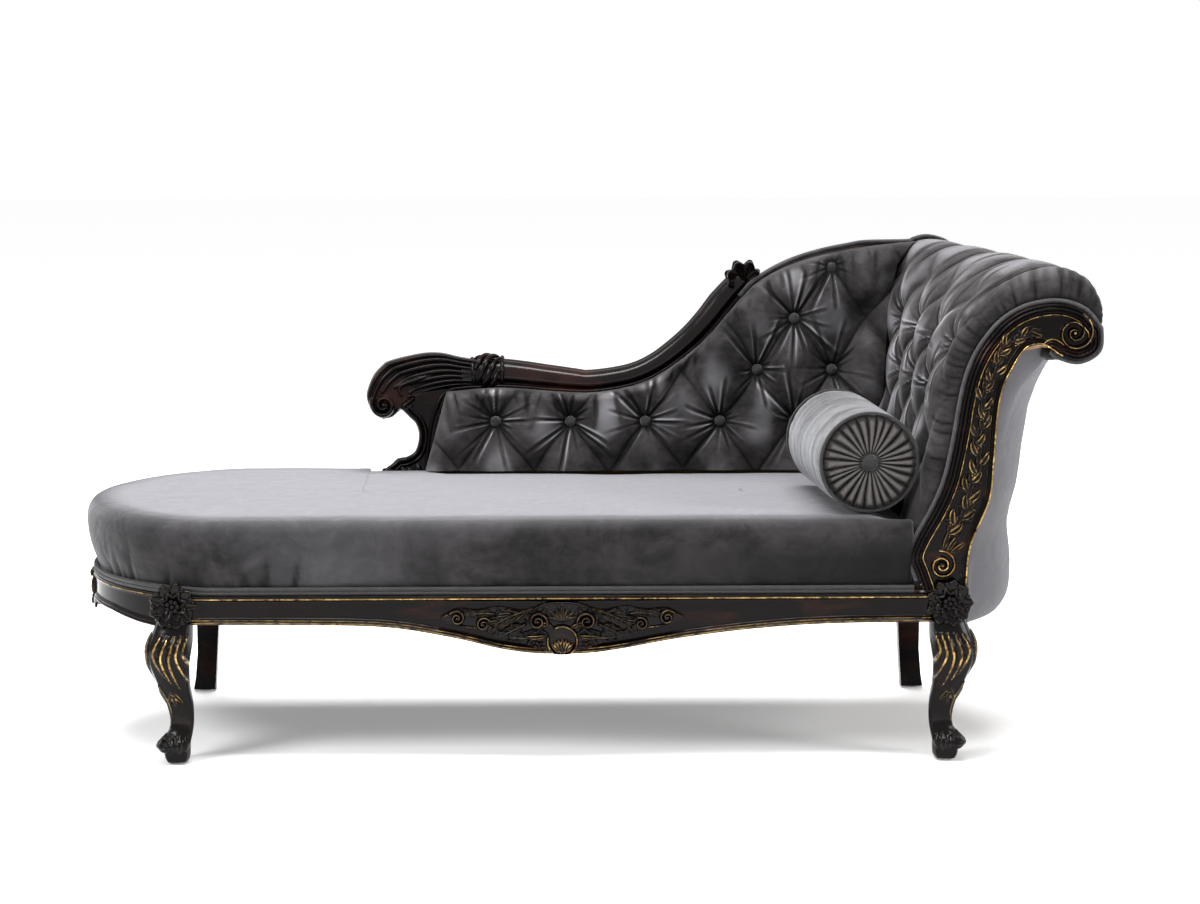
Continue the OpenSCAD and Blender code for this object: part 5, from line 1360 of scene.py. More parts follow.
def make_pleat():
    """One fold, lying flat: out along x, its valleys half a step to either side."""
    rows, columns = 26, 13
    half = math.pi / pleats
    t, s = grid(np.linspace(0, 1, rows), np.linspace(-1, 1, columns))
    r_out, r_in = bolster_r - shoulder - 0.0006, 0.009
    r = mix(r_out, r_in, t)
    crown = np.interp(t, [0, 0.04, 0.14, 0.45, 0.75, 0.9, 1], [0, 0.62, 0.94, 1, 0.82, 0.62, 0.5])
    fold = (1 - np.abs(s) ** 2.6) ** 0.55
    depth = 0.0085 * np.interp(t, [0, 0.1, 0.6, 1], [0.4, 0.9, 1, 0.8])
    lean = 0.22 * half * np.sin(t * math.pi)
    z = end_t * crown - depth * (1 - fold)
    turn = s * half + lean
    top = np.stack([r * np.cos(turn), r * np.sin(turn), np.maximum(z, 0.0008)], -1)
    floor = top.copy()
    floor[..., 2] = 0.0002
    # A painted highlight on the crown of the pleat, and painted shade in its valleys and at both
    # ends.
    pile = np.minimum(np.clip(0.85 - 2.6 * np.abs(s) ** 2.4, -1, 1), np.interp(
        t, [0, 0.05, 0.14, 0.8, 0.93, 1], [-1, -0.5, 1, 0.8, -0.3, -0.9]))
    return make_mesh("pleat", *closed_sheet(top, floor), "pile", pile)


def make_pleated_end(front):
    mesh = grown(make_pleat(), round_tree, Count=pleats, Finish=bolster_pleats)
    co = np.empty(3 * len(mesh.vertices), np.float32)
    mesh.vertices.foreach_get("co", co)
    p = co.reshape(-1, 3).astype(float)
    turn = np.arctan2(p[:, 1], p[:, 0])
    uneven = np.stack([np.cos(turn), np.sin(turn), 0 * turn], -1)
    p[:, 2] += (p[:, 2] > 0.003) * 0.0011 * soft_noise(uneven, 0.42, 3 + front)
    swing = 0.075 * soft_noise(uneven, 0.7, 23 + front)
    p[:, :2] = np.stack([p[:, 0] * np.cos(swing) - p[:, 1] * np.sin(swing),
                         p[:, 0] * np.sin(swing) + p[:, 1] * np.cos(swing)], -1)
    out = end_t - 0.0002 - p[:, 2] if front else bolster_length - end_t + 0.0002 + p[:, 2]
    placed = on_bolster(p[:, 0], p[:, 1], out)
    mesh.vertices.foreach_set("co", placed.astype(np.float32).ravel())
    if front:
        mesh.flip_normals()
    mesh.update()
    return mesh


def bolster_ring(c):
    turn = round_angles(120)
    r = bolster_r - shoulder / 2 + gap
    return on_bolster(r * np.cos(turn), r * np.sin(turn), np.full(120, c))


bolster = add_piece("bolster_cloth", make_bolster_body(), bolster_velvet,
                    "bolster", ("bolster_cushion",))
for end in ("front", "rear"):
    pleated = add_piece(f"bolster_{end}_pleats", make_pleated_end(end == "front"), bolster_pleats,
                        "bolster", (f"bolster_{end}_end",))
add_cords("bolster_end_cords", [bolster_ring(end_t - 0.0006),
          bolster_ring(bolster_length - end_t + 0.0006)], end_piping_r - gap, bolster_piping,
          "bolster", ("bolster_pipings",), True)
end_buttons = add_buttons("bolster_end_buttons", on_bolster(0.0, 0.0, np.array(
    [0.0052, bolster_length - 0.0052])), [-bolster_axis, bolster_axis], 0.0150, 0.0050,
    velvet_button, "bolster", ("bolster_buttons",))

# %% [markdown]
# Most of the inside of the couch needs no other shape than the frame already has. Each of
# those nodes only takes the finish of what it is made of. The table below names them; the
# pieces of the following cells stand for the rest.

# %% Finishes of the frame inside
node_finishes = {
    "ebonised_wood": (ebonised_wood, ("rear_rail", "rear_leg_foot_end", "rear_leg_head_end")),
    "beech": (beech, ("head_end_rail", "corner_blocks", "seat_cross_bars", "webbing_battens",
                      "back_bottom_rail", "back_foot_stile", "back_middle_stile",
                      "back_top_rail", "head_front_board", "head_rear_board",
                      "head_cross_bars", "head_bow_ribs")),
    "webbing": (webbing, ("seat_webbing", "back_webbing")),
    "hessian": (hessian, ("spring_hessian", "back_hessian", "head_hessian")),
    "dust_cloth": (dust_cloth, ("dust_cover",)),
    "steel": (steel, ("nail_glides", "corner_block_screws")),
    "spring_steel": (spring_steel, ("seat_springs",)),
    "velvet": (velvet, ("back_outside",)),
}
for finish, nodes in node_finishes.values():
    for node in nodes:
        for material_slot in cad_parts[node].material_slots:
            material_slot.material = finish
print("finished", sum(len(nodes) for finish, nodes in node_finishes.values()), "nodes")

# %% [markdown]
# All the carving is one idea: a flat net of points is lifted by strokes. A stroke is a
# curve with a width and a height that may change along it, like one cut of a gouge seen
# from its ridge. Where strokes cross, the higher one wins, which gives the crisp overlaps
# of real carving. A stroke may have a hollow vein, and its crest may keep its gilding.

# %% Strokes of the carver
def stroke(line, width, rise, gilt=0.0, vein=0.0, count=70):
    """A curve in the plane of the carving; width and rise are lists that run along it."""
    line = even(line, count)
    t = np.linspace(0, 1, count)
    width, rise = (np.interp(t, np.linspace(0, 1, len(v)), v) for v in (width, rise))
    return line, np.maximum(width, 0.0004), rise, gilt, vein


def carve(p, q, strokes):
    """Height and gilding over the net points (p, q)."""
    height, gilding = np.zeros(p.shape), np.zeros(p.shape)
    for line, width, rise, gilt, vein in strokes:
        low, high = line.min(0) - width.max(), line.max(0) + width.max()
        near = (p > low[0]) & (p < high[0]) & (q > low[1]) & (q < high[1])
        if not near.any():
            continue
        a, b = p[near][:, None] - line[:, 0], q[near][:, None] - line[:, 1]
        squares = a * a + b * b
        k = squares.argmin(1)
        off = np.sqrt(squares[np.arange(len(k)), k]) / width[k]
        lift = rise[k] * np.sqrt(np.clip(1 - off ** 2, 0, 1))
        lift = lift * (1 - vein * hump(off, 0, 0.22))
        higher = lift > height[near]
        height[near] = np.where(higher, lift, height[near])
        crest = np.clip(1.25 - off * 1.6, 0, 1) * gilt if vein == 0 else (
            gilt * hump(off, 0.55, 0.3))
        gilding[near] = np.where(higher, crest, gilding[near])
    return height, gilding


def beside(p, q, line):
    """How far each point is from a line."""
    far = np.full(p.shape, 9.0)
    for point in line:
        far = np.minimum(far, (p - point[0]) ** 2 + (q - point[1]) ** 2)
    return np.sqrt(far)


def spiral(centre, r_out, r_in, turns, start, way=1, count=60):
    """A volute: it starts at the angle start, r_out from its centre, and winds inwards."""
    t = np.linspace(0, 1, count)
    r = r_out + (r_in - r_out) * t ** 0.8
    a = math.radians(start) + way * 2 * math.pi * turns * t
    return np.stack([centre[0] + r * np.cos(a), centre[1] + r * np.sin(a)], -1)


def sweep(start, heading, length, bend, count=24):
    """A curve that leaves start at a heading and turns evenly by bend, both in degrees."""
    t = np.linspace(0, 1, count)
    a = np.radians(heading + bend * t)
    step = length / (count - 1) * np.stack([np.cos(a), np.sin(a)], -1)
    return np.asarray(start) + np.cumsum(step, 0) - step[0]


def dot(at, width, rise, gilt, step=0.0003):
    """A small round knob."""
    return stroke([at, (at[0] + step, at[1])], [width] * 2, [rise] * 2, gilt, count=3)


def scroll_cut(centre, r, turns, start, way=1, rise=0.005, gilt=0.8):
    """A volute with a round eye."""
    w = r * 0.20
    return [stroke(spiral(centre, r * 0.86, r * 0.2, turns, start, way), [w, w * 0.9, w * 0.7],
                   [rise, rise * 0.95, rise], gilt),
            dot(centre, r * 0.2, rise * 1.1, gilt, 0.0004)]


def leaf(start, heading, length, bend, width, rise, gilt=0.6, vein=0.35):
    return stroke(sweep(start, heading, length, bend),
                  [width * 0.35, width * 0.9, width, width * 0.8, width * 0.15],
                  [rise * 0.6, rise, rise, rise * 0.85, rise * 0.3], gilt, vein)


def acanthus(start, heading, length, bend, width, rise, lobes=5, gilt=0.6, sides=(1, -1)):
    """A long leaf with lobes that spring from both sides of its rib."""
    spine = sweep(start, heading, length, bend)
    cuts = []
    for k in range(lobes):
        t = (k + 0.35) / lobes
        at = spine[int(t * 23)]
        way = heading + bend * t
        reach = length * 0.42 * (1 - 0.55 * t)
        for side in sides:
            cuts.append(leaf(at, way + side * 38, reach, -side * 30 + bend * 0.3, width * 0.55,
                             rise * (0.92 - 0.1 * t), gilt))
    cuts.append(stroke(spine, [width * 0.5, width * 0.42, width * 0.1], [rise, rise * 1.05,
                       rise * 0.5], gilt))
    return cuts


def mirrored(strokes, middle=0.0):
    return [((line * (-1, 1) + (2 * middle, 0)), *rest) for line, *rest in strokes]


def offset(line, away):
    """A line beside another: away is to the left of its direction."""
    line = np.asarray(line, float)
    along = np.gradient(line, axis=0)
    along /= np.linalg.norm(along, axis=1, keepdims=True)
    return line + np.stack([-along[:, 1], along[:, 0]], -1) * away


def rounding(s, edge):
    """1 in the middle of a strip and 0 at its sides, with a quarter-round fall."""
    side = np.clip(np.minimum(s, 1 - s) / edge, 0, 1)
    return np.sqrt(np.clip(1 - (1 - side) ** 2, 0, 1))


def carved_mesh(name, outer, inner, gilt):
    """A closed relief with the gilding of its front as a vertex attribute."""
    return make_mesh(name, *closed_sheet(outer, inner), "gilt", gilt)


def between(a, b, rows, columns):
    """A flat net between two edges, and the share across it."""
    s = np.linspace(0, 1, columns)
    a, b = even(a, rows), even(b, rows)
    return a[:, None] + (b - a)[:, None] * s[None, :, None], np.tile(s, (rows, 1))


print("a volute of", len(scroll_cut((0, 0), 0.02, 1.5, 0)), "strokes")

# %% [markdown]
# The front rail is one long moulding: a ledge and a gilt bead at the top, a sunk panel
# with a fine line round it, and two beads that follow the serpentine lower edge. Over the
# drop of the apron sits the cartouche, carved from its own piece of wood and planted on.

# %% Front rail
rail_x0 = foot_x + post_side / 2 + gap
rail_x1 = head_x - post_side / 2 - gap
apron_drop = rail_bottom - rail[0].z
apron_shares = [(0, 0), (0.14, 0.02), (0.26, 0.1), (0.35, 0.45), (0.42, 0.85), (0.47, 1),
                (0.53, 1), (0.58, 0.85), (0.66, 0.5), (0.76, 0.2), (0.86, 0.04), (1, 0)]
apron_fine = spline([(mix(rail_x0, rail_x1, a), rail_bottom - apron_drop * b)
                     for a, b in apron_shares], np.linspace(0, 11, 300))


def moulding(away, table):
    """Height at a distance from an edge, from (distance, height) pairs in millimetres."""
    distance, height = np.array(table, float).T * 0.001
    return np.interp(away, distance, height)


top_profile = [(0, 1.5), (2.6, 2.2), (3.2, 0.6), (4.0, 2.2), (5.4, 3.4), (6.8, 2.2), (7.6, 0.2),
               (9, -2.2), (12, -3.0), (100, -3.0)]
low_profile = [(0, 1.5), (1.2, 3.4), (3.0, 4.2), (4.8, 3.4), (5.6, 1.2), (6.4, 1.6), (7.6, 2.9),
               (9.0, 1.8), (9.8, 0), (12.5, -3.0), (100, -3.0)]
end_profile = [(0, 0), (5, 0), (8, -0.6), (9, 0.4), (10, -0.6), (12, -3.0), (100, -3.0)]
gilt_top, gilt_low, gilt_line = (0.0054, 0.0012), (0.003, 0.0014), (0.0076, 0.0008)


def make_front_rail():
    top = np.stack([apron_fine[:, 0], np.full(300, rail_top)], -1)
    plan = between(apron_fine, top, 520, 64)[0]
    x, z = plan[..., 0], plan[..., 1]
    from_top = rail_top - z
    from_low = (z - np.interp(x, apron_fine[:, 0], apron_fine[:, 1])) * 0.97
    from_end = np.minimum(x - rail_x0, rail_x1 - x)
    height = np.maximum(np.maximum(moulding(from_top, top_profile),
                                   moulding(from_low, low_profile)),
                        moulding(from_end, end_profile))
    gilt = np.maximum(hump(from_top, *gilt_top), np.maximum(0.75 * hump(from_low, *gilt_low),
                                                            0.8 * hump(from_low, *gilt_line)))
    outer = np.stack([x, rail_face_y - 0.0004 - height, z], -1)
    inner = np.stack([x, np.full_like(x, rail_face_y + rail_t), z], -1)
    return carved_mesh("front_rail_moulded", outer, inner, gilt)


add_piece("front_rail_moulded", make_front_rail(), carved_wood,
          stands_for=("front_rail", "front_rail_beads"))

# %% [markdown]
# The cartouche is carved in high relief. A scallop shell fills the lowest point of the
# apron with a palmette above it. On each side follow a large volute, a sprawling acanthus
# leaf, a smaller volute and an end scroll. One side is drawn and the other is its mirror.

# %% Cartouche of the apron
cartouche_w, cartouche_h = 0.426, apron_drop * 1.55
cartouche_shares = [(-0.5, 0.72), (-0.43, 0.9), (-0.34, 0.88), (-0.26, 0.95), (-0.16, 0.86),
                    (-0.08, 1), (0, 1.04), (0, -0.1), (-0.07, -0.04), (-0.14, 0.1),
                    (-0.24, 0.24), (-0.34, 0.46), (-0.45, 0.56), (-0.5, 0.72)]
cartouche_z = rail_bottom - apron_drop + 0.006
cartouche_x = (rail_x0 + rail_x1) / 2
cartouche_y = rail_face_y - 0.001


def cartouche_strokes():
    cuts = []
    for k in range(-3, 4):
        cuts.append(leaf((0.0010 * k, -0.004), 90 - 17 * k, 0.026 - 0.0012 * abs(k), 3 * k,
                         0.0042, 0.0115, 0.75, 0.25))
        cuts.append(leaf((0.0016 * k, 0.052), 90 - 21 * k, 0.030 - 0.002 * abs(k), -6 * k,
                         0.0040, 0.0090, 0.55, 0.3))
    cuts.append(stroke(spiral((0, 0.0165), 0.0265, 0.0255, 0.86, -245, -1), [0.0030] * 2,
                       [0.0095] * 2, 0.75))
    side = scroll_cut((0.043, 0.052), 0.0205, 1.6, 200, -1, 0.0120, 0.52)
    side += scroll_cut((0.047, 0.006), 0.0095, 1.2, 100, 1, 0.0080, 0.52)
    side += scroll_cut((0.138, 0.047), 0.0155, 1.5, 150, -1, 0.0095, 0.52)
    side += scroll_cut((0.184, 0.058), 0.0175, 1.5, 30, 1, 0.0080, 0.52)
    side += acanthus((0.054, 0.074), -12, 0.088, -26, 0.0085, 0.0105, 6, 0.48)
    side += acanthus((0.066, 0.046), -22, 0.060, -10, 0.0075, 0.0085, 4, 0.46)
    side += acanthus((0.062, 0.022), -4, 0.055, 26, 0.0060, 0.0065, 4, 0.46)
    side += acanthus((0.120, 0.066), 8, 0.050, -22, 0.0060, 0.0080, 4, 0.48)
    side += [leaf((0.150, 0.040), -8, 0.036, 30, 0.0050, 0.0070), leaf((0.196, 0.066), 10, 0.018,
             -60, 0.0044, 0.0060), leaf((0.016, 0.040), 34, 0.030, -30, 0.0052, 0.0100, 0.6),
             leaf((0.028, 0.026), -14, 0.040, 22, 0.0048, 0.0080, 0.6),
             leaf((0.086, 0.060), -50, 0.034, 24, 0.0050, 0.0088, 0.5)]
    random = np.random.default_rng(5)
    for _ in range(64):
        at = (random.uniform(0.024, 0.205), random.uniform(-0.012, 0.084))
        side.append(leaf(at, random.uniform(-70, 70), random.uniform(0.016, 0.034),
                         random.uniform(-60, 60), random.uniform(0.0028, 0.0042),
                         random.uniform(0.0045, 0.0070), random.uniform(0.2, 0.5)))
    return cuts + side + mirrored(side)


def make_cartouche():
    left = [(a * cartouche_w, b * cartouche_h) for a, b in cartouche_shares]
    top = np.array(left[:7] + [(-x, z) for x, z in left[5::-1]])
    low = np.array([left[0]] + left[12:6:-1] + [(-x, z) for x, z in left[8:13]]
                   + [(-left[0][0], left[0][1])])
    top, low = (spline(e, np.linspace(0, len(e) - 1, 240)) for e in (top, low))
    plan, s = between(low, top, 450, 104)
    x, z = plan[..., 0], plan[..., 1]
    height, gilt = carve(x, z, cartouche_strokes())
    height = 0.0022 * rounding(s, 0.04) + height * rounding(s, 0.03)
    outer = np.stack([cartouche_x + x, cartouche_y - height, cartouche_z + z], -1)
    inner = np.stack([cartouche_x + x, np.full_like(x, cartouche_y + 0.004), cartouche_z + z], -1)
    return carved_mesh("cartouche_carving", outer, inner, gilt)


add_piece("cartouche_carving", make_cartouche(), glossy_carving,
          stands_for=("apron_cartouche",))

# %% [markdown]
# The rail of the foot end is an arc, so its net is laid out by angle. It carries the same
# mouldings, drops at the legs and at the ornament in its middle, and the ornament is a
# small acanthus spray between two scrolls.

# %% Foot-end rail and its ornament
end_angle = math.asin(frame_depth / 2 / end_r)
end_drop = apron_drop * 0.9
end_drop_shares = np.array([(0, 0.3), (0.12, 0.18), (0.24, 0), (0.4, -0.04), (0.46, 0.4),
                            (0.5, 0.5)])


def on_end(run, r, z):
    """Places on the arc of the foot end: run is the distance along it from its middle."""
    a = run / end_r
    return np.stack([end_x - r * np.cos(a), end_y - r * np.sin(a), z], -1)


def end_edge(run):
    share = 0.5 - np.abs(run) / (2 * end_angle * end_r)
    return rail_bottom - end_drop * np.interp(share, *end_drop_shares.T)


def make_foot_rail():
    half = end_angle * end_r - post_side * 0.56
    run, s = grid(np.linspace(-half, half, 260), np.linspace(0, 1, 56))
    z = mix(end_edge(run), rail_top, s)
    from_top, from_low = rail_top - z, z - end_edge(run)
    height = np.maximum(moulding(from_top, top_profile), moulding(from_low, low_profile))
    gilt = np.maximum(0.8 * hump(from_top, *gilt_top), 0.4 * hump(from_low, *gilt_low))
    outer = on_end(run, end_r - 0.0035 + height * 0.8, z)
    inner = on_end(run, end_r - rail_t + 0 * run, z)
    return carved_mesh("foot_rail_moulded", outer, inner, gilt)


def make_foot_ornament():
    side = scroll_cut((0.017, 0.064), 0.0125, 1.4, 180, -1, 0.0075)
    side += scroll_cut((0.014, 0.012), 0.0105, 1.3, 120, 1, 0.0065)
    side += [leaf((0.004, 0.020), 50, 0.040, 30, 0.0060, 0.0070),
             leaf((0.006, 0.046), 12, 0.026, -60, 0.0050, 0.0065)]
    cuts = side + mirrored(side)
    cuts += [leaf((0, 0.024), 90 + 24 * k, 0.034, -8 * k, 0.0056, 0.0078) for k in (-2, -1, 0, 1, 2)]
    low = rail_bottom - end_drop * 0.5
    run, s = grid(np.linspace(-0.031, 0.031, 120), np.linspace(0, 1, 150))
    z = mix(low, rail_top - 0.004, s)
    height, gilt = carve(run, z - low, cuts)
    height = height * rounding(s, 0.03) * rounding((run + 0.031) / 0.062, 0.05)
    return carved_mesh("foot_ornament_carving", on_end(run, end_r - 0.0012 + height, z),
                       on_end(run, end_r - 0.006 + 0 * run, z), gilt)


add_piece("foot_rail_moulded", make_foot_rail(), carved_wood,
          stands_for=("foot_end_rail",))
add_piece("foot_ornament_carving", make_foot_ornament(), carved_wood,
          stands_for=("foot_end_ornament",))

# %% [markdown]
# A cabriole leg is a post whose centre sways outwards at the knee, in above the ankle and
# out again at the toe. The flutes of the knee and the curled toe are strokes too, drawn
# once as seen from the front. They are pressed onto the front of the leg and, turned by a
# quarter, onto its outer side. The leg at the head end is the mirror of the other.

# %% Cabriole legs
glide_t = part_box("front_leg_foot_end")[0].z
leg_h = rail_bottom - end_drop * 0.3 - glide_t
cabriole_shares = [(0, 0.62, 0), (0.03, 0.74, 0), (0.09, 0.80, 0.01), (0.145, 0.86, 0.03),
                   (0.2, 0.78, -0.05), (0.26, 0.71, -0.12), (0.34, 0.7, -0.14),
                   (0.45, 0.78, -0.09), (0.56, 0.92, 0.03), (0.66, 1.05, 0.11),
                   (0.76, 1.2, 0.17), (0.86, 1.3, 0.16), (0.93, 1.30, 0.12), (1.0, 1.2, 0.06),
                   (1.08, 1.08, 0.01), (1.2, 1.0, 0)]


def knee_strokes():
    """Seen from the front; p runs outwards from the middle of the post, q up."""
    cuts = []
    for start, end, gilt in ((0.026, 0.034, 0.9), (0.010, 0.022, 1.0), (-0.004, 0.008, 1.0),
                             (-0.017, -0.004, 1.0), (-0.030, -0.015, 0.9)):
        top = np.array([start * 0.8, leg_h * 0.985])
        low = np.array([end - 0.012, leg_h * (0.62 + 4.5 * abs(end - 0.01))])
        middle = mix(top, low, 0.5) + (0.011, 0)
        line = spline([top, middle, low, low - (0.006, 0.012)], np.linspace(0, 3, 40))
        cuts.append(stroke(line, [0.0022, 0.0040, 0.0036, 0.0012], [0.0030, 0.0052, 0.0048,
                    0.0014], gilt))
    ridge = [(-0.033, leg_h * 0.93), (-0.026, leg_h * 0.74), (-0.029, leg_h * 0.55),
             (-0.031, leg_h * 0.38), (-0.026, leg_h * 0.2), (-0.020, leg_h * 0.12)]
    cuts.append(stroke(spline(ridge, np.linspace(0, 5, 60)), [0.0026] * 2, [0.0028, 0.0024], 0.8))
    shin = [(0.026, leg_h * 0.60), (0.012, leg_h * 0.48), (0.006, leg_h * 0.36),
            (0.009, leg_h * 0.26)]
    cuts.append(stroke(spline(shin, np.linspace(0, 3, 60)), [0.0030, 0.0022], [0.0030, 0.0020],
                0.7))
    cuts += [leaf((0.004, leg_h * 0.56), -100 + 20 * k, 0.030, 10 * k, 0.0050, 0.0040, 0.7)
             for k in (-1, 0, 1)]
    cuts += scroll_cut((0.017, leg_h * 0.125), 0.0135, 1.3, 60, -1, 0.0062, 0.35)
    cuts += [leaf((0.006, leg_h * 0.21), -70, 0.026, -30, 0.0062, 0.0062, 0.4),
             leaf((-0.006, leg_h * 0.20), -84, 0.030, -12, 0.0058, 0.0052, 0.5),
             leaf((-0.016, leg_h * 0.19), -92, 0.026, 10, 0.0046, 0.0040, 0.4)]
    return cuts


def make_front_leg(name, x, out_x):
    rows, columns = 230, 96
    table = spline(cabriole_shares, np.linspace(0, 15, rows))
    turn = round_angles(columns)
    c, s = np.cos(turn), np.sin(turn)
    square = mix(1, 1 / np.maximum(np.abs(c), np.abs(s)), 0.30)
    toe = 0.0035 * hump(table[:, 0], 0.125, 0.035)
    r = table[:, 1, None] * post_side / 2 * square
    out = r * c + table[:, 2, None] * post_side + toe[:, None] * np.clip(c - s, 0, 1)
    back = r * s - table[:, 2, None] * post_side - toe[:, None] * np.clip(c - s, 0, 1)
    z = np.broadcast_to(glide_t + leg_h * table[:, 0, None], r.shape)
    cuts = knee_strokes()
    front_h, front_g = carve(out, z - glide_t, cuts)
    side_h, side_g = carve(-back, z - glide_t, cuts)
    on_front = np.clip(-s * 1.7 - 0.15, 0, 1) ** 0.7
    on_side = np.clip(c * 1.7 - 0.15, 0, 1) ** 0.7
    lift = np.maximum(front_h * on_front, side_h * on_side)
    gilt = np.maximum(front_g * on_front, side_g * on_side)
    n = np.hypot(c, s)
    out, back = out + lift * c / n, back + lift * s / n
    points = np.stack([x + out_x * out, front_y + back, z], -1)
    post = np.clip(np.stack([x + out_x * post_side / 2 * c * square / square.max() * 1.35,
                             front_y + post_side / 2 * s * square / square.max() * 1.35,
                             np.full(columns, rail_top)], -1),
                   (x - post_side / 2, front_y - post_side / 2, 0),
                   (x + post_side / 2, front_y + post_side / 2, rail_top))
    level = post.copy()
    level[:, 2] = points[-1, 0, 2] + 0.001
    points = np.concatenate([points.reshape(-1, 3), level, post, [(x, front_y, glide_t)],
                             [(x, front_y, rail_top)]])
    return make_mesh(name, points, tube_faces(rows + 2, columns), "gilt", gilt)


for end, x, out_x in (("foot", foot_x, -1), ("head", head_x, 1)):
    add_piece(f"cabriole_leg_{end}", make_front_leg(f"cabriole_leg_{end}", x, out_x), glossy_carving,
              stands_for=(f"front_leg_{end}_end",))

# %% [markdown]
# A rosette covers the joint of leg and rail: two rings of curled petals and a heart of
# small berries. One petal is modelled, and the tree repeats it round the centre.

# %% Rosettes of the knees
rosette_r = 0.042
rosette_z = rail_top - rosette_r / 3
rosette_y = front_y - post_side / 2 - 0.003


def make_petal(length, width, lift, start):
    """A petal along x with its tip curled up and a vein down its middle."""
    t, s = grid(np.linspace(0, 1, 18), np.linspace(-1, 1, 11))
    half = width * np.sin(math.pi * np.clip(t * 0.93 + 0.05, 0, 1)) ** 0.7
    x, y = start + (length - start) * t, half * s
    bulge = lift * (0.30 + 0.75 * t ** 1.3 - 0.35 * np.clip(t - 0.85, 0, 1) / 0.15)
    z = bulge * (1 - 0.55 * s ** 2) - lift * 0.22 * hump(s, 0, 0.2)
    outer = np.stack([x, y, np.maximum(z, 0.0006)], -1)
    inner = np.stack([x, y, 0 * x - 0.001], -1)
    gilt = np.clip(t * 1.5 - 0.75, 0, 1) * hump(np.abs(s), 0.5, 0.3) * 0.8
    return carved_mesh("petal", outer, inner, gilt)


def ring_of(mesh, count, twist):
    made = grown(mesh, round_tree, Count=count, Finish=carved_wood)
    made.transform(Matrix.Rotation(math.radians(twist), 4, "Z"))
    return made


def merged(name, meshes):
    work = bmesh.new()
    for mesh in meshes:
        work.from_mesh(mesh)
    result = bpy.data.meshes.new(name)
    work.to_mesh(result)
    work.free()
    result.shade_smooth()
    return result


def make_berries(places, r):
    mesh = domes(places, np.tile((0, 0, 1), len(places)), r, r, carved_wood)
    shine = np.full(len(mesh.vertices), 0.25, np.float32)
    mesh.attributes.new("gilt", "FLOAT", "POINT").data.foreach_set("value", shine)
    return mesh


def round_places(count, r, z, first):
    return [(r * math.cos(k), r * math.sin(k), z)
            for k in (np.arange(count) + first) * 2 * math.pi / count]


def make_rosette(name, x):
    rim = make_petal(rosette_r * 0.99, 0.0125, 0.0100, 0.014)
    heart = make_petal(0.0275, 0.0085, 0.0115, 0.006)
    ring, outer = round_places(7, 0.0088, 0.0088, 0), round_places(9, 0.0335, 0.0056, 0.5)
    parts = [ring_of(rim, 9, 0), ring_of(heart, 8, 20),
             make_berries(ring + [(0, 0, 0.0098)], 0.0043), make_berries(outer, 0.0046)]
    disc = bpy.data.meshes.new("disc")
    points, faces = tube([(0, 0, -0.0004), (0, 0, 0.0030)], 0.036, 48, (0, 1, 0))
    disc.from_pydata(points.tolist(), [], [tuple(f) for f in faces])
    mesh = merged(name, parts + [disc])
    mesh.transform(Matrix.Translation((x, rosette_y, rosette_z))
                   @ Matrix.Rotation(math.radians(90), 4, "X"))
    return mesh


for end, x in (("foot", foot_x), ("head", head_x)):
    add_piece(f"rosette_{end}", make_rosette(f"rosette_{end}", x), glossy_carving,
              stands_for=(f"knee_rosette_{end}_end",))

# %% [markdown]
# The crest rail is a moulding run along the back's curve: a broad roll with a quirk above
# and below. It starts under the leaf collar and ends at the finial. At every place of the
# curve the same section is set square to it, and its height shrinks as the rail climbs.

# %% Crest rail
crest_t, crest_h = 0.044, 0.052
crest_n = -back_t / 2 - (crest_t - back_t) * 0.9 + crest_t / 2
crest_rise_shares = np.array([(0, 0.95), (0.3, 0.72), (0.6, 0.7), (0.85, 0.8), (1, 0.7)])
crest_first, crest_last = 3, 19.6
crest_plump = 0.0045


def on_crest(k, up, n):
    """A place on the crest: k along the contour, up from it in its plane, n to the front."""
    k = np.asarray(k, float)
    at, ahead, behind = (spline(contour, k + d) for d in (0, 0.05, -0.05))
    along = ahead - behind
    along /= np.linalg.norm(along, axis=-1, keepdims=True)
    x = at[..., 0] - along[..., 1] * up
    w = at[..., 1] + along[..., 0] * up
    return on_slab(x, w, n)


def crest_height(k):
    share = np.clip((np.asarray(k) - crest_first) / (crest_last - crest_first), 0, 1)
    return crest_h * np.interp(share, *crest_rise_shares.T)


def crest_section(k, turn, grow=0.0):
    """The rail's outline at k; turn runs round it."""
    h = crest_height(k)
    c = np.sign(np.cos(turn)) * np.abs(np.cos(turn)) ** 0.92
    s = np.sign(np.sin(turn)) * np.abs(np.sin(turn)) ** 0.92
    up = h / 2 * (1 + s) + gap + (grow + crest_plump) * s
    n = crest_n + (crest_t / 2 + grow + crest_plump) * c
    return up, n


def make_crest():
    k, turn = grid(np.linspace(1.2, crest_last, 240), round_angles(72))
    quirk = 0
    for where, deep in ((64, 1.6), (-34, 3.0), (142, 1.4), (-150, 1.4)):
        off = np.degrees(np.abs(angle_off(turn, math.radians(where))))
        quirk = quirk + deep * 0.001 * hump(off, 0, 6.5)
    return ended_tube("crest_moulded", on_crest(k, *crest_section(k, turn, -quirk)))


add_piece("crest_moulded", make_crest(), polished_wood,
          stands_for=("crest_rail",))

# %% [markdown]
# A band of twisted leaves hides the joint between the crest rail and the scroll: strands
# that climb round the rail like rope, between two rings. Where the rail ends at the top,
# the finial is a small bud of leaves round a berry.

# %% Leaf collar and finial
collar_from, collar_to = 1.75, 3.1


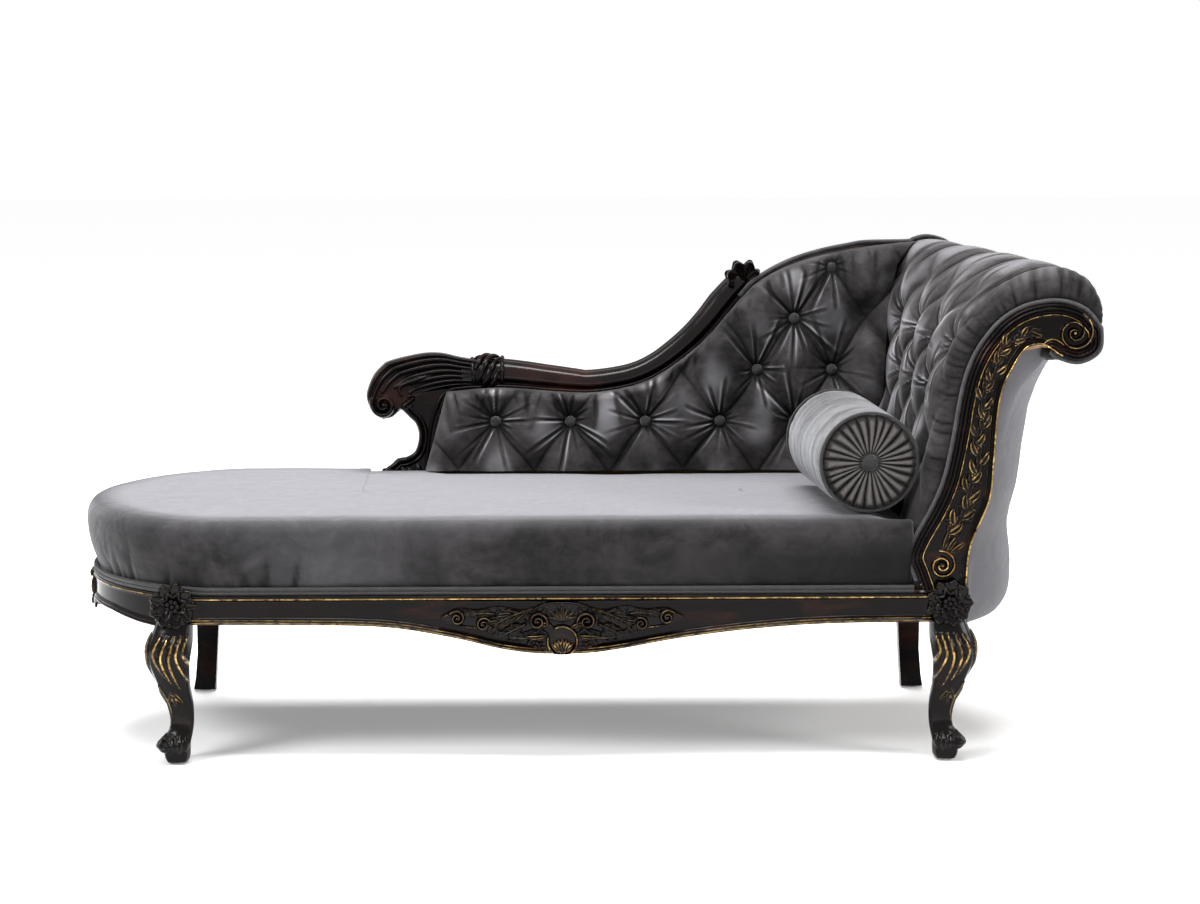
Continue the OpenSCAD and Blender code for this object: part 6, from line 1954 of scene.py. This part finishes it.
def make_collar():
    parts, strands = [], 7
    t = np.linspace(0, 1, 46)
    for s in range(strands):
        turn = 2 * math.pi * (s / strands + 0.42 * t) - 0.6
        k = mix(collar_from, collar_to, 0.08 + 0.84 * t)
        lift = 0.0026 + 0.0042 * np.sin(math.pi * t)
        up, n = crest_section(k, turn, 0)
        grown_up, grown_n = crest_section(k, turn, 1)
        out = np.stack([grown_up - up, grown_n - n], -1)
        up, n = up + out[:, 0] * lift, n + out[:, 1] * lift
        path = on_crest(k, up, n)
        parts.append(tube(path, 0.0062 * np.sin(math.pi * (0.12 + 0.76 * t)) ** 0.8, 14,
                          (0.1, 0.7, 0.4), 0.8))
    ring = round_angles(64)
    for k in (np.full(64, collar_from), np.full(64, collar_to)):
        parts.append(tube(on_crest(k, *crest_section(k, ring, 0.0022)), 0.0042, 12,
                          (math.cos(0.2), 0, math.sin(0.2)), 1.0, True))
    return make_mesh("collar_leaves", *joined(parts))


def petal_strip(root, way, out, length, width, thick):
    """A leaf in the room: root, the way it grows, and the side it shows."""
    way, out = np.asarray(way, float), np.asarray(out, float)
    way = way / np.linalg.norm(way)
    out = out - way * (out @ way)
    out /= np.linalg.norm(out)
    side = np.cross(way, out)
    t, s = grid(np.linspace(0, 1, 20), np.linspace(-1, 1, 11))
    half = width * np.sin(math.pi * np.clip(0.06 + 0.9 * t, 0, 1)) ** 0.7
    bulge = thick * (1 - 0.8 * s ** 2) * (0.5 + 0.9 * t) - thick * 0.4 * hump(s, 0, 0.2)
    curl = thick * 1.6 * t ** 2.4
    middle = (np.asarray(root) + way * (length * t)[..., None] + side * (half * s)[..., None])
    outer = middle + out * (bulge + curl)[..., None]
    inner = middle + out * (curl - thick * 0.3)[..., None]
    return closed_sheet(outer, inner)


def make_finial():
    top = crest_last + 0.15
    root = on_crest(top, 0.017, crest_n)
    ahead = on_crest(top + 0.5, 0.017, crest_n) - root
    up = on_crest(top, 0.06, crest_n) - root
    ahead, up = (v / np.linalg.norm(v) for v in (ahead, up))
    front = np.cross(ahead, up)
    front = front if front[1] < 0 else -front
    parts = []
    for lean, count, length, width in ((-0.9, 3, 0.040, 0.013), (-0.3, 3, 0.044, 0.014),
                                       (0.35, 3, 0.046, 0.0145), (1.0, 3, 0.044, 0.0135),
                                       (1.6, 3, 0.036, 0.0115)):
        way = math.cos(lean) * up + math.sin(lean) * ahead
        for side in np.linspace(-1, 1, count):
            parts.append(petal_strip(root - 0.008 * up + 0.013 * side * front,
                                     way + 0.30 * side * front, side * front + 0.6 * front + 0.3
                                     * way, length, width, 0.0050))
    for n, reach in ((0.016, 0.010), (0.0, 0.018)):
        at = root + n * front + up * reach + ahead * 0.006
        parts.append(tube([at - front * 0.006, at - front * 0.003, at, at + front * 0.003,
                           at + front * 0.006], [0.004, 0.0068, 0.0078, 0.0068, 0.004], 20,
                          (0, 0, 1)))
    parts.append(tube([on_crest(crest_last - 0.4, 0.018, crest_n), on_crest(crest_last + 0.1,
                 0.018, crest_n), on_crest(crest_last + 0.5, 0.018, crest_n)],
                 [0.019, 0.0175, 0.008], 28, (0, -1, 0)))
    return make_mesh("finial_leaves", *joined(parts))


add_piece("collar_leaves", make_collar(), glossy_carving,
          stands_for=("crest_leaf_collar",))
add_piece("finial_leaves", make_finial(), glossy_carving,
          stands_for=("crest_finial",))

# %% [markdown]
# The hand-hold of the back is a large scroll. Long flutes run from the collar to the left,
# spread over its swell and roll up in a volute. Under it a C-shaped bracket comes down to
# the seat and ends in a tuft of leaves. Both are nets between an upper and a lower edge,
# laid out in the leaning plane of the back.

# %% Scroll and bracket
scroll_n = -back_t / 2 - (0.056 - back_t) * 0.8
scroll_front_n = scroll_n + 0.056
scroll_top = [(0.118, 0.594), (0.077, 0.604), (0.035, 0.618), (-0.009, 0.616),
              (-0.073, 0.593), (-0.093, 0.574), (-0.112, 0.539), (-0.125, 0.485),
              (-0.123, 0.45), (-0.111, 0.415), (-0.089, 0.396)]
scroll_low = [(0.118, 0.502), (0.085, 0.502), (0.046, 0.4945), (0.001, 0.476),
              (-0.033, 0.443), (-0.053, 0.424), (-0.07, 0.402), (-0.089, 0.396)]
bracket_left = [(-0.020, 0.480), (-0.052, 0.440), (-0.036, 0.405), (-0.02, 0.38),
                (-0.013, 0.34), (-0.02, 0.293), (-0.038, 0.272), (-0.058, 0.266),
                (-0.07, 0.25), (-0.082, 0.235), (-0.093, 0.22), (-0.093, 0.12)]
bracket_right = [(0.070, 0.500), (0.045, 0.45), (0.030, 0.345), (0.022, 0.227),
                 (0.022, 0.12)]


def in_plan(shares, count):
    return even([back_place(p) for p in shares], count)


def scroll_strokes():
    """Flutes between the scroll's edges, each to its own stop, and two volutes."""
    top, low, cuts = in_plan(scroll_top, 120), in_plan(scroll_low, 120), []
    eye = back_place((-0.088, 0.442))
    for share, w, rise, stop in ((0.07, 4.4, 9, 0.93), (0.21, 4.6, 9.5, 0.84),
                                 (0.36, 4.8, 10, 0.74), (0.52, 4.6, 9.5, 0.66),
                                 (0.67, 4.2, 8.5, 0.56), (0.80, 3.6, 7.5, 0.62),
                                 (0.93, 3.2, 6.5, 0.80)):
        line = mix(top, low, share)[:int(stop * 119) + 1]
        cuts.append(stroke(line, [w * 0.00075, w * 0.001, w * 0.00125, w * 0.0011, w * 0.0007],
                           [rise * 0.0008, rise * 0.001, rise * 0.0011, rise * 0.001,
                            rise * 0.0006], 0.12, 0.0, 130))
    cuts += scroll_cut(eye, 0.0285, 1.6, 150, 1, 0.0150, 0.10)
    hook = back_place((-0.028, 0.463))
    cuts += scroll_cut(hook, 0.0130, 1.3, 200, 1, 0.0125, 0.15)
    cuts.append(stroke(spline([back_place(p) for p in ((0.020, 0.545), (-0.020, 0.525),
                (-0.052, 0.505), (-0.050, 0.475))], np.linspace(0, 3, 50)),
                [0.002, 0.006, 0.005, 0.003], [0.004, 0.012, 0.012, 0.006], 0.15))
    return cuts


def bracket_strokes():
    left = in_plan(bracket_left, 120)
    band = offset(left[4:84], 0.0055)
    right = in_plan(bracket_right, 120)
    cuts = [stroke(band, [0.0045, 0.0055, 0.0050], [0.010, 0.012, 0.010], 0.1, 0, 120),
            stroke(offset(right[6:], -0.004), [0.004] * 2, [0.007] * 2, 0.1, 0, 120),
            stroke(offset(left[8:84], 0.0150), [0.0030, 0.0042, 0.0030], [0.007, 0.009, 0.007],
                   0.1, 0, 120)]
    cuts += scroll_cut(back_place((-0.036, 0.300)), 0.0090, 1.2, 80, -1, 0.0110, 0.1)
    foot = back_place((-0.030, 0.180))
    for k, heading in enumerate((172, 155, 138, 118, 98, 76)):
        cuts.append(leaf(foot + (-0.006 + 0.004 * k, 0.006 * (k % 2)), heading, 0.050 - 0.003 * k,
                         34, 0.0062, 0.0115 - 0.0006 * k, 0.15))
    for k, heading in enumerate((178, 160, 140, 115)):
        cuts.append(leaf(foot + (-0.004, -0.016), heading, 0.046, 30, 0.0060, 0.0095, 0.15))
    return cuts


def make_slab_carving(name, top, low, rows, columns, cuts, front_n, back_n, pillow):
    plan, s = between([back_place(p) for p in top], [back_place(p) for p in low], rows, columns)
    x, w = plan[..., 0], plan[..., 1]
    height, gilt = carve(x, w, cuts)
    round_off = rounding(s, 0.16)
    n = front_n - pillow + pillow * round_off + height * np.clip(round_off * 1.6, 0, 1) * 0.8
    inner = on_slab(x, w, back_n + pillow - pillow * round_off)
    return carved_mesh(name, on_slab(x, w, n), inner, gilt)


add_piece("scroll_carving", make_slab_carving("scroll_carving", scroll_top, scroll_low, 330, 96,
          scroll_strokes(), scroll_front_n - 0.006, scroll_n, 0.014), glossy_carving,
          stands_for=("foot_scroll",))
add_piece("bracket_carving", make_slab_carving("bracket_carving", bracket_left, bracket_right,
          240, 80, bracket_strokes(), bracket_t / 2, -bracket_t / 2, 0.008), glossy_carving,
          stands_for=("scroll_bracket",))

# %% [markdown]
# The head's facing is the richest piece: a strip of wood that rises in an S and rolls up
# in a volute. Stepped mouldings follow its outer edge all the way round the volute, gilt
# lines mark both edges, a vine with leaves and berries climbs between them, and a small
# rosette in a spiral closes its foot. The whole front is one net with one set of strokes.

# %% Facing of the head
facing_t = 0.017
facing_face_y = facing_y0 + facing_t * 0.2
facing_shares = [(-0.206, 0.06), (-0.243, 0.113), (-0.206, 0.168), (-0.099, 0.262),
                 (-0.022, 0.353), (0.033, 0.476), (0.074, 0.599), (0.121, 0.689),
                 (0.202, 0.766), (0.327, 0.836), (0.485, 0.878), (0.676, 0.89),
                 (0.835, 0.866), (0.934, 0.812), (0.926, 0.75), (0.812, 0.719),
                 (0.684, 0.733), (0.632, 0.75), (0.551, 0.766), (0.46, 0.75),
                 (0.379, 0.689), (0.324, 0.628), (0.294, 0.538), (0.279, 0.414),
                 (0.254, 0.291), (0.14, 0.152), (0.115, 0.045), (0.115, 0.012)]
facing_knots = [(-0.170, 0.012)] + facing_shares
volute_eye = head_place((0.775, 0.802))
outer_knots = [head_place(p) for p in facing_knots[:15]]
inner_knots = [head_place(p) for p in facing_knots[:13:-1]]
outer_edge = spline(outer_knots, np.linspace(0, 14, 500))
inner_edge = spline(inner_knots, np.linspace(0, 14, 500))
facing_path = np.concatenate([outer_edge, inner_edge[::-1][1:]])


def toward(angle, reach):
    """A step in the plane of the carving; the angle is in degrees."""
    return reach * np.array([math.cos(math.radians(angle)), math.sin(math.radians(angle))])


def vine_line():
    """The middle of the sunk field, from the foot rosette up to the volute."""
    a, b = even(outer_edge, 200), even(inner_edge, 200)
    return mix(a, b, 0.56)[26:158]


def vine_strokes():
    line = vine_line()
    along = np.gradient(line, axis=0)
    heading = np.degrees(np.arctan2(along[:, 1], along[:, 0]))
    wave = np.linspace(0, 5.2 * 2 * math.pi, len(line))
    stem = line + np.stack([-along[:, 1], along[:, 0]], -1) / np.linalg.norm(
        along, axis=1, keepdims=True) * (0.0058 * np.sin(wave))[:, None]
    cuts = [stroke(stem, [0.0018, 0.0024, 0.0020], [0.0046] * 2, 0.25, 0, 200)]
    for k, i in enumerate(np.linspace(5, len(line) - 6, 25).astype(int)):
        side = 1 if k % 2 else -1
        at, way = stem[i], heading[i]
        size = 1.62 - 0.4 * i / len(line)
        cuts += [leaf(at, way + side * 52, 0.0190 * size, -side * 46, 0.0048 * size, 0.0062, 0.66),
                 leaf(at, way - side * 30, 0.0150 * size, side * 60, 0.0040 * size, 0.0054, 0.5),
                 leaf(at, way + side * 100, 0.0120 * size, -side * 40, 0.0036 * size, 0.0050, 0.3)]
        if k % 3 == 1:
            berry = at + toward(way + 90 * side, 0.006)
            for a in (0, 120, 240):
                spot = berry + toward(a, 0.0028)
                cuts.append(dot(spot, 0.0024, 0.0052, 1.0, 0.0002))
    return cuts


outer_profile = [(0, 2.0), (1.4, 4.6), (2.4, 4.9), (3.4, 4.4), (4.5, 1.8), (5.2, 1.6), (6.2, 5.2),
                 (8.2, 7.0), (10.2, 5.2), (11.4, 1.4), (12.2, 2.2), (13.3, 4.4), (14.2, 4.7),
                 (15.2, 3.8), (16.2, 0.9), (17.6, 0.9), (18.4, 3.4), (19.2, 4.0), (20.0, 3.4),
                 (20.9, 0), (100, 0)]
inner_profile = [(0, 2.0), (0.8, 3.8), (2.0, 4.7), (3.2, 3.6), (4.2, 0.9), (5.8, 0.7), (6.6, 2.8),
                 (7.3, 3.4), (8.0, 2.6), (8.8, 0.5), (9.8, 0.5), (10.6, 2.7), (11.2, 2.9),
                 (12, 0), (100, 0)]


def facing_mouldings(p, q):
    outside = beside(p, q, facing_path[0:640])
    inside = beside(p, q, inner_edge[4:395])
    height = np.maximum(moulding(outside, outer_profile), moulding(inside, inner_profile))
    gilt = 0.9 * hump(outside, 0.0192, 0.0009)
    for at, width, share in ((0.0020, 0.0014, 1.0), (0.0112, 0.0008, 0.5), (0.0073, 0.0008, 0.3)):
        gilt = np.maximum(gilt, share * hump(inside, at, width))
    return height, gilt


def facing_strokes():
    cuts = []
    turn = spiral(volute_eye, 0.0350, 0.0048, 2.0, 62, -1, 160)
    cuts.append(stroke(turn, [0.0046, 0.0036, 0.0026, 0.0022], [0.0080, 0.0090, 0.0100, 0.0105],
                       0.0, 0, 240))
    cuts.append(stroke(turn, [0.0017, 0.0015, 0.0013], [0.0090, 0.0102, 0.0116], 1.0, 0, 300))
    cuts.append(dot(volute_eye, 0.0050, 0.0120, 0.9))
    foot = head_place((-0.050, 0.088))
    turn = spiral(foot, 0.0265, 0.0060, 1.75, 100, -1, 120)
    cuts.append(stroke(turn, [0.0020, 0.0028, 0.0026], [0.0050, 0.0070, 0.0085], 0.95, 0, 260))
    for a in np.arange(0, 360, 60):
        cuts.append(leaf(foot, a, 0.0078, 0, 0.0026, 0.0085, 0.5))
    cuts.append(dot(foot, 0.0030, 0.0110, 1.0))
    for k, heading in enumerate((78, 62, 44)):
        cuts.append(leaf(foot + (0.002 + 0.006 * k, 0.026 - 0.003 * k), heading, 0.046 - 0.006 * k,
                         -14, 0.0056, 0.0050, 0.6))
    return cuts + vine_strokes()


def make_facing():
    plan, s = between(outer_edge, inner_edge, 520, 94)
    x, z = plan[..., 0], plan[..., 1]
    height, gilt = carve(x, z, facing_strokes())
    run_height, run_gilt = facing_mouldings(x, z)
    gilt = np.where(run_height > height, run_gilt, gilt)
    height = np.maximum(height, run_height)
    rim = rounding(s, 0.025)
    y = facing_face_y + 0.0032 * rim - height * np.clip(rim * 1.5, 0, 1)
    y = np.maximum(y, facing_y0 - 0.0065)
    inner = np.stack([x, np.full(y.shape, facing_y0 + facing_t), z], -1)
    return carved_mesh("facing_carving", np.stack([x, y, z], -1), inner, gilt)


add_piece("facing_carving", make_facing(), carved_wood,
          stands_for=("head_facing", "facing_beads"))

# %% [markdown]
# A single cord follows the outer edge of the facing, where the cover of the roll is tacked
# down. The outside of the head is a smooth panel of the same velvet, stretched over bowed
# ribs: it bows out in the middle of its depth and tucks under the rail. Its velvet is
# painted paler all over, a painted light.

# %% Cord of the facing and the outside panel
facing_cord_path = [(p[0], facing_y0 + facing_t - 0.004, p[1])
                    for p in offset(facing_path, 0.0044)[24:640]]
add_cords("facing_cord", [facing_cord_path], 0.0042, velvet_cord,
          stands_for=("facing_piping",), sides=14)
panel_front_shares = np.array([(-0.11, 0.112), (0, 0.112), (0.06, 0.116), (0.152, 0.136),
                               (0.291, 0.24), (0.414, 0.272), (0.538, 0.286), (0.628, 0.318),
                               (0.689, 0.372), (0.75, 0.47), (0.80, 0.56)])
panel_rib_shares = np.array([(-0.11, 0.112), (0, 0.112), (0.06, 0.116), (0.152, 0.136),
                             (0.291, 0.24), (0.414, 0.272), (0.538, 0.32), (0.628, 0.404),
                             (0.689, 0.515), (0.71, 0.566), (0.80, 0.60)])
bow_shares = np.array([(-0.11, 1), (0.05, 1), (0.2, 0.86), (0.45, 0.9), (0.65, 0.9), (0.71, 0.8)])
panel_bow = 0.118
panel_t = 0.005
panel_low = (rail_bottom - 0.010 - rail_top) / head_rise


def smoothed(table, q, reach=0.03):
    """A table read through a soft window, so that its corners turn into curves."""
    steps = np.linspace(-reach, reach, 9)
    return sum(np.interp(q + d, *table.T) for d in steps) / len(steps)


def panel_places(s, t, inside):
    q = mix(panel_low, mix(0.79, 0.76, s), t)
    z = rail_top + head_rise * q
    x0 = head_x + head_overhang * mix(smoothed(panel_front_shares, q),
                                      smoothed(panel_rib_shares, q, 0.015),
                                      np.clip(s / 0.018, 0, 1))
    rear_x = head_place(pad_rear_shares[16])[0]
    bow = panel_bow * smoothed(bow_shares, q) * (1 - np.abs(2 * s - 1) ** 2.6)
    tuck = np.where(q < 0, 0.16 * panel_bow * (np.minimum(q, 0) / panel_low) ** 3, 0)
    x = mix(x0, rear_x, s) + bow - inside * panel_t - tuck
    x = np.maximum(x, head_x + post_side / 2 + gap + (1 - inside) * panel_t)
    y = mix(board_y0 + gap, slab_y(np.maximum(z, rail_top), back_t / 2 + cover_t), s)
    return np.stack([x, y, z], -1)


def make_panel():
    s, t = grid(np.linspace(0, 1, 90), np.linspace(0, 1, 80))
    stretch = 0.0012 * soft_noise(np.stack([s, t, 0 * s], -1), 0.22, 61) * np.sin(math.pi * s)
    outer = panel_places(s, t, 0.0)
    outer[..., 0] -= 0.0004 + np.abs(stretch)
    # The panel is painted paler all over, a painted light, with a little random brushed tone.
    brushed_and_painted_light = 0.62 + 0.07 * soft_noise(outer, 0.30, 62)
    return make_mesh("outside_panel", *closed_sheet(outer, panel_places(s, t, 1.0)), "pile",
                     brushed_and_painted_light)


print("facing strokes:", len(facing_strokes()))
add_piece("outside_panel", make_panel(), velvet, stands_for=("head_outside",))

# %% [markdown]
# Two trims close the edges of the back. A wooden bead runs between the buttoned velvet and
# the crest rail, round the corner at the left. Beyond the finial there is no show wood:
# the velvet wraps over the top rail, so a flat roll of it covers the frame up to the head.

# %% Trims of the back
corner_knots = [(0.004, 0.235), (0.011, 0.345), (0.024, 0.425), (0.048, 0.486), (0.100, 0.5005)]


def trim_line(count=160):
    corner = [back_place(p) for p in corner_knots]
    rest = spline(contour, np.linspace(2, crest_last + 0.3, 24))
    return even(np.concatenate([corner, rest]), count)


bead_line = trim_line()
add_cords("back_bead", [on_slab(bead_line[:, 0], bead_line[:, 1], 0.0165)], 0.0042,
          ebonised_wood, sides=14)
border_half, border_up, border_n = 0.0235, 0.0060, 0.0060


def make_border():
    """A flat roll of cloth over the back's top edge and the rear end of the head's roll."""
    roll = [head_place(p) for p in pad_rear_shares[9:]]
    roll = [(x, slab_w(z)) for x, z in roll]
    knots = np.concatenate([spline(contour, np.linspace(crest_last - 1.5, 29, 12)), roll[:1],
                            spline(roll, np.linspace(0.4, 7, 16))])
    line = even(knots, 220)
    turn = round_angles(36)
    up_way = offset(line, 1.0) - line
    up = border_up * np.sin(turn) - 0.001
    n = border_n + border_half * np.sign(np.cos(turn)) * np.abs(np.cos(turn)) ** 0.7
    x = line[:, None, 0] + up * up_way[:, None, 0]
    w = line[:, None, 1] + up * up_way[:, None, 1]
    points = on_slab(x, w, np.broadcast_to(n, x.shape))
    return ended_tube("back_top_border", points)


add_piece("back_top_border", make_border(), velvet)
